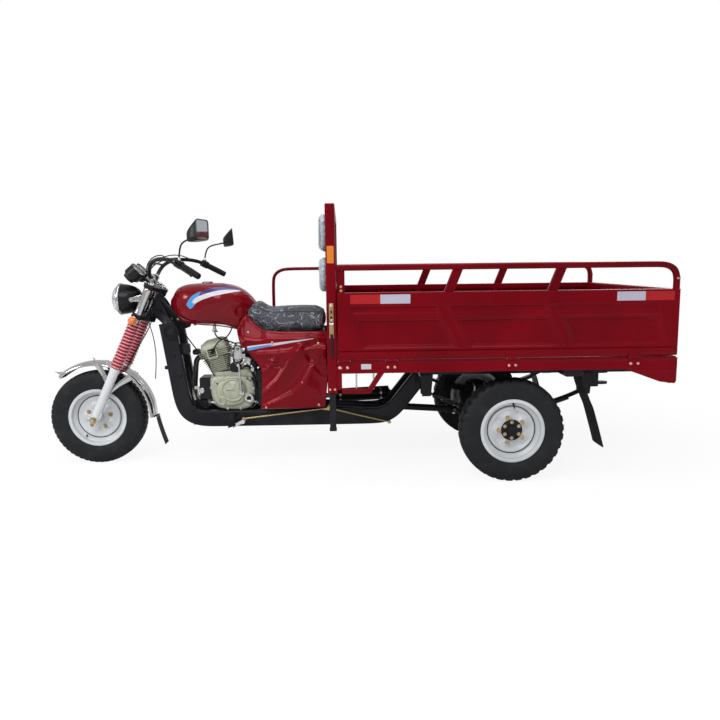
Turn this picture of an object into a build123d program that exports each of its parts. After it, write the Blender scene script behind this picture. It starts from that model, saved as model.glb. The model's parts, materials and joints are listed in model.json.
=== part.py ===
"""Cargo motor tricycle: one steered front wheel, a motorcycle front half and a drop-sided load bed.

Millimetres. +X is forward, +Y is the left side, +Z is up. The origin is on the ground under the
middle of the overall box. Stations are distances aft of the front axle.
"""
from build123d import *
from math import cos, pi, radians, sin, sqrt, tan
import os

# ---------------------------------------------------------------- driving dimensions
WHEELBASE = 2305.0
TRACK = 980.0
FIT_GAP = 0.3
RUN_GAP = 0.05

# wheels
TYRE_R = 272.5
TYRE_W = 125.0
LUG_DEEP = 7.0
LUG_PITCH = 65.8
RIM_SEAT_R = 152.4
RIM_FLANGE_R = 167.5
RIM_HALF_W = 50.0
RIM_WALL = 4.0
FRONT_HUB_R = 52.0
REAR_HUB_R = 58.0
FRONT_AXLE_R = 8.0
HALF_SHAFT_R = 15.0
DRUM_R = 105.0

# fork and steering
RAKE = 25.2
FORK_SPREAD = 100.0
STEER_OFFSET = 50.0
FORK_LEG_R = 21.0
GAITER_R = 30.0
GAITER_PITCH = 19.3
FORK_COVER_R = 26.0
GAITER_LOW = 328.0
LOWER_YOKE = 640.0
YOKE_THICK = 24.0
HEAD_TUBE_LENGTH = 156.0
HEAD_TUBE_R = 24.0
STEM_R = 12.5
INDICATOR_R = 24.0

# bars
BAR_R = 11.0
BAR_T = 352.0
BAR_Z = 1076.0
GRIP_R = 17.0
GRIP_LENGTH = 122.0
SWITCH_R = 21.0
HEADLAMP_R = 92.0
HEADLAMP_Z = 955.0
HEADLAMP_FACE = 157.0
HEADLAMP_DEEP = 123.0
GAUGE_R = 47.0
FENDER_R = 345.0
FENDER_HALF_W = 66.0
FENDER_THICK = 2.5

# frame
CRADLE_Y = 95.0
CRADLE_DEEP = 90.0
CRADLE_WIDE = 44.0
CRADLE_Z = 268.0
LADDER_Y = 350.0
LADDER_BOTTOM = 548.0
LADDER_WIDE = 44.0
SEAT_PAN_TOP = 764.0
SEAT_PAN_HALF_W = 150.0
COVER_Y = 194.0
COVER_THICK = 8.0
TANK_TUNNEL_Z = 882.0
CASE_BOTTOM = 316.0

# load bed
BED_FRONT = 1401.0
BED_LENGTH = 1712.0
BED_HALF_W = 612.0
SILL_BOTTOM = 600.0
SILL_DEEP = 56.0
SILL_WIDE = 40.0
DECK_THICK = 4.0
JOIST_DEEP = 36.0
GATE_HEIGHT = 332.0
GATE_THICK = 32.0
GATE_PRESSED = 10.0
GATE_SEAM = 12.0
GATE_SIDE_GAP = 6.0
RAIL_TOP = 1137.0
RAIL_R = 15.0
HEADBOARD_TOP = 1431.0
HEADBOARD_BOTTOM = 498.0
HEADBOARD_THICK = 48.0
POST_WIDE = 34.0
STEP_POST_FOOT = 306.0
LAMP_DEPTH = 34.5
HINGE_R = 5.0
PIN_R = 2.5
HINGE_WIDE = 60.0
HINGE_LEAF = 3.0

# seat and rests
CUSHION_THICK = 40.0
ARMREST_R = 10.0
ARMREST_Y = 360.0

# rear axle and springs
AXLE_TUBE_R = 36.0
AXLE_TUBE_END = 400.0
SPRING_EYE_Z = 455.0
SPRING_SPAN = 858.0
SPRING_WIDE = 56.0
SPRING_LEAF = 9.0
EYE_BOLT_R = 7.0
SPRING_PAD = 12.0
TOW_PIN_R = 8.5

# ---------------------------------------------------------------- worked-out places
BED_REAR = BED_FRONT + BED_LENGTH
FRONT_AXLE_X = (BED_REAR + LAMP_DEPTH - TYRE_R) / 2
AXLE_Z = TYRE_R
WHEEL_Y = TRACK / 2
GAITER_HIGH = LOWER_YOKE - 22
UPPER_YOKE = LOWER_YOKE + YOKE_THICK + HEAD_TUBE_LENGTH + 2
FORK_UP = (-sin(radians(RAKE)), 0, cos(radians(RAKE)))
FORK_AHEAD = (cos(radians(RAKE)), 0, sin(radians(RAKE)))
CRADLE_OUT = CRADLE_Y + CRADLE_WIDE / 2
RAIL_UPPER = CRADLE_Z + CRADLE_DEEP / 2
SILL_TOP = SILL_BOTTOM + SILL_DEEP
DECK_TOP = SILL_BOTTOM + JOIST_DEEP + DECK_THICK
GATE_BOTTOM = SILL_TOP + GATE_SEAM
GATE_TOP = GATE_BOTTOM + GATE_HEIGHT
HINGE_Y = BED_HALF_W + HINGE_LEAF + HINGE_R
HINGE_Z = (SILL_TOP + GATE_BOTTOM) / 2
HEADBOARD_FRONT = BED_FRONT - HEADBOARD_THICK
SIDE_HINGES = [BED_FRONT + BED_LENGTH * share for share in (0.021, 0.158, 0.512, 0.872)]
TAIL_HINGES = [BED_HALF_W * share for share in (-0.69, 0, 0.69)]
ARMREST_FOOT = (1000.0, 723.0)


# ---------------------------------------------------------------- helpers
def aft(t):
    """X of a station t behind the front axle."""
    return FRONT_AXLE_X - t


def at(t, y, z):
    """Point t behind the front axle."""
    return (aft(t), y, z)


def fork(x, y, z):
    """Point in the raked fork's own axes: x ahead of the legs, z up along them from the axle."""
    return (FRONT_AXLE_X + x * FORK_AHEAD[0] + z * FORK_UP[0], y, AXLE_Z + x * FORK_AHEAD[2] + z * FORK_UP[2])


def fork_plane(x, y, z):
    """Plane across the fork's legs."""
    return Plane(origin=fork(x, y, z), x_dir=FORK_AHEAD, z_dir=FORK_UP)


def block(t0, t1, y0, y1, z0, z1):
    """Box between two stations, two widths and two heights."""
    size = (abs(t1 - t0), abs(y1 - y0), abs(z1 - z0))
    return Pos(aft((t0 + t1) / 2), (y0 + y1) / 2, (z0 + z1) / 2) * Box(*size)


def rod(p, q, r):
    """Round bar from p to q."""
    start, end = Vector(*p), Vector(*q)
    along = end - start
    low = (Align.CENTER, Align.CENTER, Align.MIN)
    return Plane(origin=start, z_dir=along) * Cylinder(r, along.length, align=low)


def cross_rod(t, y0, y1, z, r):
    """Round bar along Y."""
    return rod(at(t, y0, z), at(t, y1, z), r)


def pipe(points, r, bend):
    """Round bar along straight runs joined by arcs of radius bend, or of a list of radii."""
    path = FilletPolyline(*points, radius=bend) if len(points) > 2 else Line(*points)
    return sweep(Plane(origin=path @ 0, z_dir=path % 0) * Circle(r), path=path)


def beam(points, deep, wide, bend):
    """Rectangular bar along a path in an XZ plane, wide across Y and deep across the path."""
    path = FilletPolyline(*points, radius=bend) if len(points) > 2 else Line(*points)
    section = Plane(origin=path @ 0, z_dir=path % 0, x_dir=(0, 1, 0)) * Rectangle(wide, deep)
    return sweep(section, path=path)


def plate(outline, y0, y1):
    """Outline of (station, height) points, as thick as y0 to y1."""
    face = make_face(Polyline(*[(aft(t), z) for t, z in outline], close=True))
    return Plane(origin=(0, y1, 0), x_dir=(1, 0, 0), z_dir=(0, -1, 0)) * extrude(face, y1 - y0)


def turned(profile, t, y, z, arc=360.0):
    """Solid of revolution about Y: profile of (radius, offset along Y) points."""
    return Pos(aft(t), y, z) * revolve(make_face(Polyline(*profile, close=True)), Axis.Y, arc)


def turned_x(profile, z):
    """Solid of revolution about a fore and aft axis: profile of (radius, station) points."""
    face = make_face(Polyline(*[(aft(t), r) for r, t in profile], close=True))
    return Pos(0, 0, z) * revolve(face, Axis.X)


def mirrored(shape):
    """The same shape on the right side."""
    return mirror(shape, about=Plane.XZ)


def both(shape):
    """The shape and its mirror image, as separate solids."""
    return Compound([*shape.solids(), *mirrored(shape).solids()])


def symmetric(shape):
    """The shape fused with its mirror image."""
    return shape + mirrored(shape)


NODES = {}


def save(name, shape):
    """Write one node."""
    NODES[name] = shape
    export_step(Compound(shape.solids()), f"parts/{name}.step")


# ---------------------------------------------------------------- wheels
def tyre_profile(tread_r):
    """Half section mirrored about the wheel's middle, from bead to tread."""
    half, seat, bead = TYRE_W / 2, RIM_SEAT_R + FIT_GAP, RIM_HALF_W - FIT_GAP
    right = [(seat, bead), (RIM_FLANGE_R + 2, bead), (RIM_FLANGE_R + 14, half - 4), (TYRE_R - 52, half),
             (TYRE_R - 26, half - 2), (TYRE_R - 11, half - 9), (tread_r, half - 20)]
    return right + [(r, -w) for r, w in reversed(right)]


def front_tyre():
    """Ribbed road tyre."""
    body = turned(tyre_profile(TYRE_R), 0, 0, AXLE_Z)
    for y in (-24, 0, 24):
        groove = [(TYRE_R + 1, y - 2.5), (TYRE_R + 1, y + 2.5), (TYRE_R - 5, y + 2.5), (TYRE_R - 5, y - 2.5)]
        body -= turned(groove, 0, 0, AXLE_Z)
    save("front_tyre", body)


def rear_tyre(name, y):
    """Block-tread tyre: shoulder lugs both sides of a middle rib."""
    body = turned(tyre_profile(TYRE_R - LUG_DEEP), WHEELBASE, y, AXLE_Z)
    half = TYRE_W / 2
    rib = [(TYRE_R - LUG_DEEP - 2, -12), (TYRE_R, -12), (TYRE_R, 12), (TYRE_R - LUG_DEEP - 2, 12)]
    lugs_round = round(2 * pi * TYRE_R / LUG_PITCH)
    lug_arc = 360 / lugs_round
    lug_profile = [(TYRE_R - 34, half - 2), (TYRE_R - 32, half + 2.5), (TYRE_R - 14, half - 3), (TYRE_R, half - 17),
                   (TYRE_R, half - 42), (TYRE_R - 14, half - 42)]
    lug = revolve(make_face(Polyline(*lug_profile, close=True)), Axis.Y, lug_arc * 0.56)
    lugs = [turned(rib, WHEELBASE, y, AXLE_Z)]
    for i in range(lugs_round):
        turn = Pos(aft(WHEELBASE), y, AXLE_Z) * Rot(0, i * lug_arc, 0)
        offset = Pos(aft(WHEELBASE), y, AXLE_Z) * Rot(0, (i + 0.5) * lug_arc, 0)
        lugs += [turn * lug, offset * mirrored(lug)]
    save(f"{name}_tyre", body + lugs)


def rim(y, t, side, hub_r):
    """Drop-centre barrel with a dished disc; side is +1 or -1, the way the dish faces."""
    wall, seat, flange, half = RIM_WALL, RIM_SEAT_R, RIM_FLANGE_R, RIM_HALF_W
    well = seat - 22
    outer = [(flange, -half - wall), (flange, -half), (seat, -half), (seat, -half + 22), (well, -half + 34),
             (well, half - 34), (seat, half - 22), (seat, half), (flange, half), (flange, half + wall)]
    inner = [(seat - wall, half + wall), (seat - wall, half - 24), (well - wall, half - 36)]
    disc = [(well - 12, half - 40), (118.0, half - 40), (104.0, half - 26), (82.0, half - 24),
            (hub_r, half - 30), (hub_r, half - 36), (80.0, half - 30), (100.0, half - 32),
            (116.0, half - 46), (well - wall, half - 46)]
    back = [(well - wall, -half + 36), (seat - wall, -half + 24), (seat - wall, -half - wall)]
    profile = [(r, side * w) for r, w in outer + inner + disc + back]
    return turned(profile, t, y, AXLE_Z)


def front_wheel():
    """Tyre, disc wheel, and hub with its bore on the axle."""
    front_tyre()
    save("front_rim", rim(0, 0, 1, FRONT_HUB_R))
    bore, hub = FRONT_AXLE_R + RUN_GAP, FRONT_HUB_R - FIT_GAP
    end = FORK_SPREAD - FORK_LEG_R - 13
    profile = [(bore, -30.0), (60.0, -30.0), (60.0, 0.0), (hub, 6.0), (hub, 34.0), (28.0, 40.0), (28.0, end),
               (bore, end)]
    save("front_hub", turned(profile, 0, 0, AXLE_Z))


def rear_wheel(name, side):
    """Tyre, disc wheel, and the hub with its drum and half shaft."""
    y = side * WHEEL_Y
    rear_tyre(name, y)
    save(f"{name}_rim", rim(y, WHEELBASE, side, REAR_HUB_R))
    hub = REAR_HUB_R - FIT_GAP
    shaft_in = AXLE_TUBE_END - 55 - WHEEL_Y
    drum_in = AXLE_TUBE_END + 8 - WHEEL_Y
    profile = [(0.0, shaft_in), (HALF_SHAFT_R, shaft_in), (HALF_SHAFT_R, drum_in), (DRUM_R, drum_in),
               (DRUM_R, -12.0), (hub, -6.0), (hub, 30.0), (36.0, 44.0), (30.0, 52.0), (0.0, 52.0)]
    save(f"{name}_hub", turned([(r, side * w) for r, w in profile], WHEELBASE, y, AXLE_Z))


def front_axle():
    """Through axle with its nuts."""
    outer = FORK_SPREAD + FORK_LEG_R
    axle = cross_rod(0, -outer - 9, outer + 9, AXLE_Z, FRONT_AXLE_R)
    nut = cross_rod(0, outer, outer + 15, AXLE_Z, 15)
    save("front_axle", axle + symmetric(nut))


# ---------------------------------------------------------------- fork
def fork_legs():
    """Lower sliders, rubber gaiters and chrome upper covers with the headlamp ears."""
    lowers = rod(fork(0, FORK_SPREAD, -22), fork(0, FORK_SPREAD, GAITER_LOW), FORK_LEG_R)
    lowers += rod(fork(0, FORK_SPREAD, GAITER_LOW - 22), fork(0, FORK_SPREAD, GAITER_LOW), FORK_LEG_R + 5)
    lowers -= cross_rod(0, 0, 2 * FORK_SPREAD, AXLE_Z, FRONT_AXLE_R + RUN_GAP)
    save("fork_lowers", both(lowers))
    folds = round((GAITER_HIGH - GAITER_LOW) / GAITER_PITCH)
    pitch = (GAITER_HIGH - GAITER_LOW) / folds
    profile = [(0, GAITER_LOW)]
    for fold in range(folds):
        base = GAITER_LOW + fold * pitch
        profile += [(GAITER_R - 7, base), (GAITER_R, base + pitch / 2)]
    profile += [(GAITER_R - 7, GAITER_HIGH), (0, GAITER_HIGH)]
    gaiter = revolve(Plane.XZ * make_face(Polyline(*profile, close=True)), Axis.Z)
    save("fork_gaiters", both(fork_plane(0, FORK_SPREAD, 0) * gaiter))
    low = rod(fork(0, FORK_SPREAD, GAITER_HIGH), fork(0, FORK_SPREAD, LOWER_YOKE), FORK_COVER_R)
    cover = rod(fork(0, FORK_SPREAD, LOWER_YOKE + YOKE_THICK), fork(0, FORK_SPREAD, UPPER_YOKE), FORK_COVER_R)
    ear_t = HEADLAMP_FACE + 88
    ear = cross_rod(ear_t, HEADLAMP_R - 37, FORK_SPREAD - 21, HEADLAMP_Z, 12)
    arm = plate([(ear_t - 5, HEADLAMP_Z - 12), (ear_t - 5, HEADLAMP_Z + 12), (ear_t + 73, HEADLAMP_Z + 20),
                 (ear_t + 73, HEADLAMP_Z - 10)], FORK_SPREAD - 26, FORK_SPREAD - 21)
    cover += (ear - headlamp_shell()) + arm
    save("fork_covers", both(Compound([low.solid(), cover.solid()])))


def yokes():
    """Lower and upper clamps round the legs, joined by the stem, with the bar's risers."""
    def clamp(low):
        circles = [Pos(0, FORK_SPREAD) * Circle(32), Pos(0, -FORK_SPREAD) * Circle(32),
                   Pos(-STEER_OFFSET, 0) * Circle(30)]
        return fork_plane(0, 0, low) * extrude(make_hull((Sketch() + circles).edges()), YOKE_THICK)
    stem = rod(fork(-STEER_OFFSET, 0, LOWER_YOKE + YOKE_THICK), fork(-STEER_OFFSET, 0, UPPER_YOKE), STEM_R)
    riser = rod(fork(8, 45, UPPER_YOKE + YOKE_THICK - 4), at(BAR_T, 45, BAR_Z), 13)
    risers = symmetric(riser) - rod(at(BAR_T, -100, BAR_Z), at(BAR_T, 100, BAR_Z), BAR_R + FIT_GAP)
    save("fork_yokes", clamp(LOWER_YOKE) + stem + clamp(UPPER_YOKE) + risers)


# ---------------------------------------------------------------- bars and what they carry
def bar_half():
    """Left half of the bar's centre line, from the clamp outwards."""
    return [at(BAR_T, 0, BAR_Z), at(BAR_T, 70, BAR_Z), at(BAR_T + 16, 130, BAR_Z + 74),
            at(BAR_T + 88, 225, BAR_Z + 104), at(BAR_T + 196, 318, BAR_Z + 92), at(BAR_T + 338, 392, BAR_Z + 10)]


def from_bar_end(distance):
    """Point on the outer straight run of the bar, measured back from its end."""
    inner, outer = Vector(*bar_half()[-2]), Vector(*bar_half()[-1])
    return outer - (outer - inner).normalized() * distance


def handlebar():
    """Bar with its cross brace, and the grips on it."""
    half = bar_half()
    full = [(x, -y, z) for x, y, z in reversed(half[1:])] + half[1:]
    brace = rod(at(BAR_T + 20, -138, BAR_Z + 76), at(BAR_T + 20, 138, BAR_Z + 76), 6)
    save("handlebar", pipe(full, BAR_R, 40) + brace)
    grip = rod(from_bar_end(GRIP_LENGTH), from_bar_end(-6), GRIP_R)
    grip += rod(from_bar_end(GRIP_LENGTH), from_bar_end(GRIP_LENGTH - 6), GRIP_R + 5)
    save("grips", both(grip - rod(from_bar_end(GRIP_LENGTH + 3), from_bar_end(0), BAR_R + FIT_GAP)))


def bar_controls():
    """Switch blocks and the levers on their perches."""
    block_in, block_out = GRIP_LENGTH + 38, GRIP_LENGTH + 1
    switch = rod(from_bar_end(block_in), from_bar_end(block_out), SWITCH_R)
    perch, tip = from_bar_end(GRIP_LENGTH + 26), from_bar_end(8)
    out = Vector(46, 18, 8)
    pivot = perch + Vector(18, 7, 3)
    lever = rod(pivot, perch + out, 8) + rod(perch + out, tip + out, 5.5)
    lever += Pos(tip + out) * Sphere(8)
    bore = rod(from_bar_end(block_in + 10), from_bar_end(block_out - 15), BAR_R + FIT_GAP)
    save("bar_controls", both(switch + lever - bore))


def mirrors():
    """Rectangular mirrors on bent stalks."""
    foot = from_bar_end(GRIP_LENGTH + 24) + Vector(0, 0, SWITCH_R - 1)
    centre = Vector(*at(BAR_T + 360, 466, BAR_Z + 239))
    stalk = pipe([foot, foot + Vector(-6, 10, 60), centre + Vector(6, 0, -18)], 5, 30)
    across = Plane(origin=centre, x_dir=(0.2, 1, 0), z_dir=(-1, 0.2, 0.2))
    back, face = across.offset(-26), across.offset(22)
    head = loft(Sketch() + [back * RectangleRounded(84, 50, 16), face * RectangleRounded(134, 88, 16)])
    save("mirrors", both(stalk + head - NODES["bar_controls"]))


def headlamp_shell():
    """Bell-shaped shell with its rim."""
    face, back, r = HEADLAMP_FACE, HEADLAMP_FACE + HEADLAMP_DEEP, HEADLAMP_R
    profile = [(0, back), (34, back - 2), (58, back - 18), (74, back - 44), (r - 6, back - 80), (r - 5, face + 16),
               (r, face + 14), (r, face), (0, face)]
    return turned_x(profile, HEADLAMP_Z)


def headlamp():
    """Shell, and the domed lens in its chrome rim."""
    face, r = HEADLAMP_FACE, HEADLAMP_R
    lens = [(0, face), (r - 6, face), (r - 10, face - 10), (60, face - 28), (30, face - 39), (0, face - 42)]
    save("headlamp_shell", headlamp_shell())
    save("headlamp_lens", turned_x(lens, HEADLAMP_Z))


def instruments():
    """Twin round gauges in one pod, tipped back towards the rider, on a bracket from the yoke."""
    tilt = Vector(-cos(radians(40)), 0, sin(radians(40)))
    pod = Part()
    for side in (-1, 1):
        centre = Vector(*at(BAR_T - 90, side * (GAUGE_R + 3), BAR_Z + 28))
        pod += rod(centre - tilt * 38, centre + tilt * 30, GAUGE_R)
        pod += rod(centre - tilt * 52, centre - tilt * 38, GAUGE_R - 14)
    bridge = Plane(origin=at(BAR_T - 76, 0, BAR_Z + 6), z_dir=tilt) * Box(70, 60, 30)
    stem = plate([(BAR_T - 82, BAR_Z - 14), (BAR_T - 72, BAR_Z + 16), (BAR_T - 7, BAR_Z - 20),
                  (BAR_T - 14, BAR_Z - 36)], -16, 16)
    save("instruments", pod + bridge + stem - NODES["fork_yokes"])


def indicators():
    """Round turn signals on short stalks at the tops of the gaiters."""
    level = (GAITER_HIGH + LOWER_YOKE) / 2
    lamp = rod(fork(0, FORK_SPREAD + 40, level), fork(0, FORK_SPREAD + 84, level), INDICATOR_R)
    lamp += rod(fork(0, FORK_SPREAD + 84, level), fork(0, FORK_SPREAD + 92, level), INDICATOR_R - 6)
    stalk = rod(fork(0, FORK_SPREAD + 15, level), fork(0, FORK_SPREAD + 40, level), 7)
    save("front_indicators", both(lamp + stalk - NODES["fork_covers"]))


def front_fender():
    """Crowned strip over the wheel, its V stays, front ornament and hanging flap."""
    half, thick, r = FENDER_HALF_W, FENDER_THICK, FENDER_R
    first, last = 49, 181
    crown = [(r - 18, half), (r - 8, half - 2), (r - 3, half * 0.6), (r, 0)]
    outer = crown + [(q, -w) for q, w in reversed(crown[:-1])]
    inner = [(q - thick, w * (half - thick) / half) for q, w in reversed(outer)]
    ring = revolve(make_face(Polyline(*(outer + inner), close=True)), Axis.Y, last - first)
    fender = Pos(FRONT_AXLE_X, 0, AXLE_Z) * Rot(0, -last, 0) * ring
    for angle in (72, 146):
        foot = Vector(*fork(0, FORK_SPREAD - FORK_LEG_R - 3, 160))
        over = radians(angle)
        tip = Vector(FRONT_AXLE_X + (r - 13) * cos(over), half + 4, AXLE_Z + (r - 13) * sin(over))
        fender += symmetric(rod(foot, tip, 5) - NODES["fork_lowers"])
    over = radians(first + 3)
    nose = Vector(FRONT_AXLE_X + (r - 2) * cos(over), 0, AXLE_Z + (r - 2) * sin(over))
    fender += rod(nose + Vector(0, -22, 0), nose + Vector(0, 22, 0), 6) + rod(nose, nose + Vector(8, 0, 30), 6)
    flap = plate([(FENDER_R - 3, AXLE_Z - 2), (FENDER_R + 2, AXLE_Z), (FENDER_R + 44, AXLE_Z - 172),
                  (FENDER_R + 40, AXLE_Z - 174)], -34, 34)
    save("front_fender", fender + flap)


# ---------------------------------------------------------------- frame
def head_tube():
    """Steering head with its bore, and the neck plate that ties it to the backbone."""
    low = LOWER_YOKE + YOKE_THICK + 1
    high = low + HEAD_TUBE_LENGTH
    tube = rod(fork(-STEER_OFFSET, 0, low), fork(-STEER_OFFSET, 0, high), HEAD_TUBE_R)
    root, crown = Vector(*fork(-STEER_OFFSET - 15, 0, low + 8)), Vector(*fork(-STEER_OFFSET - 15, 0, high - 20))
    t0, t1 = FRONT_AXLE_X - root.X, FRONT_AXLE_X - crown.X
    neck = plate([(t1, crown.Z), (t0, root.Z), (t0 + 80, root.Z - 50), (t0 + 160, root.Z - 80),
                  (t0 + 180, root.Z - 10), (t0 + 118, root.Z + 20), (t1 + 40, crown.Z - 26)], -18, 18)
    bore = rod(fork(-STEER_OFFSET, 0, low - 5), fork(-STEER_OFFSET, 0, high + 5), STEM_R + RUN_GAP)
    return tube + neck - bore


def cradle_frame():
    """Head tube with the backbone, and the yoke that joins them to the two cradle rails."""
    backbone_z = TANK_TUNNEL_Z - 40
    backbone = beam([at(386, 0, backbone_z + 26), at(520, 0, backbone_z), at(980, 0, SEAT_PAN_TOP - 42)], 56, 40, 100)
    head_z = fork(0, 0, LOWER_YOKE)[2]
    inner = CRADLE_Y - CRADLE_WIDE / 2
    yoke = block(418, 500, -inner, inner, head_z - 95, head_z - 55) + block(430, 490, -18, 18, head_z - 60, backbone_z)
    saddle = block(600, 640, -18, 18, backbone_z - 22, TANK_TUNNEL_Z - FIT_GAP)
    save("cradle_frame", head_tube() + backbone + yoke + saddle)
    top = head_z - 50
    rail = beam([at(458, CRADLE_Y, top), at(520, CRADLE_Y, CRADLE_Z), at(WHEELBASE - 615, CRADLE_Y, CRADLE_Z),
                 at(WHEELBASE - 380, CRADLE_Y, LADDER_BOTTOM + 26)], CRADLE_DEEP, CRADLE_WIDE, 170)
    save("cradle_rails", both(rail - block(1500, 3000, 0, 2 * CRADLE_Y, LADDER_BOTTOM, LADDER_BOTTOM + 100)))


def seat_frame():
    """Posts on the cradle rails, the seat's side rails and pan, and bosses for the side covers."""
    post_in = CRADLE_OUT - 42
    rail_low, rail_high = SEAT_PAN_TOP - 58, SEAT_PAN_TOP - 24
    side = block(960, 1326, post_in, CRADLE_OUT, rail_low, rail_high)
    for t in (1000, 1290):
        side += block(t, t + 36, post_in, CRADLE_OUT, RAIL_UPPER, rail_low)
    cover_in = COVER_Y - COVER_THICK - FIT_GAP
    for t, z in ((1060, SEAT_PAN_TOP - 41), (1250, SEAT_PAN_TOP - 41), (1018, 400), (1308, 400)):
        side += cross_rod(t, CRADLE_OUT - 5, cover_in, z, 8)
    pan = block(980, 1016, -CRADLE_OUT, CRADLE_OUT, rail_low, rail_high) - NODES["cradle_frame"]
    pan += block(1010, 1326, -SEAT_PAN_HALF_W, SEAT_PAN_HALF_W, rail_high, SEAT_PAN_TOP)
    save("seat_frame", symmetric(side) + pan)


def crossmembers():
    """Separate bars between the frame's rails and under the deck, the engine's bearers, and the foot pegs."""
    inner = CRADLE_Y - CRADLE_WIDE / 2
    bars = [block(t, t + 50, -inner, inner, CRADLE_Z - 42, CRADLE_Z + 6) for t in (560, 1180, WHEELBASE - 685)]
    bars += [block(t, t + 35, -inner, inner, CRADLE_Z - 20, CASE_BOTTOM - FIT_GAP) for t in (725, 860)]
    pegs = both(cross_rod(800, CRADLE_OUT, CRADLE_OUT + 110, CRADLE_Z + 22, 14))
    rail_in, deck_in = LADDER_Y - LADDER_WIDE / 2, BED_HALF_W - SILL_WIDE
    bars.append(block(WHEELBASE - 465, WHEELBASE - 385, -rail_in, rail_in, LADDER_BOTTOM, SILL_BOTTOM))
    for t in (BED_FRONT + 19, WHEELBASE - 105, WHEELBASE + 255, BED_REAR - 223):
        bars.append(block(t, t + 50, -rail_in, rail_in, SILL_BOTTOM - 40, SILL_BOTTOM))
    for share in (1, 2, 3, 4):
        t = BED_FRONT + share * BED_LENGTH / 5
        bars.append(block(t - 20, t + 20, -deck_in, deck_in, SILL_BOTTOM, SILL_BOTTOM + JOIST_DEEP))
    save("crossmembers", Compound([b.solid() for b in bars] + list(pegs.solids())))


def rear_ladder():
    """The two rails under the bed, deeper over the springs than ahead of them."""
    y0, y1 = LADDER_Y - LADDER_WIDE / 2, LADDER_Y + LADDER_WIDE / 2
    rail = block(WHEELBASE - 465, BED_REAR - 53, y0, y1, LADDER_BOTTOM, SILL_BOTTOM)
    rail += block(BED_FRONT, WHEELBASE - 465, y0, y1, SILL_BOTTOM - 40, SILL_BOTTOM)
    save("rear_ladder", both(rail))


def spring_hangers():
    """Pairs of plates with a bolt, under the ladder, that hold the springs' eyes."""
    hangers = []
    reach = SPRING_WIDE / 2 + 8
    for s in (-1, 1):
        t = WHEELBASE + s * SPRING_SPAN / 2
        outline = [(t - 34, LADDER_BOTTOM), (t - 24, SPRING_EYE_Z - 22), (t + 24, SPRING_EYE_Z - 22),
                   (t + 34, LADDER_BOTTOM)]
        hanger = block(t - 34, t + 34, LADDER_Y - reach, LADDER_Y + reach, LADDER_BOTTOM - 10, LADDER_BOTTOM)
        for y0 in (LADDER_Y - reach, LADDER_Y + reach - 6):
            hanger += plate(outline, y0, y0 + 6)
        hanger += cross_rod(t, LADDER_Y - reach - 6, LADDER_Y + reach + 6, SPRING_EYE_Z, EYE_BOLT_R)
        hangers.append(hanger.solid())
    save("spring_hangers", both(Compound(hangers)))


# ---------------------------------------------------------------- load bed
def bed():
    """Sill ring with its deck, rear gussets and lower beam, and the front step brackets."""
    inner = BED_HALF_W - SILL_WIDE
    side = block(BED_FRONT, BED_REAR, inner, BED_HALF_W, SILL_BOTTOM, SILL_TOP)
    drop = SILL_BOTTOM - 76
    side += plate([(BED_REAR - 261, SILL_BOTTOM), (BED_REAR - 84, drop + 9), (BED_REAR, drop),
                   (BED_REAR, SILL_BOTTOM)], BED_HALF_W - 6, BED_HALF_W)
    side += block(BED_REAR - 40, BED_REAR, BED_HALF_W - 34, BED_HALF_W - 6, drop, SILL_BOTTOM)
    ring = block(BED_FRONT, BED_FRONT + SILL_WIDE, -inner, inner, SILL_BOTTOM, SILL_TOP)
    ring += block(BED_REAR - SILL_WIDE, BED_REAR, -inner, inner, SILL_BOTTOM, SILL_TOP)
    ring += block(BED_REAR - 34, BED_REAR - 4, -inner - 6, inner + 6, drop + 8, drop + 38)
    ring += block(BED_FRONT + SILL_WIDE, BED_REAR - SILL_WIDE, -inner, inner, DECK_TOP - DECK_THICK, DECK_TOP)
    save("bed_sill", symmetric(side) + ring)
    low = HEADBOARD_BOTTOM
    foot = plate([(BED_FRONT, SILL_BOTTOM), (BED_FRONT, low), (BED_FRONT + 167, low - 2),
                  (BED_FRONT + 235, SILL_BOTTOM), (BED_FRONT + 205, SILL_BOTTOM), (BED_FRONT + 155, low + 22),
                  (BED_FRONT + 24, low + 22), (BED_FRONT + 24, SILL_BOTTOM)], BED_HALF_W - 30, BED_HALF_W)
    save("step_brackets", both(foot))


def headboard():
    """Front wall of the bed: posts, crossbars, uprights, lower sheet and the board behind the rests."""
    front, inner = HEADBOARD_FRONT, BED_HALF_W - POST_WIDE
    post = block(front, BED_FRONT, inner, BED_HALF_W, HEADBOARD_BOTTOM, HEADBOARD_TOP)
    post += block(front, BED_FRONT, ARMREST_Y - 15, ARMREST_Y + 15, GATE_TOP + 24, HEADBOARD_TOP - 40)
    wall = block(front, BED_FRONT, -inner, inner, HEADBOARD_TOP - 40, HEADBOARD_TOP)
    wall += block(front, BED_FRONT, -inner, inner, GATE_TOP - 10, GATE_TOP + 24)
    wall += block(front, BED_FRONT, -inner, inner, SILL_BOTTOM, SILL_TOP)
    wall += block(BED_FRONT - 26, BED_FRONT - 20, -inner, inner, SILL_TOP, GATE_TOP - 10)
    wall += block(front, front + 6, 15 - ARMREST_Y, ARMREST_Y - 15, GATE_TOP + 24, HEADBOARD_TOP - 40)
    save("headboard", symmetric(post) + wall)
    leg = block(front + 8, BED_FRONT - 8, BED_HALF_W - 32, BED_HALF_W - 2, STEP_POST_FOOT, HEADBOARD_BOTTOM)
    save("step_posts", both(leg))


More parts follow.
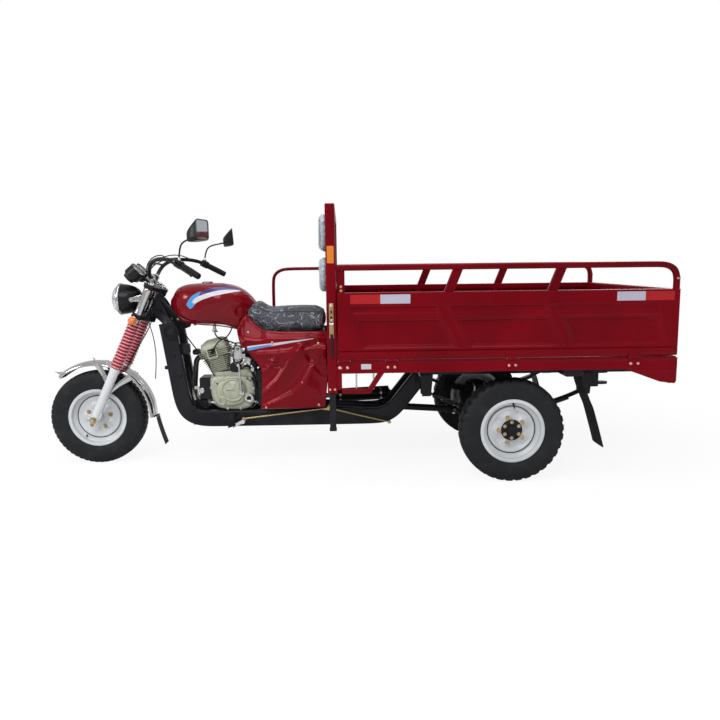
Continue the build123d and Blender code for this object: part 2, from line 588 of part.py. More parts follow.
def rests():
    """Two backrest cushions on the headboard, and the bent armrest on the right."""
    front = HEADBOARD_FRONT
    split = HEADBOARD_TOP - 236
    low = block(front - CUSHION_THICK, front, -250, 250, GATE_TOP - 25, split - 5)
    high = block(front - CUSHION_THICK, front, -250, 250, split + 5, HEADBOARD_TOP - 5)
    save("backrest", Compound([fillet(c.edges(), 14).solid() for c in (low, high)]))
    t, z = ARMREST_FOOT
    arm = pipe([at(front, -ARMREST_Y, 1114), at(1060, -ARMREST_Y, 1114), at(t, -ARMREST_Y, 1060),
                at(t, -ARMREST_Y, z), at(t, -CRADLE_OUT, z)], ARMREST_R, 30)
    save("armrest", arm)


def hinge_leaf(centre, side_of, moving):
    """One hinge on the sill: the moving barrel and leaf, or the fixed barrels with their pin.

    side_of turns (distance along the sill, distance out from its face, height) into a point.
    """
    third, r = HINGE_WIDE / 3, HINGE_R
    out = HINGE_LEAF + HINGE_R

    def bar(a, b, radius):
        return rod(side_of(a, out, HINGE_Z), side_of(b, out, HINGE_Z), radius)

    def slab(a, b, depth, z0, z1):
        p, q = Vector(*side_of(a, 0, z0)), Vector(*side_of(b, depth, z1))
        middle, size = (p + q) / 2, q - p
        return Pos(middle) * Box(abs(size.X), abs(size.Y), abs(size.Z))
    near, far = third / 2 + 0.5, HINGE_WIDE / 2
    if moving:
        leaf = bar(centre - third / 2 + 0.5, centre + third / 2 - 0.5, r)
        leaf += slab(centre - third / 2 + 0.5, centre + third / 2 - 0.5, out - 1, HINGE_Z, GATE_BOTTOM + 6)
        leaf += slab(centre - far, centre + far, HINGE_LEAF, GATE_BOTTOM, GATE_BOTTOM + 30)
        return leaf - bar(centre - HINGE_WIDE, centre + HINGE_WIDE, PIN_R + RUN_GAP)
    fixed = slab(centre - far, centre + far, HINGE_LEAF, SILL_TOP - 42, SILL_TOP)
    for s in (-1, 1):
        fixed += bar(centre + s * near, centre + s * far, r)
        fixed += slab(centre + s * near, centre + s * far, out - 1, SILL_TOP - 6, HINGE_Z)
    return fixed + bar(centre - far, centre + far, PIN_R)


def left_hinge(t, out, z):
    """Point on a left hinge: station along the sill, distance out, height."""
    return at(t, BED_HALF_W + out, z)


def rear_hinge(y, out, z):
    """Point on a tailgate hinge: distance across, distance aft of the sill, height."""
    return at(BED_REAR + out, y, z)


def bays(front, rear):
    """Leaning bays of the left panel, each as its stations at the top and at the bottom."""
    first, second = front + 0.335 * BED_LENGTH, front + 0.633 * BED_LENGTH
    wide, lean = 40, 66
    return ((front + 54, first - wide / 2 - 70, front + 94, first - wide / 2 - 10),
            (first + wide / 2 - 70, second - wide / 2 - 70, first + wide / 2 - 10, second - wide / 2 + 42),
            (second + wide / 2 - 60, rear - 61, second + wide / 2 + lean - 24, rear - 45))


def gate_rail(front, rear):
    """Guard rail over the left panel: top tube, bent rear post, front post and leaning stanchions."""
    y = BED_HALF_W - GATE_THICK / 2
    z = RAIL_TOP - RAIL_R
    rear_t = rear - RAIL_R
    hoop = pipe([at(front, y, z), at(rear_t, y, z), at(rear_t, y, GATE_TOP)], RAIL_R, 74)
    rail = hoop + block(front, front + 38, y - 8, y + 8, GATE_TOP, z)
    for share in (0.306, 0.606):
        t = front + share * BED_LENGTH
        rail += plate([(t, GATE_TOP), (t + 46, z - 4), (t + 102, z - 4), (t + 56, GATE_TOP)], y - 8, y + 8)
    return rail


def side_gate(name, side):
    """Pressed drop-side panel with its guard rail."""
    inner, outer = BED_HALF_W - GATE_THICK, BED_HALF_W
    front, rear = BED_FRONT + GATE_SIDE_GAP, BED_REAR - 2
    panel = block(front, rear, inner, outer, GATE_BOTTOM, GATE_TOP)
    low, high = GATE_BOTTOM + 44, GATE_TOP - 52
    shelf = high - 62
    for top0, top1, low0, low1 in bays(front, rear):
        ledge0 = top0 + (low0 - top0) * (high - shelf) / (high - low)
        ledge1 = top1 + (low1 - top1) * (high - shelf) / (high - low)
        panel -= plate([(top0, high), (top1, high), (ledge1, shelf), (ledge0, shelf)],
                       outer - GATE_PRESSED / 2, outer + 1)
        panel -= plate([(ledge0, shelf - 10), (ledge1, shelf - 10), (low1, low), (low0, low)],
                       outer - GATE_PRESSED, outer + 1)
    thirds = (front + 30, front + 0.31 * BED_LENGTH, front + 0.61 * BED_LENGTH, rear - 4)
    for t0, t1 in zip(thirds, thirds[1:]):
        panel -= block(t0, t1 - 26, inner - 1, outer - GATE_PRESSED - 5, GATE_BOTTOM + 30, GATE_TOP - 30)
    panel += [hinge_leaf(t, left_hinge, True) for t in SIDE_HINGES]
    rail = gate_rail(front, rear)
    if side < 0:
        panel, rail = mirrored(panel), mirrored(rail)
    save(f"{name}_panel", panel)
    save(f"{name}_rail", rail)


def tailgate():
    """Rear drop panel between the side gates, with its tail lamps."""
    half_w = BED_HALF_W - GATE_THICK - GATE_SIDE_GAP
    front, rear = BED_REAR - 30, BED_REAR
    panel = block(front, rear, -half_w, half_w, GATE_BOTTOM, GATE_TOP)
    third = (half_w - 34) * 2 / 3
    for i in (-1, 0, 1):
        y0, y1 = i * third - third / 2 + 15, i * third + third / 2 - 15
        panel -= block(rear - 9, rear + 1, y0, y1, GATE_BOTTOM + 44, GATE_TOP - 52)
        panel -= block(front - 1, rear - 14, y0, y1, GATE_BOTTOM + 30, GATE_TOP - 30)
    save("tailgate_panel", panel + [hinge_leaf(y, rear_hinge, True) for y in TAIL_HINGES])
    lamp_y = half_w - 70
    lamp = block(rear, rear + LAMP_DEPTH, lamp_y - 52, lamp_y + 52, GATE_BOTTOM + 76, GATE_TOP - 50)
    lamp = fillet(lamp.edges().filter_by(Axis.X), 34)
    rear_rim = lamp.faces().sort_by(Axis.X)[0].edges()
    save("tail_lamps", both(fillet(rear_rim, 10)))


def gate_hinges():
    """The fixed halves of all the gate hinges, with their pins."""
    left = [hinge_leaf(t, left_hinge, False).solid() for t in SIDE_HINGES]
    right = [mirrored(h).solid() for h in left]
    rear = [hinge_leaf(y, rear_hinge, False).solid() for y in TAIL_HINGES]
    save("gate_hinges", Compound(left + right + rear))


def headboard_latches():
    """Over-centre latches with their handles, on the outer faces of the headboard's posts."""
    t, y = HEADBOARD_FRONT + HEADBOARD_THICK / 2, BED_HALF_W
    base = block(t - 10, t + 10, y, y + 3, GATE_BOTTOM + 107, GATE_TOP - 49)
    hook = pipe([at(t, y + 6, GATE_TOP - 66), at(t, y + 6, GATE_TOP - 150)], 4, 1)
    drum = cross_rod(t, y, y + 11, GATE_TOP - 150, 9)
    lever = block(t - 7, t + 7, y + 3, y + 9, GATE_BOTTOM + 15, GATE_TOP - 150)
    save("headboard_latches", both(base + hook + drum + lever))


# ---------------------------------------------------------------- rear suspension and drive
def leaf_springs():
    """Semi-elliptic springs: curved leaves of falling length, with eyes round the hanger bolts."""
    half = SPRING_SPAN / 2
    y0, y1 = LADDER_Y - SPRING_WIDE / 2, LADDER_Y + SPRING_WIDE / 2
    low = AXLE_Z + AXLE_TUBE_R + SPRING_PAD
    leaves = 4
    main_z = low + (leaves - 0.5) * SPRING_LEAF
    sag = SPRING_EYE_Z - main_z
    radius = (half * half + sag * sag) / (2 * sag)
    spring = Part()
    for i in range(leaves):
        reach = half * (1 - 0.2 * i)
        drop = i * SPRING_LEAF
        rise = radius + drop - sqrt((radius + drop) ** 2 - reach ** 2)
        middle = main_z - drop
        path = ThreePointArc(at(WHEELBASE - reach, LADDER_Y, middle + rise), at(WHEELBASE, LADDER_Y, middle),
                             at(WHEELBASE + reach, LADDER_Y, middle + rise))
        section = Plane(origin=path @ 0, z_dir=path % 0, x_dir=(0, 1, 0)) * Rectangle(SPRING_WIDE, SPRING_LEAF)
        spring += sweep(section, path=path)
    for s in (-1, 1):
        spring += cross_rod(WHEELBASE + s * half, y0, y1, SPRING_EYE_Z, 18)
        spring -= cross_rod(WHEELBASE + s * half, y0 - 1, y1 + 1, SPRING_EYE_Z, EYE_BOLT_R + FIT_GAP)
    spring += block(WHEELBASE - 40, WHEELBASE + 40, y0 - 6, y1 + 6, main_z + 3, main_z + 14)
    spring -= block(WHEELBASE - 90, WHEELBASE + 90, y0 - 10, y1 + 10, low - 30, low)
    save("leaf_springs", both(spring))


def rear_axle():
    """Axle tube with the differential housing, spring saddles, brake plates; propshaft and shocks."""
    tube = cross_rod(WHEELBASE, -AXLE_TUBE_END, AXLE_TUBE_END, AXLE_Z, AXLE_TUBE_R)
    tube += Pos(aft(WHEELBASE), 0, AXLE_Z) * Sphere(100)
    tube += rod(at(WHEELBASE - 175, 0, AXLE_Z), at(WHEELBASE - 60, 0, AXLE_Z), 38)
    saddle = block(WHEELBASE - 45, WHEELBASE + 45, LADDER_Y - SPRING_WIDE / 2, LADDER_Y + SPRING_WIDE / 2, AXLE_Z,
                   AXLE_Z + AXLE_TUBE_R + SPRING_PAD)
    brake = cross_rod(WHEELBASE, AXLE_TUBE_END - 8, AXLE_TUBE_END, AXLE_Z, DRUM_R + 7)
    shaft = cross_rod(WHEELBASE, AXLE_TUBE_END - 60, AXLE_TUBE_END + 5, AXLE_Z, HALF_SHAFT_R + RUN_GAP)
    tube += symmetric(saddle + brake)
    save("rear_axle", tube - shaft - mirrored(shaft))
    ahead, behind = at(940 + FIT_GAP, 0, 356), at(WHEELBASE - 150, 0, AXLE_Z + 2)
    shaft = rod(ahead, behind, 20)
    along = (Vector(*behind) - Vector(*ahead)).normalized()
    shaft += rod(Vector(*ahead), Vector(*ahead) + along * 46, 32)
    shaft += rod(Vector(*at(WHEELBASE - 228, 0, AXLE_Z + 7)), Vector(*behind), 32)
    save("propshaft", shaft - tube)


def rear_shocks():
    """Inclined shocks beside the springs, pinned to the ladder and to the main leaf."""
    y, spring_side = LADDER_Y - 52, LADDER_Y - SPRING_WIDE / 2
    high_t, low_t = WHEELBASE - 317, WHEELBASE - 367
    high_z, low_z = LADDER_BOTTOM + 12, SPRING_EYE_Z - 29
    along = Vector(*at(high_t, y, high_z)) - Vector(*at(low_t, y, low_z))
    low, high = Vector(*at(low_t, y, low_z)) - along * 0.16, Vector(*at(high_t, y, high_z)) + along * 0.14
    shock = rod(low, low + along * 0.72, 19) + rod(low + along * 0.7, high, 15)
    shock += cross_rod(high_t, y, LADDER_Y - LADDER_WIDE / 2, high_z, 8)
    shock += cross_rod(low_t, y, spring_side - FIT_GAP, low_z, 6)
    save("rear_shocks", both(shock))


def rear_fittings():
    """Mudflaps with brackets, and the tow hook."""
    t = WHEELBASE + 338
    y0, y1 = WHEEL_Y - 50, WHEEL_Y + 95
    bracket = block(t - 84, t + 4, y0, y1, SILL_BOTTOM - 40, SILL_BOTTOM)
    flap = plate([(t - 6, SILL_BOTTOM - 40), (t + 2, SILL_BOTTOM - 40), (t + 48, 350), (t + 114, 161), (t + 106, 161),
                  (t + 40, 350)], y0, y1)
    save("mudflaps", both(bracket + flap))
    t = BED_REAR - 223
    low, jaw = 430.0, 14.0
    hook = block(t, t + 50, -30, 30, low - 10, SILL_BOTTOM - 40)
    hook += block(t + 50, t + 110, -26, 26, low, low + jaw) + block(t + 50, t + 110, -26, 26, low + 54, low + 54 + jaw)
    hook -= rod(at(t + 84, 0, low - 30), at(t + 84, 0, low + 100), TOW_PIN_R)
    save("tow_hook", hook)


# ---------------------------------------------------------------- engine
CYLINDER_T = 722.0
CYLINDER_Z = 532.0
LEAN = Plane(origin=at(CYLINDER_T, 0, CYLINDER_Z), x_dir=(1, 0, -0.27), z_dir=(0.27, 0, 1))


def crankcase():
    """Castings of the lower engine with the round side covers."""
    case = plate([(668, 505), (655, 430), (668, 350), (720, CASE_BOTTOM), (900, CASE_BOTTOM), (940, 360), (940, 470),
                  (880, 505), (784, CYLINDER_Z), (674, CYLINDER_Z)], -72, 72)
    cover = cross_rod(752, 72, 124, 424, 92) + cross_rod(752, 124, 132, 424, 66)
    cover += cross_rod(868, 72, 116, 404, 62)
    cover += cross_rod(700, 72, 100, 478, 30)
    save("crankcase", case + symmetric(cover))


def cylinder():
    """Finned barrel that widens upwards, and the finned head with its rocker cover."""
    fin, pitch = 5.0, 12.0
    barrel = LEAN * Pos(0, 0, 42) * Box(88, 100, 100)
    for i in range(7):
        barrel += LEAN * Pos(0, 0, 16 + i * pitch) * Box(104 + 8 * i, 136, fin)
    barrel -= block(CYLINDER_T - 140, CYLINDER_T + 160, -200, 200, CYLINDER_Z - 132, CYLINDER_Z)
    save("cylinder", barrel)
    base = 92
    head = LEAN * Pos(0, 0, base + 26) * Box(126, 118, 52)
    for i in range(4):
        head += LEAN * Pos(0, 0, base + 6 + i * pitch) * Box(172 + 6 * i, 142, fin)
    cap = LEAN * Pos(0, 0, base + 68) * Box(158, 122, 40)
    head += fillet(cap.edges().group_by(Axis.Z)[-1], 15) + LEAN * Pos(0, 0, base + 91) * Box(104, 70, 12)
    save("cylinder_head", head)


def intake_and_exhaust():
    """Carburettor behind the head; header pipe down the front and back to the silencer on the right."""
    carb = rod(at(772, 0, 652), at(858, 0, 640), 22) + block(806, 850, -30, 30, 592, 690)
    carb += rod(at(828, 30, 660), at(828, 48, 660), 14) + rod(at(828, 0, 575), at(828, 0, 600), 20)
    carb += rod(at(856, 0, 640), at(930, 0, 648), 34)
    save("carburettor", carb - NODES["cylinder_head"] - NODES["cylinder"])
    header = pipe([at(660, -20, 630), at(568, -24, 606), at(583, -34, 385), at(625, -150, 340),
                   at(700, -162, 340), at(1345, -162, 340)], 16, 30)
    silencer = rod(at(1344, -178, 336), at(1720, -190, 350), 42) + rod(at(1718, -190, 350), at(1780, -192, 352), 15)
    save("exhaust", header - NODES["cylinder_head"] - NODES["cylinder"] + silencer)


def foot_controls():
    """Kick lever; brake pedal with its rods."""
    kick = pipe([at(850, 116, 420), at(850, 150, 420), at(846, 158, 590)], 7, 10)
    kick += cross_rod(846, 152, 196, 588, 9)
    save("kick_lever", kick - NODES["crankcase"])
    y, t, z = CRADLE_OUT + 40, 1346, 330
    pedal = cross_rod(860, CRADLE_OUT, CRADLE_OUT + 70, 262, 9)
    pedal += rod(at(860, CRADLE_OUT + 60, 262), at(800, CRADLE_OUT + 60, 236), 8)
    linkage = pedal + rod(at(862, y, 274), at(t, y, z), 5) + rod(at(t, y, z), at(1700, y, 240), 5)
    save("brake_linkage", linkage + cross_rod(t, CRADLE_OUT - 22, y + 12, z, 12) - NODES["cradle_rails"])


# ---------------------------------------------------------------- bodywork
def tank_sections():
    """Station, half width, bottom and top of the tank's cross-sections."""
    return ((474, 62, 862, 972), (498, 98, 830, 1016), (545, 124, 812, 1032), (620, 139, 804, 1038),
            (700, 142, 800, 1041), (780, 132, 800, 1030), (850, 110, 802, 1000), (906, 92, 806, 946))


def fuel_tank():
    """Teardrop tank, lofted through rounded sections, with a tunnel for the backbone and a filler cap."""
    faces = []
    for t, half, low, high in tank_sections():
        section = RectangleRounded(2 * half, high - low, min(half, (high - low) / 2) * 0.72)
        faces.append(Plane(origin=at(t, 0, (low + high) / 2), x_dir=(0, 1, 0), z_dir=(-1, 0, 0)) * section)
    tank = loft(Sketch() + faces)
    tank += rod(at(660, 0, 1030), at(660, 0, 1050), 32)
    save("fuel_tank", tank - block(440, 960, -30, 30, 700, TANK_TUNNEL_Z))


def side_covers():
    """Panels under the seat, each bulging outwards below its middle crease."""
    outline = [(846, 734), (907, 665), (972, 571), (977, 509), (968, 333), (1311, 343), (1330, 500), (1330, 742),
               (1217, 758), (1022, 758), (974, 782), (890, 797)]
    left = plate(outline, COVER_Y - COVER_THICK, COVER_Y)
    bulge = plate([(930, 640), (1000, 560), (1290, 700), (1300, 520), (1290, 360), (985, 350), (990, 520)],
                  COVER_Y, COVER_Y + 10)
    left += chamfer(bulge.faces().sort_by(Axis.Y)[-1].edges(), 9)
    foot_t, foot_z = ARMREST_FOOT
    hole = cross_rod(foot_t, -COVER_Y - 20, 20 - COVER_Y, foot_z, ARMREST_R + 5)
    save("side_covers", Compound([left.solid(), (mirrored(left) - hole).solid()]))


def seat():
    """Saddle lofted from a narrow raised nose to a wide flat rear."""
    low = SEAT_PAN_TOP + FIT_GAP
    sections = ((914, 84, 812, 922), (960, 104, 790, 916), (1020, 136, low, 893), (1100, 158, low, 897),
                (1220, 166, low, 898), (1312, 164, low, 892), (1340, 150, low + 16, 880))
    faces = []
    for t, half, bottom, top in sections:
        section = RectangleRounded(2 * half, top - bottom, min(30, (top - bottom) / 2.4))
        faces.append(Plane(origin=at(t, 0, (bottom + top) / 2), x_dir=(0, 1, 0), z_dir=(-1, 0, 0)) * section)
    save("seat", loft(Sketch() + faces, ruled=True))


def main():
    os.makedirs("parts", exist_ok=True)
    front_wheel()
    rear_wheel("left", 1)
    rear_wheel("right", -1)
    front_axle()
    fork_legs()
    yokes()
    handlebar()
    bar_controls()
    mirrors()
    headlamp()
    instruments()
    indicators()
    front_fender()
    cradle_frame()
    seat_frame()
    rear_ladder()
    spring_hangers()
    crossmembers()
    bed()
    headboard()
    headboard_latches()
    rests()
    side_gate("left_gate", 1)
    side_gate("right_gate", -1)
    tailgate()
    gate_hinges()
    leaf_springs()
    rear_axle()
    rear_shocks()
    rear_fittings()
    crankcase()
    cylinder()
    intake_and_exhaust()
    foot_controls()
    fuel_tank()
    side_covers()
    seat()


main()
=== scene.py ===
"""Looks of a cargo motor tricycle, laid out as a Blender add-on and run as a script.

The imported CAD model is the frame: every piece made here rides on one of its bodies. Lengths in this
file are millimetres in the CAD model's own axes (+X forward, +Y left, +Z up) and become metres when a
mesh is made. Stations, called t, run aft from the front axle.
"""

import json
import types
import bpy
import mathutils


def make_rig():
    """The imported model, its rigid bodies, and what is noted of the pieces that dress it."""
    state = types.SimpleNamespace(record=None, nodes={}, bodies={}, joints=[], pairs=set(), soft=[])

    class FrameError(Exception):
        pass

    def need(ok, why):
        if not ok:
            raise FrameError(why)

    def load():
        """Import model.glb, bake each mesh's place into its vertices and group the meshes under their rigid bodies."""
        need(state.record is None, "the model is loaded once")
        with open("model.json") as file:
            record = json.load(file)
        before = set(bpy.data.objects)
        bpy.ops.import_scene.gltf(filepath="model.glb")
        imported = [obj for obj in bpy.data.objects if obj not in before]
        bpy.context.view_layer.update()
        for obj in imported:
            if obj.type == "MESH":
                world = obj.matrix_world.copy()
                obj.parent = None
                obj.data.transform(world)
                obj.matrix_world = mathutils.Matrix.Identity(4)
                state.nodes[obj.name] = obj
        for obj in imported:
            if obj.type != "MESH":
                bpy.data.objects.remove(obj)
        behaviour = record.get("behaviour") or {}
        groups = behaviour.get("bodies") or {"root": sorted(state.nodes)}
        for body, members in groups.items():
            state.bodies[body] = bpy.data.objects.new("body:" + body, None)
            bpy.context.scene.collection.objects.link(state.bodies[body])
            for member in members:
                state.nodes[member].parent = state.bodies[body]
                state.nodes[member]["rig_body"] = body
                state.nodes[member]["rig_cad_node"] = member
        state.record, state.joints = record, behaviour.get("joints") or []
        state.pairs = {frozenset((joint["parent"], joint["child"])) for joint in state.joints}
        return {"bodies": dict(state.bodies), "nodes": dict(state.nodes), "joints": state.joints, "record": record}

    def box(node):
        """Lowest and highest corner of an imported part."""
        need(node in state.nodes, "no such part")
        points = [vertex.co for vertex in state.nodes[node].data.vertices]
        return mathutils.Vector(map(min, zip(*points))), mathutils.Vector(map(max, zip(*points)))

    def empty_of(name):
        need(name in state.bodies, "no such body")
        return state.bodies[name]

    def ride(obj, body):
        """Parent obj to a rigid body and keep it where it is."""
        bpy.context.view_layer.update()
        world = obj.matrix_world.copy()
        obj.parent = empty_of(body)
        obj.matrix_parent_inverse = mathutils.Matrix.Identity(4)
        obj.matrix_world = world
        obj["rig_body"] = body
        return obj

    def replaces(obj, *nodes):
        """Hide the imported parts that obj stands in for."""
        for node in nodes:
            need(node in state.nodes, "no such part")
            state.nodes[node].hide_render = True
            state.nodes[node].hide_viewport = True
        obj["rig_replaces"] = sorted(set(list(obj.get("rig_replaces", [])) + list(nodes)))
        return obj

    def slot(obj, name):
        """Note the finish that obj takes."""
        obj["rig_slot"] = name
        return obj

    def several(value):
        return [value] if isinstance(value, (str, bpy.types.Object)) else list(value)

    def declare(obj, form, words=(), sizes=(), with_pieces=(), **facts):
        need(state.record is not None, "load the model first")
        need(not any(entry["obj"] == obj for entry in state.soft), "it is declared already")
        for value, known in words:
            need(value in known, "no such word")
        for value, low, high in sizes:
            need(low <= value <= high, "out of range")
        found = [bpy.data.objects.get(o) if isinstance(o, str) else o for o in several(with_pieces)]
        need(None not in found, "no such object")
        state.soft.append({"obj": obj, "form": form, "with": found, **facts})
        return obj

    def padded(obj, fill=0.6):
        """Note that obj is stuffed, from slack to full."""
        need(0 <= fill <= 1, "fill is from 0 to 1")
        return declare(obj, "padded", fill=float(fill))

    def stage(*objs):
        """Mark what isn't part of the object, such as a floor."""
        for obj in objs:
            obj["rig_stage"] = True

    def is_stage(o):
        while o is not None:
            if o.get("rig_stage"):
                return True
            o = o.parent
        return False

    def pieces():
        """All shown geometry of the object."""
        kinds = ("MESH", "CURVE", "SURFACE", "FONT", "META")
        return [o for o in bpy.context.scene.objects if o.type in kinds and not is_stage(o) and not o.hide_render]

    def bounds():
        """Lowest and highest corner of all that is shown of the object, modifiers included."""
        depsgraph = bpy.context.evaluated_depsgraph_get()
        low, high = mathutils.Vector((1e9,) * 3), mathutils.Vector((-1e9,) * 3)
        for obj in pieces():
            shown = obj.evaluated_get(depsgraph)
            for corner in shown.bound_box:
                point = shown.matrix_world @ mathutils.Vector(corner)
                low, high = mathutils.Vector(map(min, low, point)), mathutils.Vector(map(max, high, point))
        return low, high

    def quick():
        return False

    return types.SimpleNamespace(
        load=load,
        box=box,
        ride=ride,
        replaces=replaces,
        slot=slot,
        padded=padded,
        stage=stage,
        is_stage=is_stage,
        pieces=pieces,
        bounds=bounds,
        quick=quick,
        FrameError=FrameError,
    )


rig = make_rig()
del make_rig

bl_info = {
    "name": "Cargo Motor Tricycle",
    "version": (1, 0, 0),
    "blender": (4, 5, 0),
    "location": "View3D > Sidebar > Tricycle",
    "description": "Builds the visible surfaces and finishes of a cargo motor tricycle",
    "category": "Object",
}

import json
import math
import sys

import bpy
import numpy as np
from bpy.props import FloatProperty, FloatVectorProperty, IntProperty, PointerProperty
from mathutils import Matrix, Vector

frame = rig.load()
CAD_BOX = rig.bounds()
SIZE_FILE = "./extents.json"
MM = 0.001


def node_box(name):
    """Lowest and highest corner of a CAD node, in millimetres."""
    low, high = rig.box(name)
    return np.array(low) / MM, np.array(high) / MM


# ---------------------------------------------------------------- sizes shared by several pieces
FRONT_TYRE = node_box("front_tyre")
REAR_TYRE = node_box("left_tyre")
PANEL = node_box("left_gate_panel")
SILL = node_box("bed_sill")
FRONT_X = (FRONT_TYRE[0][0] + FRONT_TYRE[1][0]) / 2
TYRE_R = (FRONT_TYRE[1][0] - FRONT_TYRE[0][0]) / 2
AXLE_Z = TYRE_R
WHEELBASE = FRONT_X - (REAR_TYRE[0][0] + REAR_TYRE[1][0]) / 2
WHEEL_Y = (REAR_TYRE[0][1] + REAR_TYRE[1][1]) / 2
BED_HALF_W = SILL[1][1]
BED_FRONT = FRONT_X - SILL[1][0]
BED_REAR = FRONT_X - SILL[0][0]
SILL_TOP = SILL[1][2]
GATE_TOP = PANEL[1][2]
GATE_BOTTOM = SILL_TOP + 12.0
GATE_THICK = 32.0
RAKE = math.radians(25.2)
FORK_SPREAD = 100.0
LOWER_YOKE = 640.0
RIM_R = 167.5
STRAPS = (1931.0, 2445.0)
SHARP = math.radians(34.0)


# ---------------------------------------------------------------- places
class Axes:
    """A local frame: point = origin + a * first + b * second + c * third, for whole arrays."""

    def __init__(self, origin, first, second, third):
        self.origin = np.array(origin, float)
        self.rows = np.array([np.array(v, float) / np.linalg.norm(v) for v in (first, second, third)])

    def __call__(self, a, b, c):
        local = np.stack(np.broadcast_arrays(a, b, c), -1).astype(float)
        return self.origin + local @ self.rows

    def line(self, *points):
        """The points of a line, each given by its three values in this frame."""
        return [self(*point) for point in points]

    def moved(self, a, b, c):
        """The same directions from another origin, given in this frame."""
        return Axes(self(a, b, c), *self.rows)

    def turned(self, angle):
        """Turned about the third axis by an angle in radians."""
        first, second, third = self.rows
        return Axes(self.origin, first * math.cos(angle) + second * math.sin(angle),
                    second * math.cos(angle) - first * math.sin(angle), third)


BODY = Axes((FRONT_X, 0, 0), (-1, 0, 0), (0, 1, 0), (0, 0, 1))
FORK = Axes((FRONT_X, 0, AXLE_Z), (math.cos(RAKE), 0, math.sin(RAKE)), (0, 1, 0),
            (-math.sin(RAKE), 0, math.cos(RAKE)))


def toward(origin, aim, roll=(0, 0, 1)):
    """Axes whose third direction points from origin to aim, with roll fixing the turn about it."""
    third = np.array(aim, float) - np.array(origin, float)
    third /= np.linalg.norm(third)
    first = np.cross(np.array(roll, float), third)
    first /= np.linalg.norm(first)
    return Axes(origin, first, np.cross(third, first), third)


def level_axes(t, y, z):
    """Axes at a station: first forward, second left, third up."""
    return Axes(BODY(t, y, z), (1, 0, 0), (0, 1, 0), (0, 0, 1))


def side_axes(t, y, z, side=1):
    """Axes on a vertical side: first aft, second up, third outwards."""
    return Axes(BODY(t, y, z), (-1, 0, 0), (0, 0, 1), (0, side, 0))


# ---------------------------------------------------------------- lines and outlines
def spans(points, count):
    """Even places along a line: the four points about each, and how far it lies between the middle two, 0 to 1."""
    p = np.array(points, float)
    p = np.vstack([2 * p[0] - p[1], p, 2 * p[-1] - p[-2]])
    u = np.linspace(0, len(p) - 3, count)
    i = np.minimum(u.astype(int), len(p) - 4)
    return p[i], p[i + 1], p[i + 2], p[i + 3], (u - i)[:, None]


def spline(a, b, c, d, f):
    """Cubic B-spline: ((1-f)^3 a + (3f^3 - 6f^2 + 4) b + (3f + 3f^2 - 3f^3 + 1) c + f^3 d) / 6."""
    return ((1 - f) ** 3 * a + (3 * f ** 3 - 6 * f ** 2 + 4) * b + (3 * f + 3 * f ** 2 - 3 * f ** 3 + 1) * c
            + f ** 3 * d) / 6


def curve(points, count):
    """Catmull-Rom line through the points: each span blends its four nearest points by cubic weights."""
    a, b, c, d, f = spans(points, count)
    return 0.5 * (2 * b + (c - a) * f + (2 * a - 5 * b + 4 * c - d) * f ** 2 + (3 * b - a - 3 * c + d) * f ** 3)


def flow(points, count):
    """Clamped cubic B-spline: a smooth line that starts and ends on the end points and eases past the others."""
    return spline(*spans(points, count))


def closed(points, count):
    """Smooth closed outline: the same cubic B-spline carried round the points without a start or an end."""
    p = np.array(points, float)
    n = len(p)
    u = np.linspace(0, n, count, endpoint=False)
    i = u.astype(int)
    return spline(*(p[(i + k) % n] for k in (-1, 0, 1, 2)), (u - i)[:, None])


def ease(x):
    """Smooth step: 0 below 0, 1 above 1, with 3x^2 - 2x^3 between."""
    x = np.clip(x, 0.0, 1.0)
    return x * x * (3 - 2 * x)


def even(count):
    """Even angles once round, in radians."""
    return np.linspace(0, 2 * np.pi, count, endpoint=False)


def circle(r, count=32):
    """Outline of a circle."""
    a = even(count)
    return np.stack([r * np.cos(a), r * np.sin(a)], 1)


def oblong(width, height, r, count=6):
    """Rectangle outline with rounded corners: four quarter circles joined by straight runs."""
    a = np.linspace(0, np.pi / 2, count)
    quarter = np.stack([np.cos(a), np.sin(a)], 1) * r
    corners = []
    for i, (sx, sy) in enumerate(((1, 1), (-1, 1), (-1, -1), (1, -1))):
        turn = np.array([[math.cos(i * math.pi / 2), math.sin(i * math.pi / 2)],
                         [-math.sin(i * math.pi / 2), math.cos(i * math.pi / 2)]])
        corners.append(quarter @ turn + [sx * (width / 2 - r), sy * (height / 2 - r)])
    return np.vstack(corners)


def inset(outline, d):
    """The outline moved inwards by d: each point goes along the mitre of its two edges."""
    p = np.array(outline, float)
    edge = np.roll(p, -1, 0) - p
    edge /= np.linalg.norm(edge, axis=1)[:, None] + 1e-9
    area = np.sum(p[:, 0] * np.roll(p[:, 1], -1) - np.roll(p[:, 0], -1) * p[:, 1])
    inward = np.stack([-edge[:, 1], edge[:, 0]], 1) * np.sign(area)
    before = np.roll(inward, 1, 0)
    mitre = (inward + before) / (1 + np.sum(inward * before, 1)).clip(0.3)[:, None]
    return p + mitre * d


# ---------------------------------------------------------------- closed surfaces as grids of points
def layers(axes, rows):
    """Outlines stacked along the third axis: each row is an outline and its height."""
    return np.stack([axes(p[:, 0], p[:, 1], h) for p, h in rows])


def prism(axes, outline, low, high, bevel=1.0):
    """Outline carried along the third axis, its two rims rounded off by bevel: inset, full, full, inset."""
    small = inset(outline, bevel)
    rows = [(small, low), (outline, low + bevel), (outline, high - bevel), (small, high)]
    return layers(axes, rows)


def brick(axes, a, b, c, bevel=1.0):
    """Bevelled block between the pairs a, b and c along the three axes."""
    middle = axes.moved(sum(a) / 2, sum(b) / 2, 0)
    return prism(middle, oblong(abs(a[1] - a[0]), abs(b[1] - b[0]), bevel, 3), min(c), max(c), bevel)


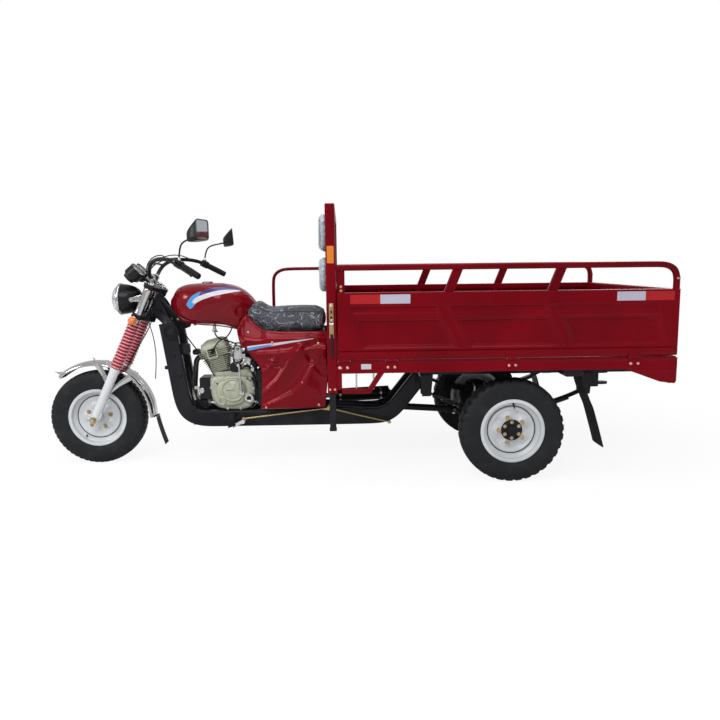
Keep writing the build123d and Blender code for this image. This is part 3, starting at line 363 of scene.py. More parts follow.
def turned(axes, profile, count=48):
    """Profile of (radius, height) turned about the third axis: (r cos a, r sin a, h)."""
    p = np.array(profile, float)
    a = even(count)[None]
    return axes(p[:, :1] * np.cos(a), p[:, :1] * np.sin(a), p[:, 1:])


def swept(path, size, count=16, roll=(0, 0, 1), section=None):
    """Section carried square to a path: path + size * (x * side + y * up), side being tangent x roll."""
    p = np.array(path, float)
    tangent = np.gradient(p, axis=0)
    tangent /= np.linalg.norm(tangent, axis=1)[:, None]
    side = np.cross(tangent, np.array(roll, float))
    side /= np.linalg.norm(side, axis=1)[:, None]
    up = np.cross(side, tangent)
    shape = circle(1.0, count) if section is None else np.array(section, float)
    scale = np.broadcast_to(np.array(size, float).reshape(-1, 1, 1), (len(p), 1, 1))
    return p[:, None] + scale * (shape[None, :, :1] * side[:, None] + shape[None, :, 1:] * up[:, None])


def rod(p, q, r, count=16, bevel=0.6):
    """Round bar from p to q with bevelled rims."""
    axes = toward(p, q, (0.31, 0.87, 0.4))
    length = float(np.linalg.norm(np.array(q, float) - np.array(p, float)))
    return turned(axes, [(r - bevel, 0), (r, bevel), (r, length - bevel), (r - bevel, length)], count)


def ball(axes, size, count=24):
    """Ellipsoid: (a cos u cos v, b sin u cos v, c sin v)."""
    v = np.linspace(-0.495 * np.pi, 0.495 * np.pi, count // 2)[:, None]
    u = even(count)[None]
    a, b, c = size
    return axes(a * np.cos(u) * np.cos(v), b * np.sin(u) * np.cos(v), c * np.sin(v) + 0 * u)


def hexagon(r):
    """Outline of a hexagon."""
    return circle(r, 6)


def bolt(axes, r, proud, washer=0.0):
    """Hexagon head on a washer, with a short thread end standing out of it."""
    made = [prism(axes, hexagon(r), washer, washer + proud, r * 0.12)]
    made.append(turned(axes, [(r * 0.5, 0), (r * 0.5, washer + proud * 1.35), (r * 0.38, washer + proud * 1.5)], 12))
    if washer:
        made.append(turned(axes, [(r * 1.45, 0), (r * 1.5, washer / 2), (r * 1.45, washer)], 20))
    return made


def flipped(grid):
    """The grid's mirror image on the other side."""
    return grid * np.array([1.0, -1.0, 1.0])


def round_places(axes, r, height, count, start=0.0):
    """Axes at even places round the third axis, each turned to face outwards; start is a share of one step."""
    for i in range(count):
        angle = 2 * math.pi * (i + start) / count
        yield axes.moved(r * math.cos(angle), r * math.sin(angle), height).turned(angle)


class Shell:
    """Collects closed grids of points and makes them one mesh object. Finishes are given by name or as materials."""

    def __init__(self, name, body, *finishes, replaces=(), slot=None):
        self.name, self.body = name, body
        self.finishes = [finish(f) if isinstance(f, str) else f for f in finishes]
        self.stands_for, self.slot = replaces, slot
        self.points, self.loops, self.sizes, self.indices = [], [], [], []
        self.marks = {}
        self.start = 0

    def add(self, grids, finish=0, loop=False, sided=False, **marks):
        """Add grids of (rows, around, xyz). Rings close around; the ends get flat caps unless loop joins them.

        sided adds each grid's mirror image too. marks are point values, (rows, around), that a finish reads.
        """
        for grid in grids if isinstance(grids, list) else [grids]:
            for made in (grid, flipped(grid)) if sided else (grid,):
                self._add(made, finish, loop)
                for name, values in marks.items():
                    values = np.broadcast_to(values, made.shape[:2]).ravel()
                    self.marks.setdefault(name, []).append((self.start - len(values), values))
        return self

    def _add(self, grid, finish, loop):
        rows, around = grid.shape[:2]
        index = np.arange(rows * around).reshape(rows, around)
        nxt = np.roll(index, -1, 1)
        if loop:
            below, above = index, np.roll(index, -1, 0)
            quads = np.stack([below, nxt, np.roll(nxt, -1, 0), above], -1).reshape(-1, 4)
        else:
            quads = np.stack([index[:-1], nxt[:-1], nxt[1:], index[1:]], -1).reshape(-1, 4)
        flat = grid.reshape(-1, 3)
        a, b, c, d = (flat[quads[:, k]] for k in range(4))
        middle = flat.mean(0)
        volume = np.sum(np.cross(b - middle, c - middle) * (a - middle)) + np.sum(
            np.cross(c - middle, d - middle) * (a - middle))
        caps = [] if loop else [index[0][::-1], index[-1]]
        if not loop:
            for ring in (index[0][::-1], index[-1]):
                p = flat[ring]
                centre = p.mean(0)
                volume += np.sum(np.cross(p - centre, np.roll(p, -1, 0) - centre) @ (centre - middle))
        if volume < 0:
            quads = quads[:, ::-1]
            caps = [ring[::-1] for ring in caps]
        self.points.append(flat)
        self.loops += [quads.ravel() + self.start] + [ring + self.start for ring in caps]
        self.sizes += [np.full(len(quads), 4)] + [np.array([len(ring)]) for ring in caps]
        self.indices.append(np.full(len(quads) + len(caps), finish))
        self.start += len(flat)

    def build(self):
        """Write the arrays to a new mesh object, smooth between its sharp edges."""
        points = np.concatenate(self.points) * MM
        loops, sizes = np.concatenate(self.loops), np.concatenate(self.sizes)
        mesh = bpy.data.meshes.new(self.name)
        mesh.vertices.add(len(points))
        mesh.vertices.foreach_set("co", points.astype(np.float32).ravel())
        mesh.loops.add(len(loops))
        mesh.loops.foreach_set("vertex_index", loops.astype(np.int32))
        mesh.polygons.add(len(sizes))
        mesh.polygons.foreach_set("loop_start", (np.cumsum(sizes) - sizes).astype(np.int32))
        for finish in self.finishes:
            mesh.materials.append(finish)
        mesh.polygons.foreach_set("material_index", np.concatenate(self.indices).astype(np.int32))
        mesh.polygons.foreach_set("use_smooth", np.ones(len(sizes), bool))
        mesh.update(calc_edges=True)
        for name, runs in self.marks.items():
            values = np.zeros(len(points), np.float32)
            for start, run in runs:
                values[start:start + len(run)] = run
            mesh.attributes.new(name, "FLOAT", "POINT").data.foreach_set("value", values)
        mesh.validate()
        mesh.set_sharp_from_angle(angle=SHARP)
        made = bpy.data.objects.new(self.name, mesh)
        bpy.context.scene.collection.objects.link(made)
        return made

    def make(self):
        """The mesh object, riding on its body."""
        made = self.build()
        if self.stands_for:
            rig.replaces(made, *self.stands_for)
        if self.slot:
            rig.slot(made, self.slot)
        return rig.ride(made, self.body)


# ---------------------------------------------------------------- finishes
class Wire:
    """A shader socket that takes part in arithmetic: each operator adds one Math node."""

    def __init__(self, finish, socket):
        self.finish, self.socket = finish, socket

    def math(self, operation, *values):
        return self.finish.add("ShaderNodeMath", {"operation": operation}, dict(enumerate((self, *values))))

    def __add__(self, other):
        return self.math("ADD", other)

    def __mul__(self, other):
        return self.math("MULTIPLY", other)

    def __sub__(self, other):
        return self.math("SUBTRACT", other)

    def __rsub__(self, other):
        return self.finish.add("ShaderNodeMath", {"operation": "SUBTRACT"}, {0: other, 1: self})

    def __truediv__(self, other):
        return self.math("DIVIDE", other)

    def __pow__(self, other):
        return self.math("POWER", other)

    def __neg__(self):
        return self * -1.0

    def __abs__(self):
        return self.math("ABSOLUTE")

    __radd__ = __add__
    __rmul__ = __mul__

    def between(self, low, high):
        """0 at low and 1 at high, clamped and smooth."""
        return self.finish.add("ShaderNodeMapRange", {"interpolation_type": "SMOOTHSTEP"},
                               {"Value": self, "From Min": low, "From Max": high}, "Result")


class Finish:
    """A material built from procedural nodes."""

    def __init__(self, name, holder=None):
        self.material = holder or bpy.data.materials.new(name)
        self.material.use_nodes = True
        self.tree = self.material.node_tree
        self.tree.nodes.clear()

    def add(self, kind, settings=None, inputs=None, output=0):
        """Add a node: its settings first, then values or links for its sockets. Returns one output."""
        node = self.tree.nodes.new(kind)
        for key, value in (settings or {}).items():
            if key == "stops":
                ramp = node.color_ramp
                while len(ramp.elements) < len(value):
                    ramp.elements.new(0.5)
                for element, (place, colour) in zip(ramp.elements, value):
                    element.position, element.color = place, (*colour, 1.0)
            elif key == "line":
                points = node.mapping.curves[0].points
                for place, level in value[1:-1]:
                    points.new(place, level)
                points[0].location, points[-1].location = value[0], value[-1]
                node.mapping.update()
            else:
                setattr(node, key, value)
        for key, value in (inputs or {}).items():
            if value is None:
                continue
            if isinstance(value, Wire):
                self.tree.links.new(value.socket, node.inputs[key])
            else:
                node.inputs[key].default_value = value
        return node if output is None or not node.outputs else Wire(self, node.outputs[output])

    def place(self):
        """Object coordinates: vector and its three parts, in metres."""
        vector = self.add("ShaderNodeTexCoord", output="Object")
        parts = self.add("ShaderNodeSeparateXYZ", None, {0: vector}, None)
        return (vector, *(Wire(self, socket) for socket in parts.outputs))

    def noise(self, vector, scale, detail=3.0, roughness=0.55, distortion=0.0):
        """Fractal noise around 0.5."""
        return self.add("ShaderNodeTexNoise", None, {"Vector": vector, "Scale": scale, "Detail": detail,
                        "Roughness": roughness, "Distortion": distortion}, "Fac")

    def stretch(self, vector, scale):
        """The vector scaled by parts."""
        return self.add("ShaderNodeMapping", None, {"Vector": vector, "Scale": scale})

    def mix(self, factor, first, second):
        """Colour between first and second."""
        wide = [c if isinstance(c, Wire) else (*c, 1.0)[:4] for c in (first, second)]
        return self.add("ShaderNodeMix", {"data_type": "RGBA"}, {0: factor, 6: wide[0], 7: wide[1]}, 2)

    def bump(self, height, depth, normal=None):
        """Normal from a height in millimetres times depth."""
        return self.add("ShaderNodeBump", None, {"Height": height, "Distance": depth * MM, "Normal": normal})

    def surface(self, **sockets):
        """Principled shader to the output. Socket names are given with underscores."""
        inputs = {}
        for key, value in sockets.items():
            name = key.replace("_", " ")
            inputs[name] = (*value, 1.0) if isinstance(value, tuple) and len(value) == 3 else value
        shader = self.add("ShaderNodeBsdfPrincipled", None, inputs)
        self.add("ShaderNodeOutputMaterial", None, {"Surface": shader})
        return self.material


FINISHES = {}


def finish(name):
    """The material of that name, made the first time it is asked for."""
    if name not in FINISHES:
        FINISHES[name] = globals()["make_" + name]()
    return FINISHES[name]


def enamel(f, base, rough, coat, gloss, grain=0.15, waves=34.0, hue=(1.0, 1.0, 1.0)):
    """Sprayed enamel over a base colour: dust specks, dirt low down, orange-peel bump and a clear coat."""
    vector, *_, z = f.place()
    dust = f.noise(vector, 260.0, 2.0, 0.7).between(0.60, 0.80)
    low = (1.0 - z.between(0.20, 0.60)) * f.noise(vector, 10.0, 4.0).between(0.42, 0.75)
    base = f.mix(dust * 0.008 + low * 0.02, base, (0.32, 0.27, 0.25))
    peel = f.noise(vector, 310.0, 1.0) + f.noise(vector, waves, 1.0)
    return f.surface(Base_Color=base, Roughness=rough + dust * 0.12 + low * 0.15, Coat_Weight=coat,
                     Coat_Roughness=0.05, Normal=f.bump(peel, grain), Specular_IOR_Level=gloss, Specular_Tint=hue)


def crimson_base(f):
    """Slow change between the body colour and a deeper one, and the scene's finish values."""
    c = bpy.context.scene.tricycle_finish
    cloud = f.noise(f.place()[0], 3.1, 2.0)
    return f.mix(cloud.between(0.3, 0.7), tuple(c.paint), tuple(v * 0.72 for v in c.paint)), c


RED_GLOSS = (1.0, 0.20, 0.24)


def painted(name, colour, deep, rough, coat, grain=0.15):
    """Plain enamel in two close colours."""
    f = Finish(name)
    cloud = f.noise(f.place()[0], 3.1, 2.0)
    return enamel(f, f.mix(cloud.between(0.3, 0.7), colour, deep), rough, coat, 0.1, grain)


def make_crimson():
    f = Finish("crimson enamel")
    return enamel(f, crimson_base(f)[0], 0.24, 0.04, 0.25, hue=RED_GLOSS)


def make_black_paint():
    return painted("black frame enamel", (0.015, 0.015, 0.019), (0.008, 0.008, 0.011), 0.30, 0.12, 0.25)


def make_silver():
    return painted("silver wheel enamel", (0.64, 0.66, 0.68), (0.52, 0.54, 0.56), 0.30, 0.4, 0.2)


def make_fork_silver():
    return painted("silver fork enamel", (0.70, 0.72, 0.75), (0.60, 0.62, 0.65), 0.30, 0.4, 0.12)


def metal(name, colour, rough, grain, scale=(1.0, 1.0, 1.0), stain=(0.3, 0.28, 0.25), share=0.2):
    """Bare metal: brushed or cast grain, cloudy stains and a roughness that follows both."""
    f = Finish(name)
    vector = f.place()[0]
    fine = f.noise(f.stretch(vector, scale), 420.0, 2.0, 0.7)
    cloud = f.noise(vector, 18.0, 4.0, 0.6)
    base = f.mix(cloud.between(0.45, 0.75) * share, colour, stain)
    return f.surface(Base_Color=base, Metallic=1.0, Roughness=rough + fine * 0.10 + cloud.between(0.4, 0.8) * 0.14,
                     Normal=f.bump(fine, grain))


def make_chrome():
    return metal("polished chrome", (0.50, 0.50, 0.50), 0.02, 0.015, share=0.12)


def make_steel():
    return metal("bright steel", (0.55, 0.55, 0.54), 0.22, 0.06)


def make_zinc():
    return metal("yellow zinc plate", (0.50, 0.40, 0.22), 0.28, 0.05, stain=(0.34, 0.31, 0.30), share=0.5)


def make_brass():
    return metal("golden plated rod", (0.46, 0.35, 0.17), 0.30, 0.05, stain=(0.20, 0.15, 0.10), share=0.6)


def make_casting():
    """Sand-cast alloy under a pale olive engine paint, darker in the low spots."""
    f = Finish("engine casting")
    vector = f.place()[0]
    grain, cloud = f.noise(vector, 700.0, 3.0, 0.7), f.noise(vector, 26.0, 5.0, 0.6)
    grime = f.noise(vector, 60.0, 5.0, 0.65).between(0.52, 0.75)
    base = f.mix(cloud.between(0.35, 0.7), (0.42, 0.44, 0.34), (0.33, 0.35, 0.27))
    base = f.mix(grime * 0.45, base, (0.12, 0.12, 0.09))
    return f.surface(Base_Color=base, Metallic=0.25, Roughness=0.42 + grain * 0.14 + grime * 0.2,
                     Normal=f.bump(grain * 0.5 + cloud, 0.4))


def rubbery(name, colour, dusty, rough=0.62, fine=520.0, depth=0.12, dust=0.3):
    """Matt rubber: fine pitting, worn paler patches."""
    f = Finish(name)
    vector = f.place()[0]
    pit, cloud = f.noise(vector, fine, 2.0, 0.7), f.noise(vector, 14.0, 5.0, 0.65)
    base = f.mix(cloud.between(0.45, 0.8) * dust, colour, dusty)
    return f.surface(Base_Color=base, Roughness=rough + pit * 0.12 - cloud * 0.06, Specular_IOR_Level=0.2,
                     Normal=f.bump(pit + cloud * 0.6, depth))


def make_tyre():
    return rubbery("tyre rubber", (0.011, 0.012, 0.014), (0.034, 0.034, 0.034), 0.56, 300.0, 0.2, 0.5)


def make_rubber():
    return rubbery("black rubber", (0.009, 0.009, 0.011), (0.030, 0.030, 0.030))


def make_plastic():
    return rubbery("black plastic", (0.010, 0.010, 0.012), (0.024, 0.024, 0.026), 0.30, 900.0, 0.05, 0.2)


def make_gaiter():
    """Moulded crimson rubber with a painted highlight: the fold tops are painted pale."""
    f = Finish("gaiter rubber")
    vector = f.place()[0]
    cloud = f.noise(vector, 60.0, 3.0)
    crest = f.add("ShaderNodeAttribute", {"attribute_name": "crest"}, None, "Fac")
    # painted highlight: the fold tops are mixed towards a pale pink
    base = f.mix(crest ** 2.2 * (0.45 + cloud * 0.5), (0.33, 0.010, 0.030), (0.78, 0.42, 0.46))
    return f.surface(Base_Color=base, Roughness=0.34 + cloud * 0.12, Normal=f.bump(cloud, 0.3), Coat_Weight=0.3)


def make_vinyl():
    """Black seat vinyl: leather-like cells with soft pores."""
    f = Finish("black vinyl")
    vector = f.place()[0]
    cells = f.add("ShaderNodeTexVoronoi", {"feature": "DISTANCE_TO_EDGE"}, {"Vector": vector, "Scale": 420.0})
    cloud = f.noise(vector, 12.0, 3.0)
    grain = cells.between(0.0, 0.12)
    base = f.mix(grain * 0.5 + cloud * 0.3, (0.010, 0.010, 0.013), (0.026, 0.027, 0.032))
    return f.surface(Base_Color=base, Roughness=0.48 - grain * 0.08 + cloud * 0.1, Normal=f.bump(grain, 0.25),
                     Specular_IOR_Level=0.3)


def film(name, haze):
    """Clear wrapping film: nearly transparent, with painted glints that whiten it along sharp creases, and whitened in
    soft clouds.
    """
    f = Finish(name)
    vector = f.place()[0]
    fold = f.noise(f.stretch(vector, (1.0, 1.4, 1.8)), 9.0, 3.0, 0.55, 1.6)
    crinkle = f.noise(vector, 34.0, 3.0, 0.6, 1.0)
    # painted glints: white lines along the fold and crinkle creases stand in for highlights on the film
    ridge = 1.0 - abs(fold - 0.5).between(0.0, 0.016)
    small = (1.0 - abs(crinkle - 0.5).between(0.0, 0.03)) * fold.between(0.46, 0.60)
    cloud = f.noise(vector, 7.0, 2.0).between(0.42, 0.68)
    # this white carries the painted glints as well as the soft white clouds
    white = ridge * 0.55 + small * 0.30 + cloud * haze
    return f.surface(Base_Color=(0.64, 0.72, 0.82), Roughness=0.12 + crinkle * 0.16,
                     Alpha=white + (haze * 0.5 + 0.02),
                     IOR=1.45, Normal=f.bump(fold * 3.0 + crinkle * 0.6, 4.0))


def make_film():
    return film("clear film", 0.05)


def make_loose_film():
    return film("loose clear film", 0.40)


def lens(name, colour, ribs):
    """Coloured moulded plastic: deeper in patches and ribbed by a sine wave over its height."""
    f = Finish(name)
    vector, *_, z = f.place()
    cloud = f.noise(vector, 30.0, 2.0)
    wave = (z * ribs).math("SINE")
    base = f.mix(cloud.between(0.3, 0.8), colour, tuple(c * 0.72 for c in colour))
    return f.surface(Base_Color=base, Roughness=0.08 + cloud * 0.06, Coat_Weight=0.8, Normal=f.bump(wave, 0.5),
                     Subsurface_Weight=0.15, Subsurface_Scale=0.004)


def make_amber():
    return lens("amber lens", (0.80, 0.20, 0.02), 1500.0)


def make_red_lens():
    return lens("dark red lens", (0.30, 0.010, 0.014), 900.0)


def make_clear_lens():
    """Fluted headlamp glass."""
    f = Finish("fluted glass")
    vector, _, y, z = f.place()
    flutes = (y * 620.0).math("SINE") + (z * 210.0).math("SINE") * 0.4
    cloud = f.noise(vector, 40.0, 2.0)
    return f.surface(Base_Color=(0.93, 0.95, 0.97), Roughness=0.03 + cloud * 0.05, Transmission_Weight=1.0, IOR=1.45,
                     Normal=f.bump(flutes, 0.5))


def make_dial_glass():
    f = Finish("dial glass")
    vector = f.place()[0]
    smear = f.noise(vector, 60.0, 3.0).between(0.4, 0.9)
    return f.surface(Base_Color=(0.95, 0.96, 0.97), Roughness=0.02 + smear * 0.1, Alpha=0.12 + smear * 0.1, IOR=1.45)


def make_mirror():
    f = Finish("mirror glass")
    vector = f.place()[0]
    smear = f.noise(vector, 20.0, 3.0).between(0.4, 0.9)
    return f.surface(Base_Color=(0.52, 0.56, 0.60), Metallic=1.0, Roughness=0.04 + smear * 0.07)


def tape(name, colour):
    """Reflective tape: small hexagon-like cells under a glossy film."""
    f = Finish(name)
    vector = f.place()[0]
    cells = f.add("ShaderNodeTexVoronoi", {"feature": "DISTANCE_TO_EDGE"}, {"Vector": vector, "Scale": 190.0,
                  "Randomness": 0.25})
    line = 1.0 - cells.between(0.02, 0.10)
    base = f.mix(line * 0.30, colour, tuple(c * 0.6 + 0.05 for c in colour))
    return f.surface(Base_Color=base, Roughness=0.22 + line * 0.12, Coat_Weight=0.2, Specular_IOR_Level=0.2,
                     Normal=f.bump(line, 0.05))


def make_red_tape():
    return tape("red reflective tape", (0.36, 0.004, 0.007))


def make_white_tape():
    return tape("white reflective tape", (0.42, 0.41, 0.50))


def make_amber_tape():
    return tape("amber reflector", (0.62, 0.17, 0.015))


def make_dial():
    """Black dial with plain white ticks around its middle, by polar angle about its own attribute centre."""
    f = Finish("gauge dial")
    angle = f.add("ShaderNodeAttribute", {"attribute_name": "turn"}, None, "Fac")
    out = f.add("ShaderNodeAttribute", {"attribute_name": "reach"}, None, "Fac")
    tick = abs((angle * 24.0).math("FRACT") - 0.5).between(0.40, 0.46) * out.between(0.70, 0.74) * (
        1.0 - out.between(0.88, 0.92))
    speck = f.noise(f.place()[0], 900.0)
    base = f.mix(tick, (0.012, 0.012, 0.014), (0.75, 0.75, 0.72))
    return f.surface(Base_Color=base, Roughness=0.45 + speck * 0.1)


def make_deck():
    """Bed floor: crimson paint dulled by dust and scuffs."""
    f = Finish("bed floor paint")
    vector = f.place()[0]
    cloud = f.noise(vector, 5.0, 5.0, 0.65)
    scuff = f.noise(f.stretch(vector, (3.0, 30.0, 1.0)), 5.0, 5.0, 0.7).between(0.55, 0.75)
    base = f.mix(cloud.between(0.35, 0.75), (0.16, 0.004, 0.010), (0.11, 0.006, 0.010))
    base = f.mix(scuff * 0.22, base, (0.26, 0.20, 0.18))
    return f.surface(Base_Color=base, Roughness=0.42 + scuff * 0.2 + cloud * 0.1, Normal=f.bump(scuff + cloud, 0.3))


def make_yellow():
    return rubbery("yellow button", (0.62, 0.46, 0.02), (0.42, 0.34, 0.10), 0.35, 700.0, 0.05, 0.3)


# ---------------------------------------------------------------- user values
class TricycleSizes(bpy.types.PropertyGroup):
    """Sizes that shape the dressed pieces without changing the CAD."""

    tread_depth: FloatProperty(name="Tread depth", description="Depth of the tyres' grooves in millimetres",
                               default=6.0, min=1.0, max=7.0)
    front_blocks: IntProperty(name="Front blocks", description="Tread blocks round the front tyre", default=54)
    rear_blocks: IntProperty(name="Rear lugs", description="Shoulder lugs round each rear tyre", default=34)
    gaiter_folds: IntProperty(name="Gaiter folds", description="Folds of each fork gaiter", default=15)
    wrinkle: FloatProperty(name="Film wrinkle", description="Height of the seat film's wrinkles in millimetres",
                           default=3.2, min=0.0, max=8.0)
    pressing: FloatProperty(name="Panel pressing", description="Depth of the drop sides' pressed bays in millimetres",
                            default=15.0, min=2.0, max=15.0)


class TricycleFinish(bpy.types.PropertyGroup):
    """Colours and light."""

    paint: FloatVectorProperty(name="Body enamel", description="Colour of the painted sheet metal", subtype="COLOR",
                               size=3, default=(0.168, 0.0012, 0.0062), min=0.0, max=1.0)
    band: FloatVectorProperty(name="Tank band", description="Darker colour of the tank's painted band",
                              subtype="COLOR", size=3, default=(0.018, 0.035, 0.16), min=0.0, max=1.0)
    sky: FloatVectorProperty(name="Band tip", description="Paler colour of the painted band's tip", subtype="COLOR",
                             size=3, default=(0.06, 0.30, 0.62), min=0.0, max=1.0)
    room: FloatProperty(name="Room light", description="Strength of the even white light round the object",
                        default=0.62, min=0.0, max=2.0)


def sizes():
    """The sizes in the current scene."""
    return bpy.context.scene.tricycle_sizes


OPERATORS = []


def piece(cls):
    """Keep an operator class in the order in which it runs."""
    OPERATORS.append(cls)
    return cls


# ---------------------------------------------------------------- stage
@piece
class TRICYCLE_OT_stage(bpy.types.Operator):
    """Camera, even studio light, and a pale floor that keeps the object's shadow"""

    bl_idname = "tricycle.stage"
    bl_label = "Stage and camera"

    def execute(self, context):
        scene = context.scene
        scene.view_settings.view_transform = "Standard"
        self.camera(scene)
        self.world(scene, scene.tricycle_finish.room)
        self.lamps(scene)
        self.floor()
        return {"FINISHED"}

    def camera(self, scene):
        """Eye and aim as yaw, pitch and roll about the level view across the left side."""
        yaw, pitch, roll, lens_mm = 0.025, -0.141, 0.0118, 34.0
        eye = Vector((0.0055, 3.956, 1.142))
        ahead = Vector((-math.sin(yaw) * math.cos(pitch), -math.cos(yaw) * math.cos(pitch), math.sin(pitch)))
        right = ahead.cross(Vector((0, 0, 1))).normalized()
        up = right.cross(ahead)
        turn_right = right * math.cos(roll) - up * math.sin(roll)
        turn_up = up * math.cos(roll) + right * math.sin(roll)
        data = bpy.data.cameras.new("Camera")
        data.lens, data.sensor_width = lens_mm, 36.0
        made = bpy.data.objects.new("Camera", data)
        made.matrix_world = Matrix((
            (turn_right.x, turn_up.x, -ahead.x, eye.x), (turn_right.y, turn_up.y, -ahead.y, eye.y),
            (turn_right.z, turn_up.z, -ahead.z, eye.z), (0, 0, 0, 1)))
        scene.collection.objects.link(made)
        scene.camera = made

    def world(self, scene, strength):
        """White to camera and transmission rays, half white to glossy rays, and a dimmer even light otherwise."""
        f = Finish("studio room", bpy.data.worlds.new("Studio"))
        scene.world = f.material
        path = f.add("ShaderNodeLightPath", output=None)
        kinds = ("Camera", "Transmission", "Glossy")
        seen, clear, gloss = (Wire(f, path.outputs["Is %s Ray" % kind]) for kind in kinds)
        level = seen.math("MAXIMUM", clear).math("MAXIMUM", gloss * 0.5).math("MAXIMUM", strength)
        back = f.add("ShaderNodeBackground", None, {"Color": (1, 1, 1, 1), "Strength": level})
        f.add("ShaderNodeOutputWorld", None, {"Surface": back})

    def lamps(self, scene):
        """Soft boxes: a broad key above the near side, a fill ahead, a long one overhead and one behind."""
        for name, at, aim, size, power in (("Key", (1.3, 4.2, 4.0), (0.0, 0.2, 0.7), 2.6, 120.0),
                                           ("Fill", (4.0, 2.4, 2.4), (0.8, 0.0, 0.8), 0.9, 40.0),
                                           ("Top", (-0.4, 0.4, 4.2), (-0.3, 0.0, 0.8), 3.0, 70.0),
                                           ("Back", (-3.6, -3.2, 3.2), (0.0, 0.0, 0.8), 2.4, 60.0)):
            data = bpy.data.lights.new(name, "AREA")
            data.size, data.energy = size, power
            made = bpy.data.objects.new(name, data)
            made.location = at
            made.rotation_euler = (Vector(aim) - Vector(at)).to_track_quat("-Z", "Y").to_euler()
            scene.collection.objects.link(made)

    def floor(self):
        """Level sheet under the wheels."""
        f = Finish("pale floor")
        vector, x, y, _ = f.place()
        white = f.mix(f.noise(vector, 2.0) * 0.3, (0.86, 0.86, 0.86), (0.83, 0.83, 0.83))
        seen = Wire(f, f.add("ShaderNodeLightPath", output=None).outputs["Is Camera Ray"])
        far = ((x * x + y * y) ** 0.5).between(1.8, 3.6)
        diffuse = f.add("ShaderNodeBsdfDiffuse", None, {"Color": white, "Roughness": 1.0})
        glow = f.add("ShaderNodeEmission", None, {"Color": (1, 1, 1, 1), "Strength": 1.0})
        both = f.add("ShaderNodeMixShader", None, {0: seen * (far * 0.1 + 0.9), 1: diffuse, 2: glow})
        f.add("ShaderNodeOutputMaterial", None, {"Surface": both})
        mesh = bpy.data.meshes.new("floor")
        mesh.from_pydata([(-30, -30, -0.001), (30, -30, -0.001), (30, 30, -0.001), (-30, 30, -0.001)], [],
                         [(0, 1, 2, 3)])
        mesh.materials.append(f.material)
        made = bpy.data.objects.new("floor", mesh)
        bpy.context.scene.collection.objects.link(made)
        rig.stage(made)


# ---------------------------------------------------------------- wheels
def tyre_grid(axes, pattern, around, half, across=38):
    """Carcass profile turned about the axle, with the tread's height taken off along the radius.

    The profile is a Catmull-Rom line through (radius, width) points; pattern(angle, share) gives the
    depth in millimetres, share running from -1 to 1 over the tread.
    """
    side = [(153.5, 49.2), (160.0, 49.6), (172.0, 51.0), (196.0, half - 3), (220.0, half), (244.0, half - 1),
            (258.0, half - 6), (TYRE_R - 5.5, half - 14), (TYRE_R - 2.0, half - 26), (TYRE_R, 0.0)]
    points = side + [(r, -w) for r, w in reversed(side[:-1])]
    line = curve(points, across)
    angle = even(around)
    share = np.clip(line[:, 1] / (half - 4), -1, 1)[:, None] + 0 * angle[None]
    upper = (line[:, 0] > 246.0)[:, None]
    depth = np.where(upper, pattern(angle[None], share), 0.0)
    r = line[:, :1] - depth
    lettered = 0.8 * np.cos(line[:, :1] * 0.9) * ease((line[:, :1] - 185) / 10) * ease((240 - line[:, :1]) / 10)
    w = line[:, 1:] + np.sign(line[:, 1:]) * lettered
    return axes(r * np.cos(angle), r * np.sin(angle), w + 0 * angle)


def groove(x, width):
    """1 in a groove of that width, repeating once per unit, 0 on the block, with sloped walls."""
    off = np.abs(x - np.round(x))
    return ease((width - off) / 0.05)


def front_tread(angle, share):
    """Straight ribs in the middle, wavy cross slots, and square blocks on the shoulders."""
    depth, n = sizes().tread_depth, sizes().front_blocks
    turn = angle * n / (2 * np.pi)
    ribs = groove((share + 0.5 + 0.03 * np.sin(turn * 2 * np.pi)) * 2.0, 0.075) * (np.abs(share) < 0.62)
    shoulder = groove(turn + 0.25 * np.sign(share), 0.15) * ease((np.abs(share) - 0.60) / 0.04) * 0.5
    slot = groove(turn * 2 + share, 0.10) * (np.abs(share) < 0.55) * 0.5
    return depth * np.maximum(np.maximum(ribs, shoulder), slot)


def rear_tread(angle, share):
    """A zigzag middle rib between deep bars that run out over the shoulders, staggered side to side."""
    depth, n = sizes().tread_depth + 1.0, sizes().rear_blocks
    turn = angle * n / (2 * np.pi) + 0.5 * (share > 0) + np.abs(share) * 0.35
    bars = groove(turn, 0.20) * ease((np.abs(share) - 0.26) / 0.05) * (1 - 0.5 * ease((np.abs(share) - 0.72) / 0.2))
    middle = groove((np.abs(share) - 0.25 - 0.04 * np.sin(turn * 2 * np.pi)) * 1.0, 0.035)
    return depth * np.maximum(bars, middle)


def tyre(node, body, axes, pattern, blocks, half):
    """One tyre: the outer surface, closed by a cylinder at the beads."""
    shell = Shell(node + "_cover", body, "tyre", replaces=[node], slot="tyre_rubber")
    return shell.add(tyre_grid(axes, pattern, blocks * 12, half), loop=True).make()


def rim_barrel(shell, axes):
    """Drop-centre barrel: rolled flanges, bead seats and well as one closed profile turned about the axle."""
    outside = [(RIM_R - 1.5, 52.5), (RIM_R, 50.5), (RIM_R - 1, 49.5), (153.2, 49.0), (152.4, 32.0), (150.0, 28.0),
               (133.0, 17.0), (130.5, 13.0)]
    ring = outside + [(r, -w) for r, w in reversed(outside)]
    inside = [(162.0, -54.0), (150.0, -52.5), (148.6, -46.0), (148.4, -28.0), (128.0, -15.0), (126.5, -12.0),
              (126.5, 12.0), (128.0, 15.0), (148.4, 27.0), (148.6, 45.0), (150.0, 51.0), (158.0, 54.0)]
    shell.add(turned(axes, ring + inside, 96), loop=True)


def disc_grid(axes, radii, heights, relief, thick, count=144):
    """Wheel disc: height over the plane is a line through (radius, height) plus relief(angle, radius)."""
    line = curve(list(zip(radii, heights)), 36)
    angle = even(count)[None]
    r, h = line[:, :1] + 0 * angle, line[:, 1:] + 0 * angle
    top = axes(r * np.cos(angle), r * np.sin(angle), h + relief(angle, r))
    low = axes(r * np.cos(angle), r * np.sin(angle), h + relief(angle, r) - thick)
    return np.concatenate([top, low[::-1]])


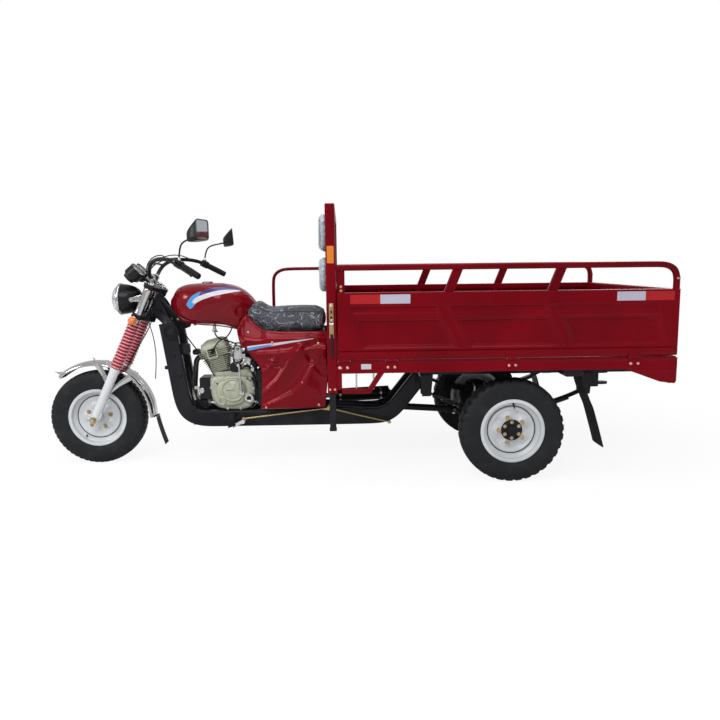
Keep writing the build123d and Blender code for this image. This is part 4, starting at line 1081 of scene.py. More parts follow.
def pressed_disc(shell, axes, radii, heights, relief):
    """Wheel disc, and the sealing bead where it meets the barrel."""
    shell.add(disc_grid(axes, radii, heights, relief, 3.5), loop=True)
    shell.add(turned(axes, [(129.4, 9.0), (128.6, 13.0), (126.0, 15.0), (123.6, 14.0), (124.0, 10.0)], 128), 1,
              loop=True)


def lobes(angle, r, n, centre, size):
    """Bump of 1 at n places spaced round the circle of radius centre: falls off with distance / size."""
    step = 2 * np.pi / n
    off = (angle + step / 2) % step - step / 2
    away = np.sqrt((off * centre) ** 2 + (r - centre) ** 2)
    return ease(1.35 - away / size)


def valve(shell, axes, r, angle, finish_index):
    """Rubber valve stem leaning out of the rim."""
    spot = axes(r * math.cos(angle), r * math.sin(angle), 24.0)
    tip = axes((r - 20) * math.cos(angle), (r - 20) * math.sin(angle), 52.0)
    shell.add(turned(toward(spot, tip, (0.3, 0.1, 0.9)), [(5.5, 0), (4.8, 12), (3.2, 16), (3.2, 30), (2.6, 32)], 16),
              finish_index)


@piece
class TRICYCLE_OT_front_wheel(bpy.types.Operator):
    """Front tyre, pressed disc wheel with its lobes and brass nuts, hub and axle"""

    bl_idname = "tricycle.front_wheel"
    bl_label = "Front wheel"

    def execute(self, context):
        blocks = sizes().front_blocks
        axes = Axes((FRONT_X, 0, AXLE_Z), (1, 0, 0), (0, 0, 1), (0, 1, 0))
        tyre("front_tyre", "front_wheel", axes, front_tread, blocks, 61.5)
        shell = Shell("front_disc_wheel", "front_wheel", "silver", "rubber", "brass", "steel",
                      replaces=["front_rim", "front_hub"], slot="silver_paint")
        rim_barrel(shell, axes)

        def relief(angle, r):
            return 11.0 * lobes(angle, r, 5, 66.0, 24.0) - 5.0 * lobes(angle, r, 5, 66.0, 8.0)

        radii = (129.5, 128.0, 124.0, 120.5, 117.0, 110.0, 98.0, 84.0, 62.0, 48.0, 38.0, 30.0)
        heights = (8.0, 8.0, 12.0, 19.0, 22.0, 21.0, 17.0, 15.0, 15.0, 18.0, 24.0, 26.0)
        pressed_disc(shell, axes, radii, heights, relief)
        for spot in round_places(axes, 66, 20.0, 5, 0.35):
            shell.add(bolt(spot, 8.0, 6.0, 2.0), 2)
            shell.add(turned(spot, [(11.5, -2), (12.0, -1), (11.0, 1.2), (8.0, 1.6)], 24), 3)
        shell.add(turned(axes, [(12.5, -32), (59.5, -32), (60.0, -2), (52.0, 4), (40.0, 8), (31.0, 10), (29.0, 30),
                                (27.0, 38), (27.0, 65), (12.5, 65.5)], 64), 0)
        valve(shell, axes, 139.0, math.radians(304), 1)
        shell.make()
        self.axle()
        return {"FINISHED"}

    def axle(self):
        """Gold plated nut and washer each side, on the steering body."""
        shell = Shell("front_axle_nuts", "steering", "zinc", "steel", replaces=["front_axle"], slot="brass_plate")
        shell.add(rod(BODY(0, -118, AXLE_Z), BODY(0, 118, AXLE_Z), 8.0), 1)
        spot = side_axes(0, 121.3, AXLE_Z)
        shell.add(bolt(spot, 14.0, 11.0, 2.5), 0, sided=True)
        shell.add(rod(spot(0, 0, 11), spot(0, 0, 20), 6.5), 1, sided=True)
        shell.make()


@piece
class TRICYCLE_OT_rear_wheels(bpy.types.Operator):
    """Rear tyres, disc wheels with scalloped lobes and zinc nuts, black hubs and brake drums"""

    bl_idname = "tricycle.rear_wheels"
    bl_label = "Rear wheels"

    def execute(self, context):
        for name, side in (("left", 1), ("right", -1)):
            axes = Axes((FRONT_X - WHEELBASE, side * WHEEL_Y, AXLE_Z), (1, 0, 0), (0, 0, 1), (0, side, 0))
            tyre(name + "_tyre", "rear_wheel_" + name, axes, rear_tread, sizes().rear_blocks, 63.0)
            self.wheel(name, axes)
        return {"FINISHED"}

    def wheel(self, name, axes):
        shell = Shell(name + "_disc_wheel", "rear_wheel_" + name, "silver", "rubber", "zinc", "black_paint",
                      replaces=[name + "_rim", name + "_hub"], slot="silver_paint")
        rim_barrel(shell, axes)

        def relief(angle, r):
            hollow = lobes(angle + math.pi / 5, r, 5, 86.0, 14.0)
            return 12.0 * lobes(angle, r, 5, 74.0, 27.0) - 6.0 * hollow

        radii = (129.5, 128.0, 124.0, 120.5, 117.0, 111.0, 104.0, 94.0, 74.0, 58.0, 50.0, 42.0)
        heights = (8.0, 8.0, 12.0, 20.0, 24.0, 24.0, 18.0, 14.0, 14.0, 18.0, 21.0, 22.0)
        pressed_disc(shell, axes, radii, heights, relief)
        for spot in round_places(axes, 68, 25.5, 5):
            shell.add(bolt(spot, 9.0, 8.0, 2.0), 2)
            shell.add(turned(spot, [(13.5, -3), (14.0, -1), (12.0, 1.0), (8.0, 1.6)], 24), 2)
        hub = [(30.0, 20.0), (54.0, 21.5), (55.5, 24.0), (55.5, 28.0), (54.0, 30.0), (30.0, 31.0), (28.0, 34.0),
               (27.0, 46.0), (25.0, 50.0), (12.0, 51.5), (11.0, 50.0), (4.0, 50.0)]
        shell.add(turned(axes, hub, 64), 3)
        for i in range(6):
            angle = 2 * math.pi * (i + 0.5) / 6
            spot = axes.moved(42 * math.cos(angle), 42 * math.sin(angle), 30.4)
            shell.add(bolt(spot, 6.5, 5.0, 1.2), 2)
        drum = [(15.0, -144.0), (15.0, -81.5), (96.0, -81.5), (104.5, -78.0), (105.0, -70.0), (102.0, -66.0),
                (105.0, -62.0), (105.0, -16.0), (100.0, -12.0), (60.0, -6.0), (42.0, 14.0), (42.0, 20.0)]
        shell.add(turned(axes, drum, 64), 3)
        valve(shell, axes, 139.0, math.radians(93), 1)
        shell.make()


# ---------------------------------------------------------------- fork
@piece
class TRICYCLE_OT_fork(bpy.types.Operator):
    """Silver sliders, folded rubber gaiters, chrome covers with the headlamp ears, and the clamps"""

    bl_idname = "tricycle.fork"
    bl_label = "Front fork"

    def execute(self, context):
        self.sliders()
        self.gaiters()
        self.covers()
        self.clamps()
        return {"FINISHED"}

    def sliders(self):
        """Tapered tubes with an axle lug and a collar."""
        shell = Shell("fork_slider_pair", "steering", "fork_silver", "steel", replaces=["fork_lowers"],
                      slot="silver_paint")
        leg = FORK.moved(0, FORK_SPREAD, 0)
        profile = [(14, -23), (19, -22), (22, -16), (24, 20), (24.5, 60), (25, 230), (25.4, 280), (26, 296),
                   (28, 304), (28, 322), (26, 326), (18, 327.5)]
        shell.add(turned(leg, profile, 48), 0, sided=True)
        lug = side_axes(0, FORK_SPREAD, AXLE_Z)
        shell.add(prism(lug, circle(24.0, 40), -20.6, 20.6, 2.0), 0, sided=True)
        shell.add(brick(leg, (-30, -8), (-10, 10), (4, 52), 4.0), 0, sided=True)
        shell.add(bolt(Axes(leg(-30, 0, 30), -FORK.rows[2], FORK.rows[1], -FORK.rows[0]), 5.0, 4.0, 1.0), 1,
                  sided=True)
        shell.make()

    def gaiters(self):
        """Bellows: radius swings between root and fold top as a rounded wave of the height; the fold tops carry a
        painted highlight mark.
        """
        shell = Shell("fork_bellows", "steering", "gaiter", replaces=["fork_gaiters"], slot="red_rubber")
        low, high, folds = 328.5, LOWER_YOKE - 24.0, sizes().gaiter_folds
        share = np.linspace(0, 1, folds * 8 + 1)
        wave = np.abs(np.sin(np.pi * folds * share)) ** 0.75
        droop = 1.3 * np.sin(7 * share)
        for side in (1, -1):
            leg = FORK.moved(0, side * FORK_SPREAD, 0)
            angle = even(40)[None]
            r = (25.0 + 9.0 * wave)[:, None] * (1 + 0.008 * np.sin(3 * angle + 9 * share[:, None]))
            sag = droop[:, None] * np.cos(angle) * (share * (1 - share))[:, None] * 4
            h = (low + (high - low) * share)[:, None] + sag
            # the mark below gives the fold tops their painted highlight
            shell.add(leg(r * np.cos(angle), r * np.sin(angle), h), crest=(wave ** 3)[:, None])
        shell.make()

    def covers(self):
        """Chrome tubes above the lower clamp, each with a flange and a slotted arm to the headlamp."""
        shell = Shell("fork_cover_pair", "steering", "chrome", "black_paint", "steel", replaces=["fork_covers"],
                      slot="chrome")
        leg = FORK.moved(0, FORK_SPREAD, 0)
        shell.add(turned(leg, [(22, 616.5), (25.5, 617), (26, 620), (26, 638), (24, 639.5)], 48), 0, sided=True)
        profile = [(21, 664.5), (25, 665), (26, 669), (25, 675), (23.5, 690), (23.5, 790), (25.6, 806), (26, 818),
                   (24, 821.5)]
        shell.add(turned(leg, profile, 48), 0, sided=True)
        line = flow(BODY.line((252, 82, 957), (272, 84, 959), (296, 90, 962), (322, 95, 966)), 14)
        wide = np.linspace(13.0, 21.0, 14)
        shell.add(swept(line, wide, section=oblong(0.30, 2.0, 0.14, 4)), 0, sided=True)
        shell.add(rod(BODY(245, 55, 955), BODY(245, 87, 955), 9.0, 24), 0, sided=True)
        shell.add(bolt(side_axes(245, 86.5, 955), 9.0, 6.0, 2.0), 2, sided=True)
        shell.make()

    def clamps(self):
        """Upper and lower clamps: hull of the two leg bosses and the stem, with pinch bolts and bar risers."""
        shell = Shell("fork_clamps", "steering", "black_paint", "steel", "chrome", replaces=["fork_yokes"],
                      slot="black_paint")
        stem = -50.0
        angle = even(96)
        ray = np.stack([np.cos(angle), np.sin(angle)], 1)
        reach = np.max([ray @ np.array(c) + r for c, r in (((0, 100), 32), ((0, -100), 32), ((stem, 0), 30))], 0)
        slope = (np.roll(reach, -1) - np.roll(reach, 1)) / (2 * (angle[1] - angle[0]))
        hull = ray * reach[:, None] + np.stack([-ray[:, 1], ray[:, 0]], 1) * slope[:, None]
        for low in (LOWER_YOKE, LOWER_YOKE + 182):
            shell.add(prism(FORK, hull, low, low + 24, 3.0))
            for y in (-100, 100):
                spot = Axes(FORK(30.5, y, low + 12), FORK.rows[1], FORK.rows[2], FORK.rows[0])
                shell.add(bolt(spot, 6.0, 4.0, 1.0), 1)
        shell.add(rod(FORK(stem, 0, LOWER_YOKE + 23), FORK(stem, 0, LOWER_YOKE + 183), 12.4, 24), 1)
        shell.add(bolt(FORK.moved(stem, 0, LOWER_YOKE + 206), 17.0, 9.0, 2.5), 2)
        for y in (-100, 100):
            shell.add(turned(FORK.moved(0, y, LOWER_YOKE + 206), [(19, 0), (19, 5), (16, 8), (8, 9)], 32), 2)
        foot = FORK(8, 45, LOWER_YOKE + 203)
        top = BODY(352, 45, 1073)
        shell.add(turned(toward(foot, top), [(15, 0), (12.5, 8), (12.5, 30), (15, 44)], 32), 2, sided=True)
        clamp = side_axes(352, 45, 1076)
        ring = [(13.0, -13), (18.5, -13), (20, -11.5), (20, 11.5), (18.5, 13), (13.0, 13)]
        shell.add(turned(clamp, ring, 32), 2, loop=True, sided=True)
        for a in (-15, 15):
            shell.add(bolt(level_axes(352 + a, 45, 1090), 4.5, 4.0, 1.0), 1, sided=True)
        shell.make()


# ---------------------------------------------------------------- bars
def bar_line():
    """Left half of the bar: eased line through its bends."""
    return BODY.line((352, 0, 1076), (352, 50, 1076), (353, 84, 1087), (362, 118, 1124), (385, 160, 1158),
                     (420, 205, 1174), (470, 258, 1180), (530, 306, 1172), (575, 332, 1154), (614, 354, 1126),
                     (690, 392, 1086))


BAR_END = BODY(690, 392, 1086)
BAR_IN = BODY(548, 318, 1168)


def along_bar(distance, out=0.0, up=0.0):
    """Point on the outer straight run, measured back from the end, with an offset ahead and up."""
    run = (BAR_IN - BAR_END) / np.linalg.norm(BAR_IN - BAR_END)
    ahead = np.cross(run, (0, 0, 1))
    ahead /= np.linalg.norm(ahead)
    if ahead[0] < 0:
        ahead = -ahead
    rise = np.cross(run, ahead)
    rise *= np.sign(rise[2])
    return BAR_END + run * distance + ahead * out + rise * up


@piece
class TRICYCLE_OT_bars(bpy.types.Operator):
    """Handlebar with its brace, ribbed grips, switch blocks, levers, control cables and mirrors"""

    bl_idname = "tricycle.bars"
    bl_label = "Handlebar and controls"

    def execute(self, context):
        self.bar()
        self.grips()
        self.controls()
        self.mirrors()
        self.cables()
        return {"FINISHED"}

    def bar(self):
        shell = Shell("bar_tube", "steering", "black_paint", replaces=["handlebar"], slot="black_paint")
        half = np.array(bar_line())
        full = np.vstack([flipped(half[:0:-1]), half])
        shell.add(swept(flow(full, 160), 11.0, 24, roll=(0.2, 0, 1)))
        brace = [BODY(371, y, 1152 + 5 * math.cos(y / 45)) for y in (-140, -120, -70, 0, 70, 120, 140)]
        shell.add(swept(flow(brace, 40), 6.0, 16))
        shell.make()

    def grips(self):
        """Ribbed rubber sleeve: radius is a row of rounded rings between a flange and a domed end."""
        shell = Shell("grip_pair", "steering", "rubber", replaces=["grips"], slot="black_rubber")
        axes = toward(along_bar(122), along_bar(-6), (0, 0, 1))
        h = np.linspace(7, 122, 100)
        r = 15.6 + 1.3 * np.abs(np.sin((h - 7) * np.pi / 6.4)) ** 0.5 + 0.7 * np.sin((h - 7) / 115 * np.pi)
        profile = [(12, 0), (20, 0.3), (21.8, 2), (21.6, 4.4), (19, 6)] + list(zip(r, h))
        profile += [(16.4, 124), (15, 127), (9, 127.8)]
        shell.add(turned(axes, profile, 32), sided=True).make()

    def controls(self):
        """Two-part switch blocks with buttons, lever perches, and tapering levers with ball ends."""
        shell = Shell("switches_and_levers", "steering", "plastic", "black_paint", "steel", "amber_tape", "yellow",
                      replaces=["bar_controls"], slot="black_plastic")
        axes = toward(along_bar(160), along_bar(123), (0, 0, 1))
        for low, high in ((0.5, 17.8), (18.6, 36.5)):
            shell.add(prism(axes, oblong(41, 42, 13, 6), low, high, 2.5), 0, sided=True)
        for low, wide, colour in ((6, 7, 4), (20, 9, 0), (30, 5, 3)):
            spot = Axes(along_bar(160 - low - wide / 2, -2, 19.5), axes.rows[2], axes.rows[0], (0.1, 0.1, 0.98))
            shell.add(prism(spot, oblong(wide, 13, 2.5, 4), -1, 3.2, 1.0), colour, sided=True)
        shell.add(prism(Axes(along_bar(142, 21, 6), axes.rows[2], (0, 0, 1), along_bar(0, 1) - along_bar(0)),
                        oblong(26, 24, 6, 5), -6, 4, 2.0), 1, sided=True)
        pivot = along_bar(146, 34, 3)
        lever = flow([pivot, along_bar(132, 47, 5), along_bar(96, 50, 4), along_bar(50, 49, 2), along_bar(14, 47, 0)],
                     40)
        wide = np.interp(np.linspace(0, 1, 40), [0, 0.12, 0.3, 0.9, 1], [8.0, 7.6, 5.8, 4.6, 4.4])
        shell.add(swept(lever, wide, section=oblong(1.1, 2.0, 0.5, 5)), 1, sided=True)
        shell.add(ball(toward(along_bar(10, 47, 0), along_bar(0, 47, 0)), (7.6, 7.6, 7.6), 20), 1, sided=True)
        shell.add(rod(pivot + (0, 0, -8), pivot + (0, 0, 7), 8.0, 20), 1, sided=True)
        shell.add(bolt(Axes(pivot + (0, 0, 7), (1, 0, 0), (0, 1, 0), (0, 0, 1)), 4.4, 3.0, 0.8), 2, sided=True)
        shell.make()

    def mirrors(self):
        """Bell-shaped plastic heads on bent stalks; the glass sits back inside the rim."""
        shell = Shell("mirror_pair", "steering", "plastic", "mirror", "chrome", replaces=["mirrors"],
                      slot="black_plastic")
        centre = BODY(712, 466, 1315)
        axes = Axes(centre, (0.2, 1, 0), (0.03996, -0.19980, 1.0), (-1, 0.2, 0.2))
        rings = ((-34, 74, 44, 18), (-31, 94, 58, 21), (-18, 118, 73, 22), (0, 139, 89, 22), (16, 154, 101, 20),
                 (24, 159, 105, 20), (27, 158, 104, 20), (27, 150, 96, 16), (23, 149, 95, 16))
        rows = []
        for level, wide, high, r in rings:
            p = oblong(wide, high, r, 8)
            rows.append(axes(p[:, 0] + (27 - level) * 0.35, p[:, 1] - (27 - level) * 0.4, level))
        shell.add(np.stack(rows), 0, sided=True)
        shell.add(prism(axes, oblong(148.5, 94.5, 16, 8), 22.2, 24.4, 0.6), 1, sided=True)
        foot = along_bar(146, 0, 19)
        line = flow([foot, foot + (0, 2, 14), foot + (-8, 12, 62), foot + (-26, 30, 96), centre + (16, 4, -34),
                     centre + (4, 0, -16)], 60)
        shell.add(swept(line, 4.6, 14, roll=(0, 1, 0.2)), 0, sided=True)
        shell.add(turned(toward(foot, foot + (0, 2, 14)), [(9, -2), (9, 6), (6, 10), (5, 18)], 20), 2, sided=True)
        shell.add(ball(toward(centre + (5, 0, -14), centre), (10, 10, 14), 20), 0, sided=True)
        shell.make()

    def cables(self):
        """Clutch, throttle and brake cables from the perches, looping ahead of the bar and down behind the lamp."""
        shell = Shell("control_cables", "steering", "rubber", "steel", slot="black_rubber")
        for side, lift, size in ((1, 0, 3.0), (-1, 6, 3.0), (-1, -12, 3.2)):
            start = along_bar(150, 40, 0) * (1, side, 1)
            points = [start, start + (26, -10 * side, 4), BODY(470, 200 * side, 1204 + lift),
                      BODY(395, 130 * side, 1196 + lift), BODY(340, 62 * side, 1160 + lift),
                      BODY(318, 30 * side, 1108), BODY(330, 24 * side + lift, 1060),
                      BODY(352, 20 * side + lift, 1010)]
            shell.add(swept(flow(points, 70), size, 12))
        meter = BODY.line((262, -42, 1078), (300, -60, 1030), (330, -58, 960), (330, -60, 880), (300, -64, 780),
                          (200, -66, 640), (110, -68, 480), (40, -70, 350), (10, -66, 292))
        shell.add(swept(flow(meter, 90), 3.0, 12, roll=(0, 1, 0)))
        near = BODY.line((330, 34, 1040), (344, 60, 960), (335, 92, 884), (337, 97, 830), (358, 96, 760),
                         (370, 88, 660), (360, 76, 560), (352, 71, 500))
        shell.add(swept(flow(near, 80), 2.6, 12, roll=(0, 1, 0)))
        shell.make()


# ---------------------------------------------------------------- lamps and gauges at the front
@piece
class TRICYCLE_OT_front_lamps(bpy.types.Operator):
    """Bell headlamp with its chrome rim and fluted glass, twin gauges and amber indicators"""

    bl_idname = "tricycle.front_lamps"
    bl_label = "Headlamp, gauges and indicators"

    def execute(self, context):
        self.headlamp()
        self.gauges()
        self.indicators()
        return {"FINISHED"}

    def headlamp(self):
        """Profiles turned about the lamp's axis, third direction forward."""
        axes = Axes(BODY(157, 0, 955), (0, 1, 0), (0, 0, 1), (1, 0, 0))
        shell = Shell("lamp_bowl", "steering", "black_paint", "chrome", "steel", replaces=["headlamp_shell"],
                      slot="black_paint")
        bowl = [(20, -122.5), (34, -121), (50, -113), (61, -102), (71, -86), (78, -68), (83.5, -46), (86, -26),
                (86.5, -12), (84, -9)]
        shell.add(turned(axes, curve(bowl, 30), 56))
        rim = [(74, -14), (86.5, -15), (90, -13), (91.8, -8), (91.5, -3), (89, 1), (84, 3.5), (78, 2), (76, -2)]
        shell.add(turned(axes, curve(rim + rim[:1], 28)[:-1], 72), 1, loop=True)
        shell.add(turned(axes, [(12, -30), (34, -26), (56, -20), (72, -10), (75.5, -4), (75.5, -6), (72, -13),
                                (56, -23), (34, -29), (12, -33)], 64), 1, loop=True)
        shell.add(turned(axes.moved(0, 0, -27), [(6, -10), (8, 0), (8, 8), (4, 12)], 20), 2)
        shell.make()
        lens = Shell("lamp_glass", "steering", "clear_lens", replaces=["headlamp_lens"], slot="lamp_lens")
        dome = [(79, 1.5), (78, 6), (72, 17), (62, 26), (44, 34.5), (24, 39.5), (4, 41.5)]
        lens.add(turned(axes, curve(dome, 26), 96))
        lens.make()

    def gauges(self):
        """Twin round cups tipped back, each with a bezel, a dial with ticks, a needle and a glass."""
        shell = Shell("gauge_cluster", "steering", "plastic", "chrome", "dial", "amber", replaces=["instruments"],
                      slot="black_plastic")
        glass = Shell("gauge_glasses", "steering", "dial_glass", slot="lamp_lens")
        tilt = np.array([-math.cos(math.radians(40)), 0, math.sin(math.radians(40))])
        up = np.array([tilt[2], 0, -tilt[0]])
        for y in (-50, 50):
            axes = Axes(BODY(262, y, 1104), up, (0, 1, 0), tilt)
            cup = [(20, -52), (32, -51), (34, -40), (38, -36), (44.5, -30), (46, -22), (46.3, 18), (46.9, 22),
                   (46.9, 28), (45.5, 30), (42.5, 29.6), (41.5, 26), (41, 16)]
            shell.add(turned(axes, cup, 64))
            shell.add(turned(axes, [(42.0, 26), (45.8, 27.0), (46.4, 29.2), (44.6, 30.4), (42.4, 29.4)], 72), 1,
                      loop=True)
            r = np.linspace(1, 41.2, 10)[:, None]
            angle = even(96)[None]
            top = axes(r * np.cos(angle), r * np.sin(angle), 17.5 + 0 * r + 0 * angle)
            low = axes(r * np.cos(angle), r * np.sin(angle), 16.0 + 0 * r + 0 * angle)
            both = np.concatenate([top, low[::-1]])
            turn = np.broadcast_to(angle / (2 * np.pi), (20, 96))
            reach = np.concatenate([r, r[::-1]]) / 41.2
            shell.add(both, 2, turn=turn, reach=np.broadcast_to(reach, (20, 96)))
            needle = toward(axes(0, 0, 19), axes(30 * math.cos(2.2), 30 * math.sin(2.2), 19.4), tilt)
            shell.add(turned(needle, [(1.6, -8), (1.2, 0), (0.5, 30)], 8), 3)
            shell.add(turned(axes.moved(0, 0, 18), [(5, 0), (4.6, 2.5), (2, 3.4)], 20))
            glass.add(turned(axes, [(41.4, 25.2), (41.4, 26.8), (24, 28.6), (4, 29.2), (4, 27.8), (24, 27.2)], 48),
                      loop=True)
        bridge = Axes(BODY(276, 0, 1082), up, (0, 1, 0), tilt)
        shell.add(prism(bridge, oblong(66, 58, 12, 6), -14, 14.5, 4.0))
        shell.add(prism(Axes(BODY(312, 0, 1062), (-0.87, 0, -0.5), (0, 1, 0), (-0.5, 0, 0.87)), oblong(74, 32, 6, 5),
                        -8, 8, 1.5))
        for a, y in ((0, -12), (0, 12), (16, 0)):
            shell.add(turned(bridge.moved(a - 4, y, 14), [(5, 0), (4.4, 1.8), (2, 2.2)], 16), 3)
        shell.make()
        glass.make()

    def indicators(self):
        """Round amber lenses facing ahead and aft in black bodies, on rubber stalks."""
        shell = Shell("indicator_pair", "steering", "amber", "plastic", "chrome", replaces=["front_indicators"],
                      slot="amber_lens")
        level = (LOWER_YOKE - 22 + LOWER_YOKE) / 2
        axes = Axes(FORK(0, FORK_SPREAD + 40, level), FORK.rows[0], FORK.rows[2], (0, 1, 0))
        shell.add(turned(axes, [(6.6, -24), (6.6, -2), (9, 0), (18, 1.5), (23, 4), (23.8, 8), (23.8, 14), (20, 16)],
                         40),
                  1, sided=True)
        dome = [(22.2, 14), (23.4, 16), (23.6, 24), (22.6, 34), (19.5, 42), (15, 48), (9, 51.3), (2, 52)]
        shell.add(turned(axes, curve(dome, 30), 48), 0, sided=True)
        shell.add(turned(axes, [(22, 12), (24, 12.4), (24, 15.8), (22, 16.4)], 48), 2, sided=True, loop=True)
        shell.make()


@piece
class TRICYCLE_OT_front_fender(bpy.types.Operator):
    """Crowned chrome mudguard with rolled lips, V stays, a small ornament and a hanging flap"""

    bl_idname = "tricycle.front_fender"
    bl_label = "Front mudguard"

    def execute(self, context):
        shell = Shell("front_mudguard", "steering", "chrome", "rubber", "steel", replaces=["front_fender"],
                      slot="chrome")
        self.guard(shell)
        self.stays(shell)
        self.ornament(shell)
        self.flap(shell)
        shell.make()
        return {"FINISHED"}

    def guard(self, shell):
        """Section of a low crown with raised shoulders and rolled lips, turned through an arc about the axle."""
        r0 = 330.0
        half = [(0, 0), (12, -0.3), (22, -0.8), (27, -2.8), (33, -3.2), (45, -5.4), (56, -8.8), (62, -12.4),
                (65.0, -17.2), (65.4, -21), (62.8, -22.6), (60.6, -20.6)]
        line = curve(half, 26)
        out = np.vstack([line[:0:-1] * (-1, 1), line])
        back = out[::-1] + np.stack([np.zeros(len(out)), np.full(len(out), -2.4)], 1)
        section = np.vstack([out, back])
        first, last = math.radians(49.2), math.radians(180.8)
        angle = np.linspace(first, last, 74)
        taper = 1 - 0.28 * (1 - ease((angle - first) / 0.16)) - 0.10 * (1 - ease((last - angle) / 0.10))
        y = section[None, :, 0] * taper[:, None]
        r = r0 + section[None, :, 1]
        x = FRONT_X + r * np.cos(angle)[:, None]
        z = AXLE_Z + r * np.sin(angle)[:, None]
        shell.add(np.stack([x, y, z], -1))

    def stays(self, shell):
        """Broad pressed straps from the fork legs to both shoulders of the guard, and the saddle between the legs."""
        for degrees, height, wide in ((95, 214, 18.0), (131, 168, 18.0)):
            over = math.radians(degrees)
            tip = np.array([FRONT_X + 316 * math.cos(over), 67.0, AXLE_Z + 316 * math.sin(over)])
            foot = FORK(0, 77, height)
            middle = foot * 0.5 + tip * 0.5 + (0, -2, 0)
            line = flow([foot, middle, tip], 24)
            size = np.interp(np.linspace(0, 1, 24), [0, 0.5, 1], [wide, wide * 0.7, wide * 1.1])
            shell.add(swept(line, size, section=oblong(2.0, 0.26, 0.12, 4), roll=(0, 1, 0)), 0, sided=True)
            spot = Axes(tip + (0, 1, 0), (1, 0, 0), (0, 0, 1), (0, 1, 0))
            shell.add(bolt(spot, 5.0, 3.4, 1.4), 2, sided=True)
        bracket = [FORK(-6, 78, 296), FORK(-2, 74, 306), BODY(88, 66, 584), BODY(70, 58, 592)]
        shell.add(swept(flow(bracket, 14), 9.0, section=oblong(0.4, 2.0, 0.18, 4)), 0, sided=True)

    def ornament(self, shell):
        """Fish-tail guard at the front tip and a small fin on the crown."""
        for degrees, size in ((50.5, 1.0), (88.0, 0.55)):
            over = math.radians(degrees)
            base = Axes((FRONT_X + 332 * math.cos(over), 0, AXLE_Z + 332 * math.sin(over)),
                        (math.sin(over), 0, -math.cos(over)), (0, 1, 0), (math.cos(over), 0, math.sin(over)))
            bar = [base(2, y * size, 4 + 3 * abs(y / 22)) for y in (-22, -12, 0, 12, 22)]
            shell.add(swept(curve(bar, 18), 4.6 * size, 14))
            fin = flow([base(0, 0, -2), base(4, 0, 8 * size), base(14 * size, 0, 18 * size),
                        base(20 * size, 0, 32 * size)], 14)
            wide = np.linspace(5.0, 2.4, 14) * size
            shell.add(swept(fin, wide, 14, roll=(0, 1, 0)))

    def flap(self, shell):
        """Thin rubber sheet hanging from the rear tip, bowed a little sideways."""
        y = np.linspace(-34, 34, 12)
        share = np.linspace(0, 1, 20)[:, None]
        t = 332 + 46 * share ** 1.25 + 1.4 * (y[None] / 34) ** 2
        z = AXLE_Z + 2 - 172 * share + 0 * y[None]
        front = BODY(t, y[None] * (1 + 0.03 * share), z)
        back = BODY(t + 3.2, y[None] * (1 + 0.03 * share), z)
        shell.add(np.concatenate([front, back[:, ::-1]], 1), 1)
        for y0 in (-22, 22):
            shell.add(bolt(Axes(BODY(337, y0, AXLE_Z - 6), (0, 0, 1), (0, 1, 0), (-0.97, 0, 0.24)), 4.2, 2.6, 1.0), 2)


# ---------------------------------------------------------------- fuel tank
TANK = np.array([  # station, half width, bottom, top
    (446, 12, 914, 936), (452, 32, 899, 955), (467, 59, 876, 975), (485, 80, 855, 1003), (505, 98, 838, 1020),
    (545, 122, 818, 1034), (600, 137, 809, 1040), (660, 143, 806, 1041), (741, 141, 802, 1039), (790, 133, 790, 1031),
    (830, 120, 777, 1019), (871, 100, 772, 997), (905, 76, 776, 968), (928, 54, 786, 940), (944, 28, 800, 915),
    (950, 8, 822, 894)], float)


